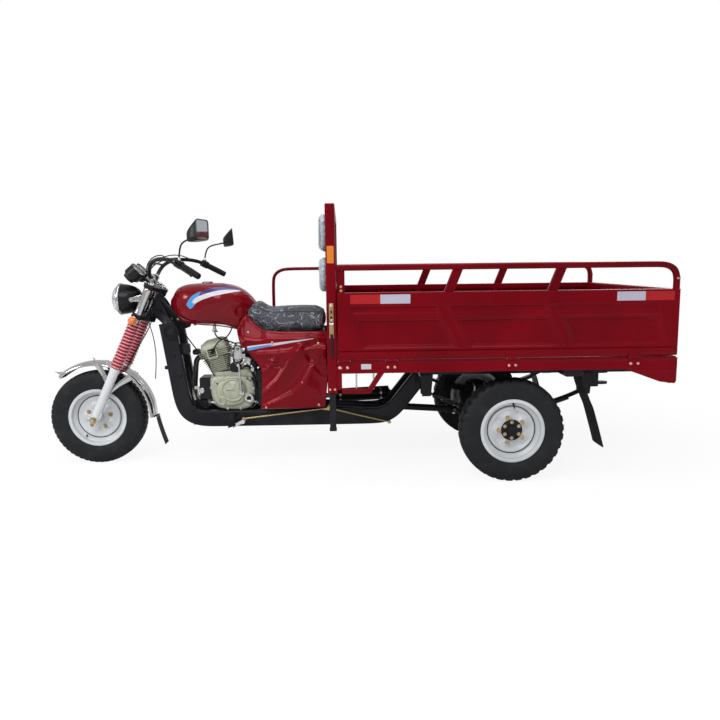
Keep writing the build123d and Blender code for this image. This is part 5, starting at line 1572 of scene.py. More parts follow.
@piece
class TRICYCLE_OT_tank(bpy.types.Operator):
    """Teardrop tank with knee creases, a seam flange, its painted band, cap and tap"""

    bl_idname = "tricycle.tank"
    bl_label = "Fuel tank"

    def execute(self, context):
        shell = Shell("tank_body", "chassis", "tank_enamel", "chrome", "rubber", "steel", "crimson",
                      replaces=["fuel_tank"], slot="crimson_paint")
        self.body(shell)
        self.details(shell)
        shell.make()
        return {"FINISHED"}

    def body(self, shell):
        """Superellipse sections along a Catmull-Rom table. The sides sink below a crease that climbs aft, and a
        knee dimple with a raised rim lies behind it."""
        line = curve(TANK, 116)
        t, half, low, high = (line[:, i:i + 1] for i in range(4))
        a = even(108)[None]
        c, s = np.cos(a), np.sin(a)
        y = half * np.sign(c) * np.abs(c) ** (0.62 + 0.16 * ease((520 - t) / 70) + 0.14 * ease((t - 860) / 60))
        z = (low + high) / 2 + (high - low) / 2 * np.sign(s) * np.abs(s) ** np.where(s > 0, 0.86, 0.58)
        knee = np.interp(t, (500, 560, 700, 790, 850, 950), (838, 852, 914, 948, 936, 900))
        below = ease((knee - z) / 15) * ease((t - 535) / 50) * ease((z - 806) / 20) * ease((935 - t) / 60)
        flat = ease((knee + 26 - z) / 90) * ease((t - 560) / 90)
        away = np.hypot((t - 858) / 1.1, z - 884)
        rim = np.exp(-((away - 36) / 7) ** 2) * ease((884 - t + (900 - z) * 0.4) / 40)
        dimple = ease((34 - away) / 14)
        y = y * (1 - 0.085 * below * (0.35 + 0.65 * flat)) + np.sign(c) * (3.0 * rim - 2.0 * dimple) * np.abs(c)
        shell.add(BODY(t, y, z))

    def details(self, shell):
        up = level_axes(660, 0, 1034)
        shell.add(turned(up, [(30, -6), (33, 0), (33, 5), (31, 6.5)], 48), 4)
        shell.add(turned(up, [(27, 4), (30.5, 6), (31.5, 9), (31, 13), (27, 15.4), (12, 15.8), (4, 15.8)], 64), 1)
        shell.add(prism(up, oblong(20, 9, 4, 5), 15, 15.9, 0.3), 3)
        seam = np.array([BODY(t, y, z) for t, y, z in ((505, 62, 838), (560, 80, 817), (640, 92, 809),
                                                       (730, 92, 804), (796, 84, 791), (850, 66, 776))])
        shell.add(swept(flow(seam, 60), 3.4, 12, roll=(0, 1, 0)), 4, sided=True)
        shell.add(rod(BODY(700, 62, 806), BODY(700, 62, 778), 9), 3)
        shell.add(brick(level_axes(700, 62, 772), (-13, 13), (-8, 8), (-9, 9), 3), 3)
        shell.add(rod(BODY(700, 70, 772), BODY(722, 78, 766), 3.0), 2)
        hose = BODY.line((700, 62, 764), (704, 60, 740), (738, 48, 716), (780, 32, 706), (812, 26, 690))
        shell.add(swept(flow(hose, 40), 4.0, 14, roll=(0, 1, 0)), 2)
        for t in (560, 590):
            shell.add(turned(Axes(BODY(t, 60, 812), (1, 0, 0), (0, 1, 0), (0, 0, -1)), [(8, -4), (8, 6), (5, 9)], 20),
                      2, sided=True)


def make_tank_enamel():
    """Crimson enamel with a band on each side: pale blue tip, dark upper part and a white swoosh below."""
    f = Finish("tank enamel with band")
    red, c = crimson_base(f)
    _, x, y, z = f.place()
    t = (FRONT_X * MM - x) * 1000.0
    share = (t - 550.0) / 330.0
    level = (z * 1000.0 - 880.0) / 160.0

    def line(points):
        return f.add("ShaderNodeFloatCurve", {"line": [((p - 550) / 330, (q - 880) / 160) for p, q in points]},
                     {"Value": share})

    low = line(((550, 902), (586, 903), (618, 934), (695, 966), (786, 985), (849, 994), (880, 996)))
    high = line(((550, 906), (559, 922), (572, 946), (604, 980), (659, 1003), (759, 1022), (822, 1014), (880, 996)))
    across = (level - low) / ((high - low).math("MAXIMUM", 0.004))
    inside = (level - low).between(-0.004, 0.008) * (high - level).between(-0.004, 0.008)
    inside = inside * (t + (z * 1000.0) * 0.9).between(1389.0, 1395.0) * (880.0 - t).between(0.0, 30.0)
    inside = inside * abs(y).between(0.060, 0.066)
    tip = (t - across * 26.0).between(612.0, 622.0)
    upper = across.between(0.52, 0.58)
    fade = (t - 640.0).between(0.0, 150.0)
    blue = f.mix(tip, tuple(c.sky), f.mix(fade * 0.6, tuple(c.band), (0.05, 0.09, 0.26)))
    white = f.mix((t + across * 30.0).between(606.0, 616.0), tuple(c.sky), (0.62, 0.64, 0.68))
    stripe = across.between(0.30, 0.34) * (1.0 - across.between(0.38, 0.42)) * fade
    white = f.mix(stripe * 0.7, white, (0.20, 0.30, 0.52))
    band = f.mix(upper, white, blue)
    return enamel(f, f.mix(inside, red, band), 0.20, 0.30, 0.35, 0.12, 30.0, RED_GLOSS)


# ---------------------------------------------------------------- side covers
COVER = {  # boundary lines in station and height
    "front": ((968, 333), (974, 420), (978, 509), (972, 571), (942, 618), (907, 665), (868, 706), (846, 742),
              (834, 778)),
    "rear": ((1326, 343), (1334, 420), (1340, 500), (1344, 570), (1346, 640), (1347, 690), (1347, 730), (1347, 772)),
    "bottom": ((968, 333), (1050, 334), (1140, 336), (1230, 339), (1326, 343)),
    "top": ((834, 778), (846, 802), (862, 838), (884, 866), (908, 846), (940, 816), (974, 790), (1022, 774),
            (1110, 772), (1217, 772), (1347, 772))}
COVER_RIM = ((834, 862, 884, 908, 940, 974, 1022, 1110, 1330), (778, 838, 866, 846, 816, 790, 774, 772, 772),
             (112, 112, 106, 108, 124, 140, 154, 166, 174))  # station, height and half width along the top rim


def crease(t, z, points, high, soft, sharp):
    """Ridge line: a surface that falls from high, slowly on the left of the line and sharply on its right."""
    best = np.full(t.shape, 1e9)
    signed = np.zeros(t.shape)
    for (t0, z0), (t1, z1) in zip(points, points[1:]):
        dt, dz = t1 - t0, z1 - z0
        share = np.clip(((t - t0) * dt + (z - z0) * dz) / (dt * dt + dz * dz), 0, 1)
        away = np.hypot(t - t0 - share * dt, z - z0 - share * dz)
        cross = dt * (z - z0) - dz * (t - t0)
        closer = away < best
        best = np.where(closer, away, best)
        signed = np.where(closer, np.sign(cross) * away, signed)
    return high * np.where(signed > 0, np.exp(-signed / soft), np.exp(signed / sharp))


FOLDS = (  # each fold's line in station and height, its height, its run below and its run above
    (((1192, 690), (1150, 640), (1112, 575), (1060, 500), (1010, 452), (975, 425)), 27.0, 46.0, 13.0),
    (((1318, 668), (1268, 590), (1209, 482), (1150, 430), (1067, 388), (972, 352)), 30.0, 60.0, 14.0),
    (((1330, 690), (1200, 668), (1060, 655), (950, 652), (885, 700), (850, 752)), 15.0, 28.0, 9.0),
    (((1060, 640), (1030, 590), (1000, 560), (976, 548)), 13.0, 26.0, 9.0))
VENTS = (((990, 622), (1052, 628)), ((996, 596), (1074, 604)), ((1000, 568), (1090, 580)))


def cover_depth(t, z):
    """Outward bulge of a side cover in millimetres: deep folds, sunk vents and an S-shaped hollow behind them."""
    d = 2.0 + 3.0 * ease((z - 330) / 60) * ease((1350 - t) / 60)
    for line, high, soft, sharp in FOLDS:
        d = d + crease(t, z, line, high, soft, sharp)
    for line in VENTS:
        d = d - 6.0 * crease(t, z, line, 1.0, 5.0, 5.0)
    hollow = ease(1.25 - np.hypot((t - 1262 + (z - 610) * 0.62) / 26, (z - 610) / 88))
    d = d - 12.0 * hollow
    edge = np.minimum(np.minimum((z - 333) / 16, (1347 - t) / 14), 1.0)
    return 36.0 * np.tanh(d / 30.0) * ease(edge + 0.15)


def cover_lean(t, z):
    """How far the cover draws in over its top 150 mm, or 42 mm further aft, to meet the tank's tail and the seat."""
    rim, half = (np.interp(t, COVER_RIM[0], row) for row in COVER_RIM[1:])
    run = np.interp(t, (880, 1010), (150, 42))
    return (190.0 - half) * ease((z - rim + run) / run)


@piece
class TRICYCLE_OT_side_covers(bpy.types.Operator):
    """Moulded covers below the seat: a patch between four boundary lines, creased outwards"""

    bl_idname = "tricycle.side_covers"
    bl_label = "Side covers"

    def execute(self, context):
        shell = Shell("side_cover_pair", "chassis", "cover_enamel", "zinc", "rubber", replaces=["side_covers"],
                      slot="crimson_paint")
        t, z = self.patch(98, 84)
        outer = 186.0 + cover_depth(t, z) - cover_lean(t, z)
        points = BODY(*(np.concatenate([p, q[:, ::-1]], 1) for p, q in ((t, t), (outer, outer - 3.0), (z, z))))
        shell.add(points, sided=True)
        for t0, z0 in ((998, 350), (1292, 356), (1296, 706), (1040, 712), (905, 768)):
            spot = np.array(t0, float), np.array(z0, float)
            at = side_axes(t0, 184.0 + float(cover_depth(*spot) - cover_lean(*spot)), z0)
            shell.add(turned(at, [(7, 0), (7, 2.6), (5, 4.2), (1, 4.6)], 20), 1, sided=True)
        foot = side_axes(1000, 192, 723)
        shell.add(flipped(turned(foot, [(10.5, -3), (15, -2), (16.5, 1), (15, 3.4), (10.5, 4)], 32)), 2, loop=True)
        shell.make()
        return {"FINISHED"}

    def patch(self, across, along):
        """Coons patch: both ruled surfaces between opposite lines added, less their corners' plane."""
        u = np.linspace(0, 1, across)[:, None, None]
        v = np.linspace(0, 1, along)[None, :, None]
        front, rear = (curve(COVER[k], along)[None] for k in ("front", "rear"))
        low, high = (curve(COVER[k], across)[:, None] for k in ("bottom", "top"))
        corner = ((1 - u) * (1 - v) * low[:1] + u * (1 - v) * low[-1:] + (1 - u) * v * high[:1] + u * v * high[-1:])
        both = (1 - u) * front + u * rear + (1 - v) * low + v * high - corner
        return both[..., 0], both[..., 1]


def make_cover_enamel():
    """Crimson enamel with a wedge-shaped band that runs back and narrows to a point."""
    f = Finish("cover enamel with band")
    red, c = crimson_base(f)
    _, x, y, z = f.place()
    t, h = (FRONT_X * MM - x) * 1000.0, z * 1000.0
    run = (t - 905.0) / 366.0
    low, high = 671.0 + run * 60.0, 695.0 + run * 39.0
    across = (h - low) / (high - low).math("MAXIMUM", 1.0)
    inside = (h - low).between(-0.8, 0.8) * (high - h).between(-0.8, 0.8) * (t + across * 4.0).between(904.0, 907.0)
    inside = inside * (1.0 - t.between(1266.0, 1272.0)) * abs(y).between(0.12, 0.13)
    blue = f.mix(run.between(0.05, 0.30), tuple(c.sky), (0.10, 0.20, 0.48))
    notch = across.between(0.62, 0.70)
    band = f.mix(notch, blue, (0.58, 0.60, 0.66))
    band = f.mix(run.between(0.30, 0.42) * (1.0 - notch), band, (0.50, 0.52, 0.60))
    return enamel(f, f.mix(inside, red, band), 0.16, 0.12, 0.40, 0.14, 26.0, RED_GLOSS)


# ---------------------------------------------------------------- seat and backrest
def grid_object(name, grids, material):
    """A bare mesh object from closed grids, without a body, for a cushion that is still to be puffed up."""
    shell = Shell(name, "", material)
    for grid in grids:
        shell.add(grid)
    return shell.build()


def puffed(source, voxel, pressure, cap):
    """Cushion blown up by a cloth simulation: remeshed, pressed out, each point's travel capped, then smoothed.

    Travel longer than cap is scaled back to cap along its own direction.
    """
    context = bpy.context
    remesh = source.modifiers.new("Remesh", "REMESH")
    remesh.mode, remesh.voxel_size = "VOXEL", voxel
    context.view_layer.update()
    graph = context.evaluated_depsgraph_get()
    mesh = bpy.data.meshes.new_from_object(source.evaluated_get(graph))
    source.modifiers.clear()
    old, source.data = source.data, mesh
    bpy.data.meshes.remove(old)
    count = len(mesh.vertices)
    start = np.empty(count * 3, np.float32)
    mesh.vertices.foreach_get("co", start)
    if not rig.quick():
        cloth = source.modifiers.new("Cloth", "CLOTH")
        cloth.settings.use_pressure = True
        cloth.settings.uniform_pressure_force = pressure
        cloth.settings.quality = 4
        cloth.settings.effector_weights.gravity = 0.0
        cloth.point_cache.frame_start, cloth.point_cache.frame_end = 1, 20
        for number in range(1, 21):
            context.scene.frame_set(number)
        graph = context.evaluated_depsgraph_get()
        swollen = np.empty(count * 3, np.float32)
        source.evaluated_get(graph).data.vertices.foreach_get("co", swollen)
        source.modifiers.clear()
        context.scene.frame_set(1)
        travel = (swollen - start).reshape(-1, 3)
        length = np.linalg.norm(travel, axis=1)[:, None]
        travel = travel * np.minimum(1.0, cap / np.maximum(length, 1e-9))
        start = (start.reshape(-1, 3) + travel).ravel()
    mesh.vertices.foreach_set("co", start)
    mesh.update()
    return source


def ripples(p, seed, scale, count=9):
    """Crumpled height between 0 and 1: ridges 1 - |sin| of warped plane waves in seeded directions."""
    rng = np.random.default_rng(seed)
    total = np.zeros(len(p))
    warp = np.sin(p @ rng.normal(0, 14, (3, 3)) + rng.uniform(0, 6, 3)) * 0.012
    for k in range(count):
        way = rng.normal(0, 1, 3)
        way /= np.linalg.norm(way)
        wave = np.sin((p + warp * (1 + k % 3)) @ way * scale * (1 + 0.35 * k) + rng.uniform(0, 6))
        total += (1 - np.abs(wave)) ** 3 / (1 + 0.25 * k)
    return total / total.max()


SEAT_STATIONS = np.array([  # station, half width, bottom edge, top, crown
    (882, 84, 852, 876, 2), (896, 98, 838, 900, 3), (918, 108, 822, 921, 5), (950, 118, 800, 926, 8),
    (1000, 132, 772, 899, 9), (1040, 146, 761, 892, 8), (1110, 158, 758, 894, 8), (1200, 164, 758, 895, 8),
    (1270, 166, 759, 893, 8), (1306, 163, 764, 890, 7), (1324, 156, 774, 884, 6)], float)


def seat_grid(shrink=0.0):
    """Saddle: rounded box sections along the table, crowned on top and pulled in along the lower edge."""
    line = curve(SEAT_STATIONS, 90)
    t, half, low, high, crown = (line[:, i:i + 1] for i in range(5))
    half, low, high = half - shrink, low + shrink, high - shrink
    a = even(72)[None]
    c, s = np.cos(a), np.sin(a)
    y = half * np.sign(c) * np.abs(c) ** 0.45
    z = (low + high) / 2 + (high - low) / 2 * np.sign(s) * np.abs(s) ** 0.45
    top = ease((z - low) / (high - low) * 2 - 1)
    y = y * (1 - 0.10 * (1 - ease((z - low) / 60)))
    z = z + top * crown * (1 - (y / half) ** 2) - top * 4.0 * np.exp(-((t - 1010) / 40) ** 2)
    return BODY(t + shrink * 0.4, y, z)


@piece
class TRICYCLE_OT_seat(bpy.types.Operator):
    """Saddle and two backrest cushions in black vinyl, still in their clear wrapping film"""

    bl_idname = "tricycle.seat"
    bl_label = "Seat and backrest"

    def execute(self, context):
        seat = puffed(grid_object("seat_cushion", [seat_grid(5.0)], finish("vinyl")), 0.0074, 3.0, 0.008)
        self.finish_cushion(seat, ["seat"])
        self.film(seat, "seat_film", 7, 0.0)
        seat.modifiers.remove(seat.modifiers["Subdivision"])
        low, high = node_box("backrest")
        split = high[2] - 231.0
        rests = []
        for name, z0, z1 in (("backrest_lower", low[2], split - 5), ("backrest_upper", split + 5, high[2])):
            grid = self.rest(FRONT_X - high[0], FRONT_X - low[0], z0 + 7, z1 - 7)
            rests.append(puffed(grid_object(name, [grid], finish("vinyl")), 0.006, 3.0, 0.009))
        self.finish_cushion(rests[0], ["backrest"], 0)
        self.finish_cushion(rests[1], [], 0)
        for k, made in enumerate(rests):
            self.film(made, made.name + "_film", 21 + k, 0.006, "loose_film")
        self.piping()
        return {"FINISHED"}

    def rest(self, t0, t1, z0, z1):
        """Flat cushion: rounded slab whose sides draw in between the corners, with two sewn channels across."""
        a = even(96)
        outline = np.stack([238 * np.sign(np.cos(a)) * np.abs(np.cos(a)) ** 0.32,
                            (z1 - z0) / 2 * np.sign(np.sin(a)) * np.abs(np.sin(a)) ** 0.32], 1)
        draw = 1 - 0.018 * np.abs(np.sin(2 * a)) ** 2
        rows = []
        for depth, size in ((1.0, 0.90), (0.6, 0.975), (0.0, 1.0), (-0.55, 0.975), (-0.88, 0.86), (-1.0, 0.5),
                            (-1.02, 0.15)):
            middle = (t0 + t1) / 2
            half = (t1 - t0) / 2 - 5.0
            p = outline * (draw[:, None] * size)
            rows.append(BODY(middle + half * depth, p[:, 0], (z0 + z1) / 2 + p[:, 1]))
        return np.stack(rows)

    def finish_cushion(self, made, stands_for, levels=1):
        """Ride, declare, and subdivide for a smooth skin."""
        made.data.polygons.foreach_set("use_smooth", np.ones(len(made.data.polygons), bool))
        made.modifiers.new("Smooth", "CORRECTIVE_SMOOTH").iterations = 3
        surface = made.modifiers.new("Subdivision", "SUBSURF")
        surface.levels = surface.render_levels = levels
        if not made.data.materials:
            made.data.materials.append(finish("vinyl"))
        if stands_for:
            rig.replaces(made, *stands_for)
        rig.slot(made, "seat_cover")
        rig.padded(made, fill=0.7)
        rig.ride(made, "chassis")

    def film(self, made, name, seed, lift, kind="film"):
        """Wrapping film: the cushion's skin moved outwards by the ripples, loose at the folds."""
        graph = bpy.context.evaluated_depsgraph_get()
        mesh = bpy.data.meshes.new_from_object(made.evaluated_get(graph))
        mesh.name = name
        count = len(mesh.vertices)
        points, normals = np.empty(count * 3, np.float32), np.empty(count * 3, np.float32)
        mesh.vertices.foreach_get("co", points)
        mesh.vertices.foreach_get("normal", normals)
        points, normals = points.reshape(-1, 3), normals.reshape(-1, 3)
        high = ripples(points, seed, 24.0, 6) * sizes().wrinkle * MM * 1.4
        moved = points + normals * (0.0008 + lift * 0.3 + high)[:, None]
        mesh.vertices.foreach_set("co", moved.ravel())
        mesh.materials.clear()
        mesh.materials.append(finish(kind))
        mesh.update()
        film = bpy.data.objects.new(name, mesh)
        bpy.context.scene.collection.objects.link(film)
        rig.slot(film, "seat_cover")
        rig.ride(film, "chassis")

    def piping(self):
        """Sewn edge bead round the seat's top and the pan's black rim below it."""
        shell = Shell("seat_piping", "chassis", "vinyl", "plastic", slot="seat_cover")
        line = curve(SEAT_STATIONS, 60)[4:-3]
        for row, lift, wide, size, colour in ((3, -14, 0.985, 2.4, 0), (2, 6, 0.90, 4.0, 1)):
            side = BODY(line[:, 0], line[:, 1] * wide, line[:, row] + lift)
            shell.add(swept(side, size, 10), colour, sided=True)
        shell.make()


# ---------------------------------------------------------------- engine
LEAN = Axes(BODY(722, 0, 532), (-1, 0, 0.27), (0, 1, 0), (0.27, 0, 1))


def fins(shell, axes, rows):
    """Cooling fins: rounded rectangular plates, each (height, length, width, thickness), tapering to their rims."""
    for level, length, width, thick in rows:
        p, q = oblong(length, width, 14, 5), oblong(length - 3, width - 3, 13, 5)
        grid = np.stack([axes(o[:, 0], o[:, 1], h) for o, h in ((q * 0.7, level), (p, level + thick * 0.28),
                                                               (p, level + thick * 0.72), (q * 0.7, level + thick))])
        shell.add(grid)


@piece
class TRICYCLE_OT_engine(bpy.types.Operator):
    """Cast crankcase with its ribbed covers, finned cylinder and head, carburettor, hoses and exhaust"""

    bl_idname = "tricycle.engine"
    bl_label = "Engine"

    def execute(self, context):
        self.case()
        self.cylinder()
        self.carburettor()
        self.exhaust()
        return {"FINISHED"}

    def case(self):
        shell = Shell("engine_case", "chassis", "casting", "steel", "black_paint", "chrome",
                      replaces=["crankcase", "kick_lever"], slot="engine_casting")
        level = side_axes(0, 0, 0, 1)
        outline = [(668, 512), (660, 440), (676, 350), (720, 317), (890, 317), (926, 350), (930, 450), (912, 530),
                   (862, 550), (800, 534), (684, 534)]
        rounded = closed(outline, 90)
        shell.add(prism(level, rounded, -71, 71, 6.0))
        for y in (-40, 0, 40):
            rim = curve([(664, 440), (678, 352), (716, 320), (800, 316), (888, 317), (924, 352), (930, 440)], 40)
            shell.add(swept(BODY(rim[:, 0], y + 0 * rim[:, 0], rim[:, 1]), 3.6, 10, roll=(0, 1, 0)))
        for s in (1, -1):
            self.cover(shell, s)
        self.kick(shell)
        self.starter(shell)
        shell.make()

    def cover(self, shell, s):
        """Side cover: a dome in two steps with a lipped ring, a sight hole, a bright sprocket boss and screws."""
        level = side_axes(0, 0, 0, s)
        outer = [(672, 508), (666, 470), (674, 420), (686, 376), (702, 338), (744, 318), (826, 315), (886, 322),
                 (914, 352), (922, 400), (922, 450), (908, 494), (868, 512), (800, 511), (727, 516)]
        for line, steps in ((outer, ((66, 0), (88, 0), (93, 1.5), (96, 5), (99, 12), (101, 22), (102, 40))),
                            ([(706, 470), (700, 420), (716, 352), (770, 336), (850, 344), (872, 390), (880, 452),
                              (846, 500), (770, 506)],
                             ((94, 0), (106, 0), (110, 2), (113, 7), (115, 14), (116, 30)))):
            rounded = closed(line, 72)
            shell.add(np.stack([level(p[:, 0], p[:, 1], h) for h, p in ((h, inset(rounded, d)) for h, d in steps)]))
        clutch = level.moved(800, 434, 114)
        shell.add(turned(clutch, curve([(69, -8), (68.5, 3), (65, 8), (61, 9), (57, 6), (54, 4), (48, 6), (36, 9),
                                        (20, 11), (2, 11.5)], 40), 56))
        shell.add(prism(clutch.moved(-16, 1, 7), oblong(52, 8, 3, 4), 0, 4.6, 1.0))
        shell.add(prism(clutch.moved(-16, 1, 7), oblong(44, 2.6, 1, 4), 2, 5.0, 0.4), 2)
        for degrees in (20, 62, 118, 160):
            a = math.radians(degrees)
            ends = [clutch(r * math.cos(a), r * math.sin(a), h) for r, h in ((26, 10), (52, 5))]
            shell.add(swept(ends, 2.6, 10, roll=(0, s, 0)))
        sight = level.moved(737, 373, 100)
        shell.add(turned(sight, curve([(27, -6), (26, 14), (23, 19), (17, 20), (14, 18), (12.5, 12), (12, 4)], 30),
                         40))
        shell.add(turned(sight, [(13, -4), (13, 13), (2, 13)], 24), 2)
        sprocket = level.moved(889, 384, 96)
        shell.add(turned(sprocket, curve([(33, -6), (32, 6), (27, 12), (20, 14), (13, 13), (11, 8), (10.5, 0)], 30),
                         40), 1)
        shell.add(turned(sprocket, [(11.5, -4), (11.5, 7), (2, 7)], 24), 2)
        shell.add(brick(level, (862, 898), (404, 414), (92, 112), 3.0), 1)
        shell.add(brick(level, (868, 902), (462, 500), (90, 99), 4.0), 2)
        for t, z in ((679, 494), (674, 446), (690, 360), (764, 325), (838, 324), (912, 366), (914, 440), (896, 496),
                     (830, 506), (748, 508)):
            shell.add(turned(level.moved(t, z, 92), [(8.6, -4), (8.6, 5.5), (7.2, 7)], 20))
            shell.add(bolt(level.moved(t, z, 98.5), 4.6, 3.6, 0.8), 1)

    def starter(self, shell):
        """Starter motor lying across behind the cylinder: a black can with a bright end cap and its cable post."""
        can = side_axes(812, 0, 556)
        shell.add(turned(can, [(30, -52), (34, -50), (34, 62), (31, 66)], 48), 2)
        shell.add(turned(can, curve([(35, 52), (35, 64), (30, 70), (20, 73), (8, 74)], 24), 48), 2)
        shell.add(turned(can, [(35.4, 46), (36, 48), (36, 54), (35.4, 56)], 48), 1, loop=True)
        shell.add(rod(BODY(842, 40, 574), BODY(860, 40, 586), 5.0), 1)
        shell.add(bolt(can.moved(0, 24, 67), 4.0, 3.0, 0.8), 1)
        shell.add(bolt(can.moved(0, -24, 67), 4.0, 3.0, 0.8), 1)

    def kick(self, shell):
        """Chrome kick lever: a boss, a slim arm that swells at its ends, and a folded foot piece."""
        boss = side_axes(852, 112, 420)
        shell.add(turned(boss, [(12, -6), (15, -4), (15, 18), (13, 20), (6, 20)], 32), 3)
        line = flow(BODY.line((852, 126, 420), (850, 138, 452), (847, 150, 520), (846, 158, 592)), 40)
        shell.add(swept(line, np.interp(np.linspace(0, 1, 40), [0, 0.2, 0.85, 1], [8.5, 6.2, 5.4, 7.5]), 16,
                        roll=(0, 1, 0)), 3)
        shell.add(rod(BODY(846, 150, 588), BODY(846, 195, 588), 8.6, 24), 3)
        for y in (166, 174, 182, 190):
            shell.add(turned(side_axes(846, y, 588), [(8.2, -1.6), (9.4, 0), (8.2, 1.6)], 24), 2)

    def cylinder(self):
        """Fins that lengthen upwards, a head with a black plug window, and a rocker cover with sloping shoulders."""
        shell = Shell("finned_cylinder", "chassis", "casting", "steel", "rubber", "black_paint",
                      replaces=["cylinder", "cylinder_head"], slot="engine_casting")
        shell.add(brick(LEAN, (-44, 44), (-53, 53), (2, 96), 6.0))
        fins(shell, LEAN, [(5 + 10.6 * k, 103 + 8.2 * k, 132, 5.0) for k in range(8)])
        shell.add(brick(LEAN, (-72, 76), (-58, 58), (90, 146), 6.0))
        fins(shell, LEAN.moved(2, 0, 0), [(94 + 11.2 * k, 172 + 6 * k, 142, 5.6) for k in range(4)])
        cap = oblong(160, 124, 26, 7)
        rows = [(inset(cap, 2), 134), (cap, 138), (cap, 150), (inset(cap, 6), 164), (inset(cap, 15), 177),
                (inset(cap, 24), 184), (inset(cap, 34), 187), (inset(cap, 50), 188.5)]
        shell.add(np.stack([LEAN(p[:, 0] + 2 + (h - 138) * 0.16, p[:, 1], h) for p, h in rows]))
        shell.add(brick(LEAN.moved(9, 0, 0), (-44, 44), (-30, 30), (182, 192), 4.0))
        for a, b in ((-58, -46), (70, -46), (-58, 46), (70, 46)):
            shell.add(bolt(LEAN.moved(a, b, 167), 7.0, 7.0, 1.4), 1)
        for s in (1, -1):
            window = Axes(LEAN(-10, s * 71.0, 118), LEAN.rows[0], LEAN.rows[2], (0, s, 0))
            ring = [(oblong(60, 66, 5, 4), -8), (oblong(60, 66, 5, 4), 1.0), (oblong(56, 62, 5, 4), 2.6),
                    (oblong(46, 50, 3, 4), 2.6), (oblong(44, 48, 3, 4), 0.4), (oblong(42, 46, 3, 4), -8)]
            shell.add(layers(window, ring), 0, loop=True)
            shell.add(prism(window, oblong(44, 48, 3, 4), -10, -5, 0.5), 3)
        plug = Axes(LEAN(-10, 60, 118), (0.1, 0, 1), (-1, 0, 0.1), (0, 1, 0))
        shell.add(turned(plug, [(7, 0), (7, 10), (5, 11)], 6), 1)
        lead = flow([LEAN(-10, 68, 118), LEAN(-6, 80, 126), LEAN(14, 84, 146), LEAN(52, 76, 178), BODY(762, 66, 726),
                     BODY(790, 40, 762), BODY(800, 20, 812)], 60)
        shell.add(swept(lead, np.interp(np.linspace(0, 1, 60), [0, 0.25, 0.32, 1], [9.0, 8.0, 3.8, 3.6]), 14,
                        roll=(0, 1, 0)), 2)
        shell.make()

    def carburettor(self):
        """Flange, body with a domed top, float bowl, and the black air hose behind it."""
        shell = Shell("carburettor_body", "chassis", "steel", "rubber", "brass", "casting", replaces=["carburettor"],
                      slot="bright_steel")
        axes = toward(BODY(770, 0, 640), BODY(864, 0, 650), (0, 0, 1))
        shell.add(turned(axes, curve([(30, 8), (30, 15), (23, 20), (22, 28), (30, 36), (32, 66), (26, 74), (32, 80),
                                      (32, 94)], 40), 40), 0)
        top = Axes(BODY(824, 0, 652), (1, 0, 0.12), (0, 1, 0), (-0.12, 0, 1))
        shell.add(prism(top, oblong(62, 62, 16, 5), -58, 30, 7.0))
        shell.add(turned(top.moved(-4, 0, 28), curve([(31, 0), (31, 8), (26, 14), (12, 17), (2, 17.5)], 20), 36), 0)
        shell.add(turned(top.moved(0, 0, -52), curve([(31, 4), (30, -14), (22, -24), (3, -28)], 16), 36), 0)
        shell.add(brick(top, (-46, -24), (20, 44), (-44, -6), 5.0), 0)
        for a, b in ((-20, -22), (20, -22), (-20, 22), (20, 22)):
            shell.add(bolt(top.moved(a, b, 29.5), 4.2, 3.0, 0.6), 2)
        shell.add(rod(BODY(826, 26, 662), BODY(826, 50, 662), 16, 28), 0)
        shell.add(rod(BODY(846, 20, 634), BODY(846, 46, 634), 8, 20), 0)
        shell.add(bolt(side_axes(826, 49, 662), 6.0, 3.0, 1.0), 2)
        h = np.linspace(0, 1, 60)
        hose = flow(BODY.line((852, 0, 640), (880, 0, 642), (905, 0, 645), (929, 0, 648)), 60)
        shell.add(swept(hose, 31 + 2.4 * np.abs(np.sin(h * 6 * np.pi)), 36, roll=(0, 1, 0)), 1)
        shell.make()
        lines = Shell("engine_hoses", "chassis", "rubber", "steel", slot="black_rubber")
        for points, size in (
                (BODY.line((816, 20, 600), (812, 40, 560), (830, 66, 520), (880, 78, 470), (930, 76, 420)), 5.0),
                (BODY.line((904, 26, 640), (914, 60, 620), (930, 72, 560), (944, 70, 480), (950, 62, 400)), 7.5),
                (BODY.line((840, 30, 668), (860, 52, 690), (884, 58, 706), (905, 50, 738)), 3.4),
                (BODY.line((700, 76, 500), (676, 84, 540), (650, 70, 600), (560, 52, 700), (500, 40, 800)), 3.4),
                (BODY.line((672, 60, 344), (640, 74, 330), (600, 78, 352), (570, 72, 420), (540, 60, 560)), 4.0)):
            lines.add(swept(flow(points, 50), size, 14, roll=(0, 1, 0.3)))
        lines.make()

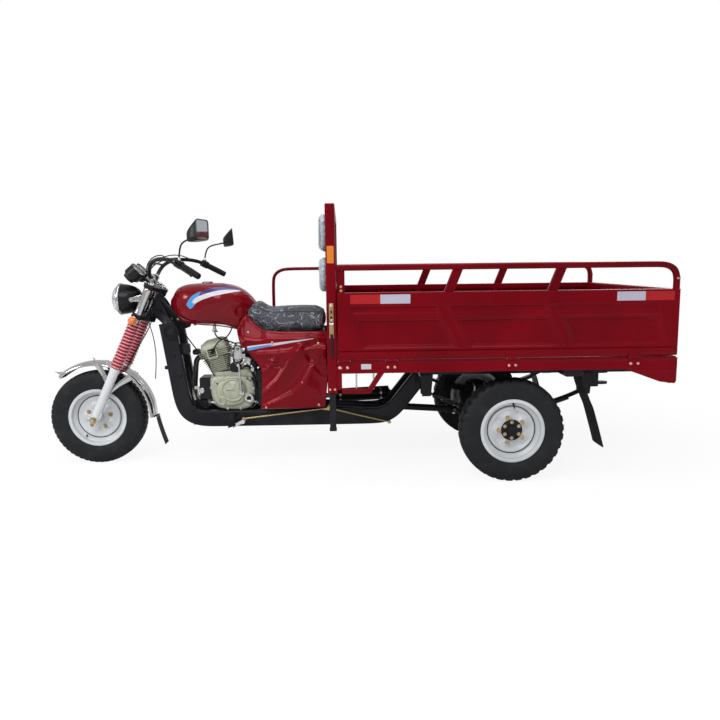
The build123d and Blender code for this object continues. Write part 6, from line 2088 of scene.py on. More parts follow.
    def exhaust(self):
        """Header down the front, along the right rail to the silencer with its straps and tail pipe."""
        shell = Shell("exhaust_system", "chassis", "exhaust_metal", "steel", "black_paint", replaces=["exhaust"],
                      slot="bright_steel")
        route = BODY.line((660, -20, 629), (630, -21, 622), (592, -23, 612), (572, -24, 596), (566, -26, 560),
                          (556, -32, 470), (548, -44, 392), (548, -70, 348), (556, -104, 322), (580, -136, 318),
                          (628, -156, 330), (668, -161, 340), (720, -162, 340), (900, -162, 340), (1200, -162, 340),
                          (1346, -164, 340))
        shell.add(swept(flow(route, 200), 15.8, 24, roll=(0.2, 0.5, 0.8)))
        shell.add(prism(toward(BODY(622, -21, 620), BODY(606, -22, 616), (0, 0, 1)), oblong(64, 40, 14, 5), 0, 8,
                        2.0), 1)
        muffler = toward(BODY(1344, -178, 336), BODY(1720, -190, 350), (0, 0, 1))
        shell.add(turned(muffler, curve([(18, -2), (24, 4), (38, 24), (41.6, 40), (41.6, 340), (38, 356), (24, 372),
                                         (16, 377)], 60), 48), 2)
        for h in (60, 310):
            shell.add(turned(muffler, [(41.4, h), (43, h + 1), (43, h + 13), (41.4, h + 14)], 48), 1, loop=True)
        shell.add(swept(flow(BODY.line((1716, -190, 350), (1750, -191, 351), (1779, -192, 352)), 12), 14.6, 24), 1)
        shell.make()


def make_exhaust_metal():
    """Sooty black pipe above, bare and bright round its lower bend, with a brown heat tint between."""
    f = Finish("heated chrome pipe")
    vector, *_, z = f.place()
    cloud, fine = f.noise(vector, 22.0, 4.0, 0.6), f.noise(vector, 320.0, 2.0)
    soot = (z + cloud * 0.05).between(0.40, 0.47)
    base = f.mix(cloud.between(0.45, 0.8) * 0.5, (0.60, 0.59, 0.57), (0.22, 0.17, 0.12))
    base = f.mix(soot, base, (0.018, 0.018, 0.020))
    return f.surface(Base_Color=base, Metallic=1.0 - soot * 0.9, Roughness=0.20 + cloud.between(0.4, 0.8) * 0.25,
                     Normal=f.bump(fine, 0.05))


# ---------------------------------------------------------------- load bed
RIB_LINES = ((1895, 1968, 1994, 2067), (2439, 2502, 2534, 2583))
BAY_LOW, BAY_SHELF, BAY_HIGH = 722.0, 862.0, 931.0


def pressing(t, z):
    """Depth of the drop side's pressing below its outer face, from 0 to 1.

    Three bays lie between leaning edges. Each sinks below the top flange, rises to a rounded ledge, and sinks
    further below it. The foot swells out again in a roll.
    """
    lean = (BAY_HIGH - z) / (BAY_HIGH - BAY_LOW)
    notch = 9.0 * ease((838 - z) / 8)
    left = [1462 + 68 * lean, RIB_LINES[0][1] + lean * (RIB_LINES[0][3] - RIB_LINES[0][1]) - 9 + notch,
            RIB_LINES[1][1] + lean * (RIB_LINES[1][3] - RIB_LINES[1][1]) - 9 + notch]
    right = [RIB_LINES[0][0] + lean * (RIB_LINES[0][2] - RIB_LINES[0][0]) + notch,
             RIB_LINES[1][0] + lean * (RIB_LINES[1][2] - RIB_LINES[1][0]) + notch, 3006 + 50 * lean]
    bay = np.zeros(np.broadcast(t, z).shape)
    for a, b in zip(left, right):
        bay = np.maximum(bay, ease((t - a) / 6) * ease((b - t) / 6))
    upper = ease((BAY_HIGH - z) / 9) * ease((z - BAY_LOW) / 8)
    ledge = np.exp(-((z - 886) / 13) ** 4)
    deep = ease((BAY_SHELF - 2 - z) / 8)
    inner = np.zeros(bay.shape)
    for a, b in zip(left, right):
        inner = np.maximum(inner, ease((t - a - 16) / 7) * ease((b - 14 - t) / 7))
    field = 0.50 - 0.38 * ledge + 0.50 * deep * inner * ease((z - BAY_LOW - 8) / 7)
    strip = np.zeros(bay.shape)
    for a, b in zip(right[:2], left[1:]):
        strip = np.maximum(strip, ease((t - a - 12) / 4) * ease((b - 3 - t) / 4))
    rib_step = 0.22 * strip * ease((BAY_HIGH - z) / 9) * ease((z - BAY_LOW) / 8) * (1 - bay)
    hollow = np.sin(np.clip((z - 668) / 40, 0, 1) * np.pi)
    roll = 0.30 * (1 - ease((z - 700) / 14)) * (1 - hollow) * ease((706 - z) / 8)
    groove = 0.35 * np.exp(-((z - 709) / 2.6) ** 2)
    return bay * upper * field + rib_step + roll + groove


def panel_grid(first, second, z0, z1, outer, inner, depth, back, count=264):
    """Closed sheet-metal panel: outer face out - depth, rounded top and bottom edges, and its inner face.

    first and second are station limits; each row of the grid is one ring up the outer face and down the inner.
    Heights lie closer together where the face steps.
    """
    t = np.concatenate([[first], np.linspace(first + 1.5, second - 1.5, count), [second]])[:, None]
    z = np.sort(np.concatenate([np.linspace(z0 + 2, z1 - 2, 34), np.linspace(703, 731, 11), np.linspace(849, 899, 13),
                                np.linspace(919, 941, 8)]))
    far = np.concatenate([np.linspace(z1 - 2, 954, 9), [850, 760], np.linspace(712, z0 + 2, 9)])
    n = len(z)
    ring_z = np.concatenate([z, [z1 - 0.6, z1, z1, z1 - 0.6], far, [z0 + 0.6, z0, z0, z0 + 0.6]])[None]
    out = np.concatenate([np.full(n, outer), [outer - 0.6, outer - 2, inner + 2, inner + 0.6],
                          np.full(len(far), inner), [inner + 0.6, inner + 2, outer - 2, outer - 0.6]])[None]
    push = np.zeros((len(t), ring_z.shape[1]))
    push[:, :n] = -depth(t, z[None])
    push[:, n + 4:-4] = back(t, far[None])
    grid = np.stack(np.broadcast_arrays(t + 0 * ring_z, out + push, ring_z + 0 * t), -1)
    grid[0, :, 1] = np.clip(grid[0, :, 1], inner + 1.4, outer - 1.4)
    grid[-1, :, 1] = np.clip(grid[-1, :, 1], inner + 1.4, outer - 1.4)
    return grid


HINGE_BARREL = ((2.6, 0), (4.6, 0), (5, 0.6), (5, 18.2), (4.6, 18.8), (2.6, 18.8))


def hinge_leaf(axes):
    """Moving leaf of a hinge, flat on a gate's foot."""
    return prism(axes, oblong(60, 30, 5, 5), -0.5, 3.0, 0.8)


@piece
class TRICYCLE_OT_side_gates(bpy.types.Operator):
    """Pressed drop sides with their guard rails, reflective tapes and hinge leaves"""

    bl_idname = "tricycle.side_gates"
    bl_label = "Drop sides"

    def execute(self, context):
        for name, side in (("left", 1), ("right", -1)):
            self.gate(name, side)
            self.rail(name, side)
        return {"FINISHED"}

    def gate(self, name, side):
        body = "side_gate_" + name
        shell = Shell(name + "_drop_side", body, "crimson", "red_tape", "white_tape", replaces=[name + "_gate_panel"],
                      slot="crimson_paint")
        deep = sizes().pressing

        def depth(t, z):
            return deep * pressing(t, z)

        def back(t, z):
            inner_bay = np.zeros(np.broadcast(t, z).shape)
            for a, b in ((1440, 1924), (1950, 2440), (2466, 3080)):
                inner_bay = np.maximum(inner_bay, ease((t - a) / 12) * ease((b - t) / 12))
            return 14.0 * inner_bay * ease((z - 698) / 10) * ease((968 - z) / 10)

        grid = panel_grid(BED_FRONT + 6, BED_REAR - 2, GATE_BOTTOM, GATE_TOP, BED_HALF_W, BED_HALF_W - GATE_THICK,
                          depth, back)
        points = BODY(grid[..., 0], side * grid[..., 1], grid[..., 2])
        shell.add(points)
        for t0, t1, colour in ((1471, 1617, 1), (1619, 1767, 2), (2794, 2937, 2), (2939, 3082, 1)):
            tape = side_axes((t0 + t1) / 2, side * BED_HALF_W, 967, side)
            shell.add(prism(tape, oblong(t1 - t0, 45, 2, 4), -0.3, 0.5, 0.2), colour)
        for t in HINGES:
            self.leaf(shell, t, side)
        shell.make()

    def leaf(self, shell, t, side):
        """Moving hinge leaf on the panel's foot, with its barrel and two rivets."""
        leaf = side_axes(t, side * BED_HALF_W, 683, side)
        shell.add(hinge_leaf(leaf))
        for a in (-18, 18):
            shell.add(turned(leaf.moved(a, 3, 2.8), [(4.6, 0), (4.2, 1.6), (2, 2.4)], 16))
        y, z = side * (BED_HALF_W + 8), 662
        barrel = Axes(BODY(t - 9.4, y, z), (0, 1, 0), (0, 0, 1), (-1, 0, 0))
        shell.add(turned(barrel, HINGE_BARREL, 24), 0, loop=True)
        shell.add(prism(side_axes(t, y, 668, side), oblong(18.6, 10, 2, 4), -8, -1, 0.8))

    def rail(self, name, side):
        """Guard rail: a tube bent down at the rear, a front post, leaning straps and a fluted joint collar."""
        y = side * (BED_HALF_W - GATE_THICK / 2)
        shell = Shell(name + "_guard_rail", "side_gate_" + name, "rail_enamel", "zinc",
                      replaces=[name + "_gate_rail"], slot="crimson_paint")
        top, first, last = 1122, BED_FRONT + 6, BED_REAR - 17
        hoop = BODY.line((first, y, top), (first + 400, y, top), (last - 500, y, top), (last - 110, y, top),
                         (last - 62, y, top - 1), (last - 26, y, top - 14), (last - 5, y, top - 38),
                         (last, y, top - 74), (last, y, GATE_TOP + 30), (last, y, GATE_TOP - 1))
        shell.add(swept(flow(hoop, 150), 15.0, section=oblong(2.0, 2.0, 0.7, 6), roll=(0, 1, 0)))
        post = Axes(BODY(first + 19, y, 0), (-1, 0, 0), (0, 1, 0), (0, 0, 1))
        shell.add(prism(post, oblong(38, 16, 4, 4), GATE_TOP, top - 8, 0.6))
        for low in STRAPS:
            self.strap(shell, low, y, top)
        collar = BODY(last, y, 1052)
        shell.add(turned(Axes(collar, (1, 0, 0), (0, 1, 0), (0, 0, 1)), [(14, -11), (16.6, -9), (16.6, 9), (14, 11)],
                         32), 0)
        shell.add(bolt(side_axes(last, y + side * 15.4, 1052, side), 5.0, 3.2, 0.8), 1)
        shell.add(prism(side_axes(first + 19, y + side * 7, GATE_TOP + 20, side), oblong(30, 34, 4, 4), -2, 2.4, 0.8))
        for z in (GATE_TOP + 10, GATE_TOP + 30):
            shell.add(bolt(side_axes(first + 19, y + side * 9.2, z, side), 4.4, 3.0, 0.6), 1)
        shell.make()

    def strap(self, shell, low, y, top):
        """Leaning strap of folded section from the gate's top edge up to the rail."""
        foot, head = BODY(low + 28, y, GATE_TOP), BODY(low + 74, y, top - 6)
        line = flow([foot, foot * 0.5 + head * 0.5, head], 8)
        section = np.array([(-25, -8), (-23, -9), (-12, -9), (-9, -5), (9, -5), (12, -9), (23, -9), (25, -8), (25, 8),
                            (-25, 8)], float) / 25.0
        aft, inwards = np.array([[-1.0, 0, 0]]), np.array([[0, -math.copysign(1, y), 0]])
        shell.add(np.stack([p + 25.0 * (section[:, :1] * aft + section[:, 1:] * inwards) for p in line]))


HINGES = [BED_FRONT + (BED_REAR - BED_FRONT) * share for share in (0.021, 0.158, 0.512, 0.872)]
TAIL_HINGES = tuple(BED_HALF_W * share for share in (-0.69, 0, 0.69))


def make_rail_enamel():
    """Slightly deeper crimson on the tubes."""
    f = Finish("rail enamel")
    return enamel(f, f.mix(0.18, crimson_base(f)[0], (0.0, 0.0, 0.0)), 0.28, 0.04, 0.25, hue=RED_GLOSS)


def make_copper():
    return metal("copper washed bolt", (0.78, 0.46, 0.36), 0.26, 0.05, stain=(0.40, 0.26, 0.2), share=0.5)


@piece
class TRICYCLE_OT_tailgate(bpy.types.Operator):
    """Pressed tailgate with three bays, hinge leaves, catches, and its lamps"""

    bl_idname = "tricycle.tailgate"
    bl_label = "Tailgate and lamps"

    def execute(self, context):
        shell = Shell("tail_panel", "tail_gate", "crimson", "copper", "steel", replaces=["tailgate_panel"],
                      slot="crimson_paint")
        half = BED_HALF_W - GATE_THICK - 6
        deep = sizes().pressing

        def depth(y, z):
            third = (half - 30) * 2 / 3
            bay = np.zeros(np.broadcast(y, z).shape)
            inner = bay.copy()
            for k in (-1, 0, 1):
                a, b = k * third - third / 2 + 12, k * third + third / 2 - 12
                bay = np.maximum(bay, ease((y - a) / 9) * ease((b - y) / 9))
                inner = np.maximum(inner, ease((y - a - 14) / 7) * ease((b - 14 - y) / 7))
            ledge = np.exp(-((z - 886) / 13) ** 4)
            field = 0.5 - 0.34 * ledge + 0.45 * inner * ease((BAY_SHELF - z) / 8) * ease((z - BAY_LOW - 8) / 7)
            return deep * (bay * ease((BAY_HIGH - z) / 9) * ease((z - BAY_LOW) / 8) * field
                           + 0.35 * np.exp(-((z - 709) / 2.6) ** 2))

        def back(y, z):
            return 10.0 * ease((half - 40 - np.abs(y)) / 12) * ease((z - 700) / 10) * ease((966 - z) / 10)

        grid = panel_grid(-half, half, GATE_BOTTOM, GATE_TOP, 0.0, -30.0, depth, back, 160)
        shell.add(BODY(BED_REAR + grid[..., 1], grid[..., 0], grid[..., 2]))
        for y in TAIL_HINGES:
            leaf = Axes(BODY(BED_REAR, y, 683), (0, -1, 0), (0, 0, 1), (-1, 0, 0))
            shell.add(hinge_leaf(leaf))
            for a in (-18, 18):
                shell.add(turned(leaf.moved(a, 3, 2.8), [(4.6, 0), (4.2, 1.6), (2, 2.4)], 16), 1)
            barrel = Axes(BODY(BED_REAR + 8, y - 9.4, 662), (1, 0, 0), (0, 0, 1), (0, 1, 0))
            shell.add(turned(barrel, HINGE_BARREL, 24), 0, loop=True)
            shell.add(prism(leaf.moved(0, -15, 8), oblong(18.6, 10, 2, 4), -8, -1, 0.8))
        for s in (-1, 1):
            catch = level_axes(BED_REAR - 15, s * (half - 26), GATE_TOP)
            shell.add(prism(catch, oblong(18, 36, 3, 4), -4, -0.3, 0.2), 2)
        shell.make()
        self.lamps(half - 70)
        return {"FINISHED"}

    def lamps(self, y):
        """Tall oval lamps: black base, chrome band, dark red upper lens, smoked lower lens with an amber eye."""
        shell = Shell("tail_lamp_pair", "tail_gate", "red_lens", "plastic", "chrome", "amber",
                      replaces=["tail_lamps"], slot="red_lens")
        z0, z1 = 744.0, 950.0
        outline = oblong(104, z1 - z0, 34, 9)
        base = Axes(BODY(BED_REAR, y, (z0 + z1) / 2), (0, 1, 0), (0, 0, 1), (-1, 0, 0))
        shell.add(prism(base, outline, 0.2, 9, 1.5), 1, sided=True)
        shell.add(layers(base, ((inset(outline, 1), 8), (inset(outline, 1.5), 15), (inset(outline, 3), 18),
                                (inset(outline, 9), 18), (inset(outline, 9), 8))), 2, sided=True)
        for low, high, colour, flat in ((846, 941, 0, 0.0), (753, 842, 1, 2.4)):
            lens = oblong(88, high - low, 26, 9)
            spot = base.moved(0, (low + high) / 2 - (z0 + z1) / 2, 0)
            rows = [(lens, 10), (inset(lens, 0.5), 20), (inset(lens, 4), 27), (lens * 0.74, 31.5 - flat),
                    (lens * 0.5, 33.4 - flat), (lens * 0.2, 34.2 - flat), (lens * 0.05, 34.3 - flat)]
            shell.add(layers(spot, rows), colour, sided=True)
        eye = base.moved(0, 800 - (z0 + z1) / 2, 32)
        shell.add(turned(eye, [(20, -4), (20, 0), (15, 2.0), (3, 2.3)], 32), 3, sided=True)
        shell.make()


@piece
class TRICYCLE_OT_bed(bpy.types.Operator):
    """Sill ring with folded edges and bolts, ribbed floor, corner gussets and fixed hinge halves"""

    bl_idname = "tricycle.bed"
    bl_label = "Load bed"

    def execute(self, context):
        self.sill()
        self.floor()
        self.hinges()
        self.steps()
        return {"FINISHED"}

    def sill(self):
        shell = Shell("bed_frame", "chassis", "crimson", "copper", "blank_plate", "steel", replaces=["bed_sill"],
                      slot="crimson_paint")
        inner = BED_HALF_W - 40
        channel = np.array([(-40, -28), (-38, -28), (0, -28), (0, -24), (0, 8), (-1.2, 10), (-1.2, 13), (0, 15),
                            (0, 24), (0, 28), (-4, 28), (-38, 28), (-40, 28)], float)
        line = BODY.line((BED_FRONT + 0.1, 0, 628), (BED_REAR - 0.1, 0, 628))
        rows = [p + np.stack([0 * channel[:, 0], BED_HALF_W + channel[:, 0], channel[:, 1]], 1) for p in line]
        shell.add(np.stack(rows), 0, sided=True)
        for t in (BED_FRONT + 20, BED_REAR - 20):
            shell.add(brick(level_axes(t, 0, 628), (-20, 20), (-inner, inner), (-28, 28), 2.0))
        foot = Axes(BODY((BED_FRONT + BED_REAR) / 2, BED_HALF_W - 17, SILL_TOP + 2.5), (-1, 0, 0), (0, 1, 0),
                    (0, 0, 1))
        long = (BED_REAR - BED_FRONT) / 2 - 6
        shell.add(brick(foot, (-long, long), (-14, 14), (-3.5, 4.0), 0.8), 0, sided=True)
        foot = level_axes(BED_REAR - 17, 0, SILL_TOP + 2.5)
        shell.add(brick(foot, (-14, 14), (4 - inner, inner - 4), (-3.5, 4.0), 0.8))
        gusset = [(BED_REAR - 261, 599), (BED_REAR - 84, 533), (BED_REAR - 12, 524), (BED_REAR - 3, 528),
                  (BED_REAR, 540), (BED_REAR, 600), (BED_REAR - 120, 600)]
        side = side_axes(0, 0, 0, 1)
        shell.add(prism(side, np.array(gusset), BED_HALF_W - 6, BED_HALF_W - 0.2, 1.0), 0, sided=True)
        corner = level_axes(BED_REAR - 20, BED_HALF_W - 20, 562)
        shell.add(brick(corner, (-20, 20), (-14, 14), (-38, 38), 3.0), 0, sided=True)
        beam = level_axes(BED_REAR - 19, 0, 547)
        shell.add(brick(beam, (-15, 15), (-inner - 8, inner + 8), (-15, 15), 3.0))
        for t in (BED_FRONT + 13, BED_FRONT + 52, *(HINGES[1] + a for a in (-17, 17)),
                  *(HINGES[2] + a for a in (-17, 17)),
                  *(HINGES[3] + a for a in (-19, 19))):
            shell.add(turned(side_axes(t, BED_HALF_W, 629), [(8.4, -0.5), (8.0, 2.0), (5, 4.4), (2, 5.0)], 20), 1,
                      sided=True)
        shell.add(prism(side_axes(BED_FRONT + 145, BED_HALF_W, 633), oblong(50, 26, 2, 4), -0.5, 0.8, 0.2), 2)
        shell.make()

    def floor(self):
        """Sheet floor: a shallow trapezoid corrugation running fore and aft, dulled by use."""
        shell = Shell("bed_floor", "chassis", "deck", slot="crimson_paint")
        inner = BED_HALF_W - 40
        y = np.linspace(-inner, inner, 460)
        wave = 2.6 * ease((np.abs((y / 62) % 1 - 0.5) - 0.16) / 0.08)
        top = np.stack([y, 637.2 + wave], 1)
        section = np.concatenate([top, [(inner, 636.0), (-inner, 636.0)]])
        rows = [BODY(t, section[:, 0], section[:, 1]) for t in (BED_FRONT + 40, BED_REAR - 40)]
        shell.add(np.stack(rows)).make()

    def hinges(self):
        """Fixed hinge halves: a leaf on the sill with two barrels and the pin's domed ends."""
        shell = Shell("hinge_halves", "chassis", "crimson", "copper", "steel", replaces=["gate_hinges"],
                      slot="crimson_paint")
        for t in HINGES:
            self.half(shell, side_axes(t, BED_HALF_W, 0), True)
        for y in TAIL_HINGES:
            self.half(shell, Axes(BODY(BED_REAR, y, 0), (0, -1, 0), (0, 0, 1), (-1, 0, 0)), False)
        shell.make()

    def half(self, shell, axes, sided):
        shell.add(prism(axes.moved(0, 635, 0), oblong(60, 42, 5, 5), -0.4, 3.0, 0.8), 0, sided=sided)
        for s in (-1, 1):
            start = axes.moved(s * 20.25, 662, 8)
            barrel = Axes(start(-9.7, 0, 0), axes.rows[1], axes.rows[2], axes.rows[0])
            shell.add(turned(barrel, [(4.5, 0), (5, 0.6), (5, 18.8), (4.5, 19.4)], 24), 0, sided=sided)
            shell.add(prism(axes.moved(s * 20.25, 656, 0), oblong(19.4, 10, 2, 4), 0, 7.6, 0.8), 0, sided=sided)
            pin = Axes(axes(s * 30, 662, 8), axes.rows[1], axes.rows[2] * s, axes.rows[0] * s)
            shell.add(turned(pin, [(2.5, -1), (2.5, 1.0), (1.4, 1.8)], 16), 2, sided=sided)
        centre = Axes(axes(-9.2, 662, 8), axes.rows[1], axes.rows[2], axes.rows[0])
        shell.add(turned(centre, [(2.45, 0), (2.45, 18.4)], 12), 2, sided=sided)
        for a in (-17, 17):
            shell.add(turned(axes.moved(a, 629, 2.8), [(6.6, 0), (6.0, 2.0), (3, 3.4)], 20), 1, sided=sided)

    def steps(self):
        """Folded step loops below the bed's front corners, and the square posts under the headboard."""
        shell = Shell("step_loops", "chassis", "crimson", "steel", replaces=["step_brackets"], slot="crimson_paint")
        side = side_axes(0, 0, 0, 1)
        y0, y1 = BED_HALF_W - 30, BED_HALF_W - 0.3
        shell.add(prism(side, np.array([(BED_FRONT + 0.2, 599.8), (BED_FRONT + 0.2, 498), (BED_FRONT + 24, 498),
                                        (BED_FRONT + 24, 599.8)]), y0, y1, 1.6), 0, sided=True)
        shell.add(prism(side, np.array([(BED_FRONT + 2, 520), (BED_FRONT + 2, 499), (BED_FRONT + 160, 496),
                                        (BED_FRONT + 168, 503), (BED_FRONT + 155, 520)]), y0, y1, 1.6), 0, sided=True)
        shell.add(prism(side, np.array([(BED_FRONT + 150, 516), (BED_FRONT + 168, 500), (BED_FRONT + 235, 599.8),
                                        (BED_FRONT + 205, 599.8)]), y0, y1, 1.6), 0, sided=True)
        for t in (BED_FRONT + 96, BED_FRONT + 182):
            shell.add(rod(BODY(t, y0 + 12, 515), BODY(t, y0 + 12, 602), 4.0, 14), 1, sided=True)
        shell.make()
        posts = Shell("square_posts", "chassis", "black_paint", "rubber", replaces=["step_posts"], slot="black_paint")
        foot = level_axes(BED_FRONT - 24, BED_HALF_W - 17, 0)
        posts.add(brick(foot, (-15.8, 15.8), (-14.8, 14.8), (312, 499), 3.0), 0, sided=True)
        posts.add(prism(foot, oblong(36, 32, 5, 5), 306, 322, 2.0), 1, sided=True)
        posts.make()


def make_blank_plate():
    return painted("blank data plate", (0.50, 0.52, 0.56), (0.42, 0.44, 0.48), 0.30, 0.2, 0.05)


@piece
class TRICYCLE_OT_headboard(bpy.types.Operator):
    """Front wall of the bed: box posts, crossbars, sheeting, reflectors and over-centre latches"""

    bl_idname = "tricycle.headboard"
    bl_label = "Headboard and latches"

    def execute(self, context):
        shell = Shell("headboard_wall", "chassis", "crimson", "amber_tape", "copper", "plastic",
                      replaces=["headboard"], slot="crimson_paint")
        front, rear, half = BED_FRONT - 48, BED_FRONT, BED_HALF_W
        upright = level_axes((front + rear) / 2, 0, 0)
        shell.add(brick(upright, (-24, 24), (half - 34, half), (498, 1431), 4.0), 0, sided=True)
        shell.add(brick(upright, (-23.5, 23.5), (345.5, 374.5), (1024, 1391), 3.0), 0, sided=True)
        for low, high in ((1391, 1430.5), (990, 1024), (600, 656)):
            shell.add(brick(upright, (-23.6, 23.6), (-(half - 34), half - 34), (low, high), 3.0))
        self.sheet(shell, BED_FRONT - 26, BED_FRONT - 20, half - 34, 656, 990, 5)
        self.sheet(shell, front, front + 6, 345.5, 1024, 1391, 3)
        shell.add(prism(side_axes((front + rear) / 2, half, 1186), oblong(34, 84, 4, 5), -0.6, 2.4, 0.8), 1,
                  sided=True)
        for t in (front + 12, rear - 12):
            for z, colour in ((520, 2), (560, 0), (1400, 0)):
                shell.add(turned(side_axes(t, half, z), [(6, -0.5), (5.6, 1.4), (3, 2.4)], 18), colour, sided=True)
        shell.make()
        self.latches()
        return {"FINISHED"}

    def sheet(self, shell, t0, t1, half, low, high, ribs):
        """Sheet with upright pressed ribs: depth is a row of smooth steps across the width."""
        y = np.linspace(-half, half, 240)
        step = 2 * half / ribs
        rib = ease((np.abs(((y + half) / step) % 1 - 0.5) * step - step / 2 + 34) / 8)
        z = np.array([low - 1, low + 14, low + 24, high - 24, high - 14, high + 1])[:, None]
        on = np.array([0, 0, 1, 1, 0, 0])[:, None]
        push = 4.0 * rib[None] * on
        face = BODY(t0 + push, y[None] + 0 * z, z + 0 * y[None])
        back = BODY(t1 + push * 0.9 - 3.0, y[None] + 0 * z, z + 0 * y[None])
        shell.add(np.concatenate([face, back[:, ::-1]], 1))

    def latches(self):
        """Latches: a brass plate with slots, a toothed hook, a drum and a long rubber-sleeved handle."""
        shell = Shell("latch_pair", "chassis", "brass", "black_paint", "rubber", "steel",
                      replaces=["headboard_latches"], slot="brass_plate")
        t, y = BED_FRONT - 24, BED_HALF_W
        plate = side_axes(t, y, 863)
        shell.add(prism(plate, oblong(22, 174, 5, 5), -0.3, 3.0, 0.8), 0, sided=True)
        for z in (908, 880, 852, 806):
            shell.add(prism(side_axes(t, y, z), oblong(9, 14, 4, 5), 2.0, 3.5, 0.3), 1, sided=True)
        for z in (938, 866, 790):
            shell.add(turned(side_axes(t, y, z), [(7, 2), (6.6, 5.4), (4, 7.0)], 18), 3, sided=True)
        for a in (-7, 7):
            wire = flow(BODY.line((t + a, y + 6, 845), (t + a * 1.1, y + 7, 880), (t + a, y + 6.5, 915),
                                  (t + a * 0.4, y + 6, 932), (t, y + 6, 934)), 26)
            shell.add(swept(wire, 2.6, 12, roll=(0, 1, 0)), 0, sided=True)
        shell.add(rod(BODY(t - 10, y + 6, 848), BODY(t + 10, y + 6, 848), 5.6, 20), 3, sided=True)
        handle = flow(BODY.line((t, y + 6.0, 848), (t + 1, y + 6.6, 812), (t, y + 6.0, 770), (t, y + 6.0, 684)), 40)
        wide = np.interp(np.linspace(0, 1, 40), [0, 0.3, 0.45, 1], [7.5, 5.6, 7.0, 6.4])
        shell.add(swept(handle[:19], wide[:19], section=oblong(2.0, 1.0, 0.3, 4), roll=(0, 1, 0)), 0, sided=True)
        shell.add(swept(handle[17:], wide[17:], section=oblong(2.0, 1.3, 0.4, 4), roll=(0, 1, 0)), 2, sided=True)
        shell.make()


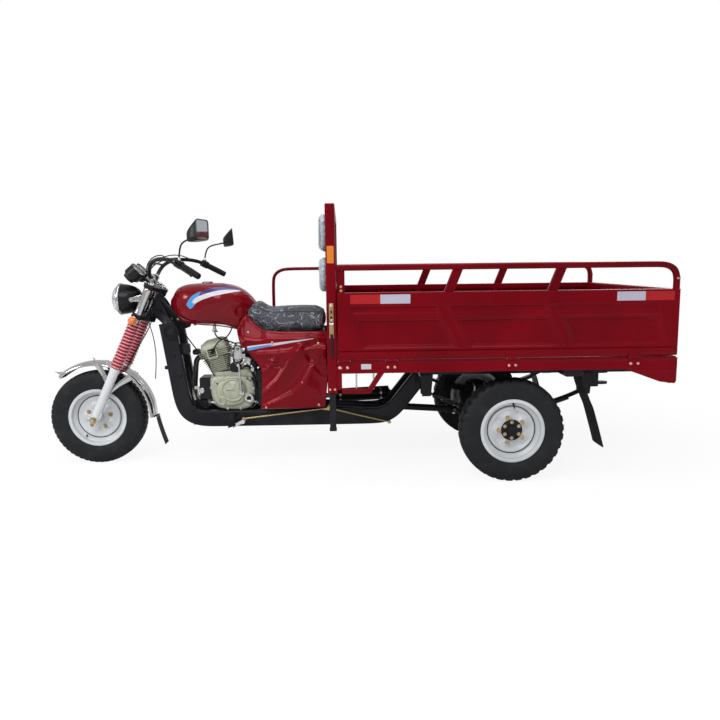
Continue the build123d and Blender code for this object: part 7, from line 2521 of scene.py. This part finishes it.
# ---------------------------------------------------------------- frame
@piece
class TRICYCLE_OT_frame(bpy.types.Operator):
    """Deep cradle rails, armrest, pegs and clips; the frame's hidden members keep their CAD shapes"""

    bl_idname = "tricycle.frame"
    bl_label = "Frame"

    def execute(self, context):
        self.rails()
        self.neck()
        self.middle()
        self.armrest()
        for node in ("seat_frame", "crossmembers", "rear_ladder", "spring_hangers"):
            dress(node, finish("black_paint"))
        return {"FINISHED"}

    def neck(self):
        """Head tube with its collars, box arms down to the rails, side plates, the backbone and the horn."""
        shell = Shell("neck_and_backbone", "chassis", "black_paint", "rubber", "steel", replaces=["cradle_frame"],
                      slot="black_paint")
        low = LOWER_YOKE + 25
        head = FORK.moved(-50, 0, low)
        shell.add(turned(head, [(22, 0), (28, 0.5), (29, 3), (29, 16), (25, 20), (24.5, 136), (29, 140), (29, 153),
                                (28, 155.5), (22, 156)], 48))
        spine = flow(BODY.line((392, 0, 912), (430, 0, 890), (500, 0, 862), (640, 0, 846), (780, 0, 832),
                               (860, 0, 792), (930, 0, 748), (990, 0, 722)), 60)
        shell.add(swept(spine, 20.0, section=oblong(2.5, 1.9, 0.4, 5), roll=(0, 1, 0)))
        arm = flow(BODY.line((356, 20, 872), (392, 40, 862), (436, 76, 834), (458, 92, 794), (462, 95, 770)), 40)
        shell.add(swept(arm, np.linspace(18, 24, 40), section=oblong(2.5, 1.7, 0.4, 5), roll=(0, 1, 0)), sided=True)
        plate = closed([(378, 970), (352, 900), (366, 860), (410, 826), (470, 790), (536, 776), (562, 806),
                        (500, 856), (440, 900), (410, 968)], 70)
        for y in (24, -28):
            shell.add(prism(side_axes(0, y, 0), plate, 0, 4, 1.0))
        for t in (420, 450, 486):
            shell.add(rod(BODY(t, -29, 838), BODY(t, 29, 838), 7.0), 2)
        horn = side_axes(466, 122, 772)
        shell.add(turned(horn, curve([(12, -14), (38, -12), (44, -6), (45, 2), (42, 7), (38, 8), (34, 4), (22, 6),
                                      (10, 9), (2, 9.5)], 40), 56), 1)
        for k in range(3):
            shell.add(turned(horn, [(14 + 8 * k, 7.0), (16 + 8 * k, 8.6), (18 + 8 * k, 7.0), (16 + 8 * k, 5.0)], 48),
                      0, loop=True)
        shell.make()
        loom = Shell("front_loom", "chassis", "rubber", "plastic", slot="black_rubber")
        for points, size in (([(392, 34, 930), (420, 50, 880), (452, 70, 820), (478, 76, 740), (496, 72, 640)], 8.0),
                             ([(400, 40, 950), (440, 60, 920), (480, 66, 870), (540, 60, 830), (640, 40, 822)], 6.5),
                             ([(404, -36, 940), (430, -60, 880), (466, -70, 800), (500, -64, 690)], 6.0)):
            loom.add(swept(flow([BODY(*q) for q in points], 50), size, 14, roll=(0.2, 1, 0.1)), 0)
        loom.add(brick(BODY, (506, 556), (40, 92), (640, 700), 7.0), 1)
        loom.add(brick(BODY, (560, 600), (-30, 30), (628, 660), 8.0), 1)
        loom.make()

    def middle(self):
        """Dark parts between engine and seat: air box with its ribs, battery tray, coil, regulator and hoses."""
        shell = Shell("air_box_and_tray", "chassis", "plastic", "rubber", "steel", slot="black_plastic")
        shell.add(brick(BODY, (900, 1000), (-88, 88), (560, 716), 14.0))
        for z in (590, 620, 650, 680):
            shell.add(brick(BODY, (896, 1000), (-92, 92), (z, z + 6), 2.0))
        shell.add(brick(BODY, (936, 1010), (-96, 96), (330, 556), 12.0))
        for z in (380, 430, 480, 520):
            shell.add(brick(BODY, (932, 1010), (-99, 99), (z, z + 7), 2.0))
        for t, y, z, r in ((884, 52, 596, 21), (914, 66, 548, 15)):
            shell.add(turned(side_axes(t, y, z), [(r - 2, -22), (r, -20), (r, 18), (r - 3, 22), (3, 23)], 32), 2)
        for points, size in (([(850, 40, 636), (880, 62, 650), (912, 84, 640), (930, 92, 600), (926, 92, 540)], 7.0),
                             ([(862, 30, 560), (890, 60, 570), (918, 84, 520), (930, 92, 450), (936, 88, 360)], 8.0),
                             ([(880, 60, 700), (906, 82, 690), (922, 96, 640), (912, 88, 590), (890, 70, 560)], 4.5),
                             ([(896, 70, 500), (920, 86, 490), (934, 94, 430), (926, 84, 370), (900, 70, 330)], 5.0)):
            shell.add(swept(flow([BODY(*q) for q in points], 50), size, 14, roll=(0.2, 1, 0.1)), 1)
        shell.add(brick(BODY, (566, 640), (-56, 60), (318, 372), 8.0))
        shell.add(brick(BODY, (600, 666), (-64, 64), (372, 500), 6.0))
        shell.add(brick(side_axes(584, 62, 440), (-16, 18), (-8, 12), (-6, 8), 4.0), 2)
        shell.add(turned(side_axes(612, 60, 424), [(17, -8), (17, 8), (14, 11), (3, 11.5)], 32), 2)
        shell.make()

    def rails(self):
        """Rectangular tubes with rounded edges, swept down from the head and back under the bed."""
        shell = Shell("cradle_tubes", "chassis", "black_paint", replaces=["cradle_rails"], slot="black_paint")
        top = float(FORK(0, 0, LOWER_YOKE)[2]) - 50
        rear = WHEELBASE
        line = BODY.line((442, 95, top + 20), (450, 95, top - 30), (459, 95, top - 90), (474, 95, 610),
                         (494, 95, 470), (508, 95, 378), (528, 95, 322), (564, 95, 288), (620, 95, 270),
                         (700, 95, 268), (900, 95, 268), (1300, 95, 268), (rear - 700, 95, 268),
                         (rear - 640, 95, 274), (rear - 590, 95, 300), (rear - 540, 95, 360), (rear - 470, 95, 450),
                         (rear - 395, 95, 540))
        shell.add(swept(flow(line, 120), 22.0, section=oblong(92 / 22, 2.0, 0.42, 6), roll=(0, 1, 0)), 0, sided=True)
        shell.add(rod(BODY(444, 95, 566), BODY(416, 95, 568), 11.0, 24, 3.0), 0, sided=True)
        for t, z in ((470, 640), (498, 520), (572, 330)):
            shell.add(turned(side_axes(t, 117, z), [(17, -1), (17, 3), (14, 6), (7, 7)], 28), 0, sided=True)
            shell.add(bolt(side_axes(t, 121, z), 7.0, 4.0, 1.4), 0, sided=True)
        for t in (1010, 1270, 1500):
            shell.add(prism(side_axes(t, 117, 268), oblong(34, 60, 5, 5), -1, 2.6, 1.0), 0, sided=True)
            for z in (252, 284):
                shell.add(bolt(side_axes(t, 119.4, z), 5.0, 3.6, 1.0), 0, sided=True)
        shell.make()
        pegs = Shell("peg_rubbers", "chassis", "rubber", "steel", slot="black_rubber")
        peg = toward(BODY(800, 120, 290), BODY(800, 226, 290), (0, 0, 1))
        h = np.linspace(30, 104, 60)
        r = 15.2 + 1.6 * np.abs(np.sin((h - 30) * np.pi / 7.4)) ** 0.6
        pegs.add(turned(peg, [(12, 26)] + list(zip(r, h)) + [(12, 106)], 32), 0, sided=True)
        pegs.make()

    def armrest(self):
        """Bent tube from the headboard forwards, down beside the seat and in to the seat frame."""
        shell = Shell("armrest_bar", "chassis", "rail_enamel", "steel", replaces=["armrest"], slot="crimson_paint")
        y = -360
        line = BODY.line((1353, y, 1114), (1300, y, 1114), (1120, y, 1114), (1072, y, 1112), (1036, y, 1101),
                         (1008, y, 1076), (1000, y, 1040), (1000, y, 900), (1000, y, 780), (1000, y + 2, 745),
                         (1000, y + 12, 727), (1000, y + 36, 723), (1000, -240, 723), (1000, -118, 723))
        shell.add(swept(flow(line, 170), 10.0, 20, roll=(0.3, 0.9, 0.1)))
        shell.add(turned(Axes(BODY(1353, y, 1114), (0, 1, 0), (0, 0, 1), (1, 0, 0)),
                         [(22, 0), (22, 4), (14, 7), (12, 22)],
                         32), 0)
        for a in (-15, 15):
            shell.add(bolt(Axes(BODY(1349, y + a, 1114), (0, 1, 0), (0, 0, 1), (1, 0, 0)), 4.5, 3.4, 1.0), 1)
        shell.make()


def dress(node, material):
    """Give a CAD node that keeps its shape a finish in every slot."""
    made = frame["nodes"][node]
    for material_slot in made.material_slots:
        material_slot.material = material


# ---------------------------------------------------------------- rear axle and springs
@piece
class TRICYCLE_OT_rear_axle(bpy.types.Operator):
    """Banjo axle with its cover bolts, propshaft with joints, leaf springs with U-bolts, coil shocks, brake rods"""

    bl_idname = "tricycle.rear_axle"
    bl_label = "Rear axle and springs"

    def execute(self, context):
        self.axle()
        self.propshaft()
        self.springs()
        self.shocks()
        self.brakes()
        self.fittings()
        return {"FINISHED"}

    def axle(self):
        """Housing: tube radius swelling smoothly to the banjo, turned about the axle line."""
        shell = Shell("axle_housing", "chassis", "black_paint", "steel", "rubber", replaces=["rear_axle"],
                      slot="black_paint")
        axes = Axes(BODY(WHEELBASE, 0, AXLE_Z), (1, 0, 0), (0, 0, 1), (0, -1, 0))
        h = np.linspace(-398, 398, 100)
        r = 35.5 + 63.5 * np.sqrt(np.clip(1 - (h / 105) ** 2, 0, 1)) * ease((112 - np.abs(h)) / 40)
        shell.add(turned(axes, list(zip(r, h)), 56))
        nose = toward(BODY(WHEELBASE - 40, 0, AXLE_Z), BODY(WHEELBASE - 176, 0, AXLE_Z), (0, 0, 1))
        shell.add(turned(nose, curve([(72, 30), (64, 60), (52, 84), (42, 104), (38, 116), (38, 130), (34, 135.5)],
                                     30), 48))
        cover = Axes(BODY(WHEELBASE + 62, 0, AXLE_Z), (0, 1, 0), (0, 0, 1), (-1, 0, 0))
        shell.add(turned(cover, curve([(82, 0), (82, 7), (70, 12), (56, 26), (30, 34), (3, 36)], 24), 56))
        for k in range(10):
            a = 2 * math.pi * k / 10
            shell.add(bolt(cover.moved(76 * math.cos(a), 76 * math.sin(a), 9), 6.0, 4.4, 1.2), 1)
        plate = side_axes(WHEELBASE, 393, AXLE_Z)
        shell.add(turned(plate, curve([(36, -1), (60, 0), (100, -1), (111, 1), (111.5, 6), (100, 6.8), (40, 6.9)],
                                      20), 56),
                  0, sided=True)
        saddle = level_axes(WHEELBASE, 350, AXLE_Z + 24)
        shell.add(brick(saddle, (-44, 44), (-28, 28), (0, 23.5), 4.0), 0, sided=True)
        shell.make()

    def propshaft(self):
        """Tube with a cross joint and yokes at each end."""
        shell = Shell("drive_shaft", "chassis", "black_paint", "steel", replaces=["propshaft"], slot="black_paint")
        start, end = BODY(941, 0, 356), BODY(WHEELBASE - 176, 0, AXLE_Z + 3)
        axes = toward(start, end, (0, 0, 1))
        length = float(np.linalg.norm(end - start))
        profile = [(26, 0), (31, 2), (31, 12), (22, 18), (20, 40), (26, 46), (26, 56), (20, 62), (19.6, length - 92),
                   (26, length - 86), (26, length - 70), (21, length - 62), (21, length - 18), (31, length - 12),
                   (31, length - 2), (28, length)]
        shell.add(turned(axes, profile, 36))
        for h in (30, length - 40):
            for rows in (axes.rows[0], axes.rows[1]):
                centre = axes(0, 0, h)
                shell.add(rod(centre - rows * 30, centre + rows * 30, 8.0, 18), 1)
        shell.make()

    def springs(self):
        """Each leaf is an arc with its own camber; eyes, rebound clips, centre plate and two U-bolts."""
        shell = Shell("spring_packs", "chassis", "black_paint", "steel", replaces=["leaf_springs"],
                      slot="black_paint")
        half, low, leaf = 429.0, AXLE_Z + 48.0, 9.0
        main = low + 3.5 * leaf
        sag = 455.0 - main
        radius = (half ** 2 + sag ** 2) / (2 * sag)
        for k in range(4):
            reach = half * (1 - 0.2 * k)
            t = np.linspace(-reach, reach, 36)
            arc = radius + k * leaf
            rise = arc - np.sqrt(arc ** 2 - t ** 2)
            line = BODY(WHEELBASE + t, 350 + 0 * t, main - k * leaf + rise)
            section = oblong(8.2, 56 if k == 0 else 54, 2.0, 3)
            shell.add(swept(line, 1.0, section=section, roll=(0, 1, 0)), 0, sided=True)
        for s in (-1, 1):
            eye = side_axes(WHEELBASE + s * half, 322, 455)
            shell.add(turned(eye, [(10, 0), (17, 0), (18, 1), (18, 55), (17, 56), (10, 56)], 32), 0, loop=True,
                      sided=True)
            t = WHEELBASE + s * 250
            z = main + radius - math.sqrt(radius ** 2 - 250.0 ** 2) - 6
            shell.add(brick(level_axes(t, 350, z), (-9, 9), (-32, 32), (-14, 13), 3.0), 0, sided=True)
        for t in (-34, 34):
            ubolt = BODY.line((WHEELBASE + t, 314, AXLE_Z - 30), (WHEELBASE + t, 314, main + 2),
                              (WHEELBASE + t, 318, main + 14), (WHEELBASE + t, 350, main + 17),
                              (WHEELBASE + t, 382, main + 14), (WHEELBASE + t, 386, main + 2),
                              (WHEELBASE + t, 386, AXLE_Z - 30))
            shell.add(swept(flow(ubolt, 50), 5.0, 14, roll=(1, 0, 0)), 1, sided=True)
        pad = level_axes(WHEELBASE, 350, main + 4)
        shell.add(brick(pad, (-46, 46), (-30, 30), (0, 9), 2.5), 0, sided=True)
        shell.make()

    def shocks(self):
        """Damper body, rod and an open coil: a tube carried round a helix about the damper's axis."""
        shell = Shell("coil_dampers", "chassis", "black_paint", "chrome", "rubber", replaces=["rear_shocks"],
                      slot="black_paint")
        y, spring_side = 298.0, 322.0
        high, low = BODY(WHEELBASE - 317, y, 560), BODY(WHEELBASE - 367, y, 426)
        along = high - low
        start, end = low - along * 0.16, high + along * 0.14
        axes = toward(start, end, (0, 1, 0))
        length = float(np.linalg.norm(end - start))
        profile = [(7, 0), (14, 2), (14, 14), (9, 17), (9, 24), (18, 26), (18, 30), (12, 33), (11.5, length * 0.62),
                   (6, length * 0.64), (6, length - 24), (17, length - 22), (17, length - 16), (12, length - 12),
                   (14, length - 2), (8, length)]
        shell.add(turned(axes, profile, 32), 0, sided=True)
        turns = np.linspace(0, 2 * np.pi * 7.5, 300)
        h = 30 + (length - 54) * turns / turns[-1]
        coil = axes(15.2 * np.cos(turns), 15.2 * np.sin(turns), h)
        shell.add(swept(coil, 3.2, 10, roll=tuple(axes.rows[2])), 0, sided=True)
        shell.add(rod(high, high + (0, 30, 0), 8, 20), 1, sided=True)
        shell.add(rod(low, (low[0], spring_side, low[2]), 6, 20), 1, sided=True)
        shell.make()

    def brakes(self):
        """Gold rods from the pedal to the cross shaft and to the drums' levers, and the silver pedal arm."""
        shell = Shell("brake_rods", "chassis", "brass", "fork_silver", "rubber", "zinc", replaces=["brake_linkage"],
                      slot="brass_plate")
        y, t, z = 157.0, 1346.0, 330.0
        shell.add(rod(BODY(860, 117, 262), BODY(860, 187, 262), 10, 24), 1)
        pedal = flow(BODY.line((862, 177, 266), (846, 177, 258), (820, 177, 244), (802, 177, 236)), 16)
        shell.add(swept(pedal, np.linspace(9, 7, 16), section=oblong(2.2, 1.6, 0.5, 4), roll=(0, 1, 0)), 1)
        shell.add(brick(Axes(BODY(798, 172, 240), (-1, 0, 0.3), (0, 1, 0), (0.3, 0, 1)), (-22, 22), (-16, 24),
                        (-3, 6), 3.0), 2)
        shell.add(swept(flow(BODY.line((862, y, 276), (1100, y, 303), (t, y, z)), 20), 4.6, 14, roll=(0, 1, 0)), 0)
        shell.add(swept(flow(BODY.line((t, y, z), (1500, y, 290), (1700, y, 240)), 20), 4.6, 14, roll=(0, 1, 0)), 0)
        shell.add(rod(BODY(t, 96, z), BODY(t, y + 12, z), 12, 28), 0)
        shell.add(rod(BODY(t - 34, y, z - 4), BODY(t + 30, y, z - 8), 8.0, 18), 3)
        for spot in (BODY(862, y, 276), BODY(t, y, z), BODY(1690, y, 243)):
            shell.add(turned(Axes(spot - (0, 9, 0), (1, 0, 0), (0, 0, 1), (0, 1, 0)),
                             [(7, 0), (9, 2), (9, 16), (7, 18)], 20), 3)
        shell.add(bolt(side_axes(t, y + 11, z), 7.0, 5.0, 1.5), 3)
        shell.make()

    def fittings(self):
        """Rubber mudflaps bent back at the foot, with their clamps, and the tow jaw with its pin."""
        flaps = Shell("mud_flaps", "chassis", "rubber", "black_paint", "steel", replaces=["mudflaps"],
                      slot="black_rubber")
        t = WHEELBASE + 338
        y = np.linspace(441, 584, 24)
        line = curve([(t, 566), (t + 9, 520), (t + 39, 440), (t + 59, 395), (t + 79, 330), (t + 99, 262),
                      (t + 119, 190)],
                     50)
        bow = 3.0 * ((y - 512) / 72) ** 2
        front = BODY(line[:, :1] - 4 + bow[None], y[None] + 0 * line[:, :1], line[:, 1:] + 0 * y[None])
        back = BODY(line[:, :1] + 3 + bow[None] * 0.6, y[None] + 0 * line[:, :1], line[:, 1:] + 0 * y[None])
        flaps.add(np.concatenate([front, back[:, ::-1]], 1), 0, sided=True)
        bar = level_axes(t - 40, 512.5, 580)
        flaps.add(brick(bar, (-43, 44), (-72, 72), (-19.5, 19.5), 3.0), 1, sided=True)
        for y0 in (460, 512, 564):
            flaps.add(bolt(Axes(BODY(t + 3, y0, 574), (0, 1, 0), (0, 0, 1), (-1, 0, 0)), 5.5, 4.0, 1.2), 2,
                      sided=True)
        flaps.make()
        tow = Shell("tow_jaw", "chassis", "black_paint", "steel", replaces=["tow_hook"], slot="black_paint")
        s = BED_REAR - 223
        upright = level_axes(s + 25, 0, 482)
        tow.add(brick(upright, (-25, 25), (-30, 30), (-78, 78), 4.0))
        jaw = [(34, -26), (-6, -26), (-30, -22), (-44, -12), (-47, 0), (-44, 12), (-30, 22), (-6, 26), (34, 26)]
        for z in (424, 491):
            at = level_axes(s + 66, 0, z)
            tow.add(self.plate_with_hole(at, np.array(jaw), -18.0, 8.4, 14.0))
        tow.make()

    def plate_with_hole(self, axes, outline, a, r, thick):
        """Plate with one round hole: rings from the outline in to the hole and back up its wall."""
        rim = closed(outline, 48)
        angle = np.arctan2(rim[:, 1], rim[:, 0] - a)
        hole = np.stack([a + r * np.cos(angle), r * np.sin(angle)], 1)
        rows = [(rim, -thick / 2), (rim, thick / 2), (hole, thick / 2), (hole, -thick / 2)]
        return layers(axes, rows)


# ---------------------------------------------------------------- panel and registration
class TRICYCLE_PT_panel(bpy.types.Panel):
    """Sidebar panel with one button for each group of pieces"""

    bl_idname = "TRICYCLE_PT_panel"
    bl_label = "Cargo Motor Tricycle"
    bl_space_type = "VIEW_3D"
    bl_region_type = "UI"
    bl_category = "Tricycle"

    def draw(self, context):
        layout = self.layout
        for group in (context.scene.tricycle_sizes, context.scene.tricycle_finish):
            box = layout.box()
            for name in group.__annotations__:
                box.prop(group, name)
        for cls in OPERATORS:
            layout.operator(cls.bl_idname)


def register():
    """Register the classes, and hang the two groups of values on the scene."""
    for cls in (TricycleSizes, TricycleFinish, *OPERATORS, TRICYCLE_PT_panel):
        bpy.utils.register_class(cls)
    bpy.types.Scene.tricycle_sizes = PointerProperty(type=TricycleSizes)
    bpy.types.Scene.tricycle_finish = PointerProperty(type=TricycleFinish)


def unregister():
    """Undo register, in reverse."""
    del bpy.types.Scene.tricycle_finish
    del bpy.types.Scene.tricycle_sizes
    for cls in reversed((TricycleSizes, TricycleFinish, *OPERATORS, TRICYCLE_PT_panel)):
        bpy.utils.unregister_class(cls)


def main():
    """Run every operator in order, and write the two boxes."""
    register()
    for cls in OPERATORS:
        group, name = cls.bl_idname.split(".")
        getattr(getattr(bpy.ops, group), name)()
    with open(SIZE_FILE, "w") as out:
        json.dump({"cad": [list(v) for v in CAD_BOX], "visual": [list(v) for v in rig.bounds()]}, out)


if __name__ == "__main__":
    main()
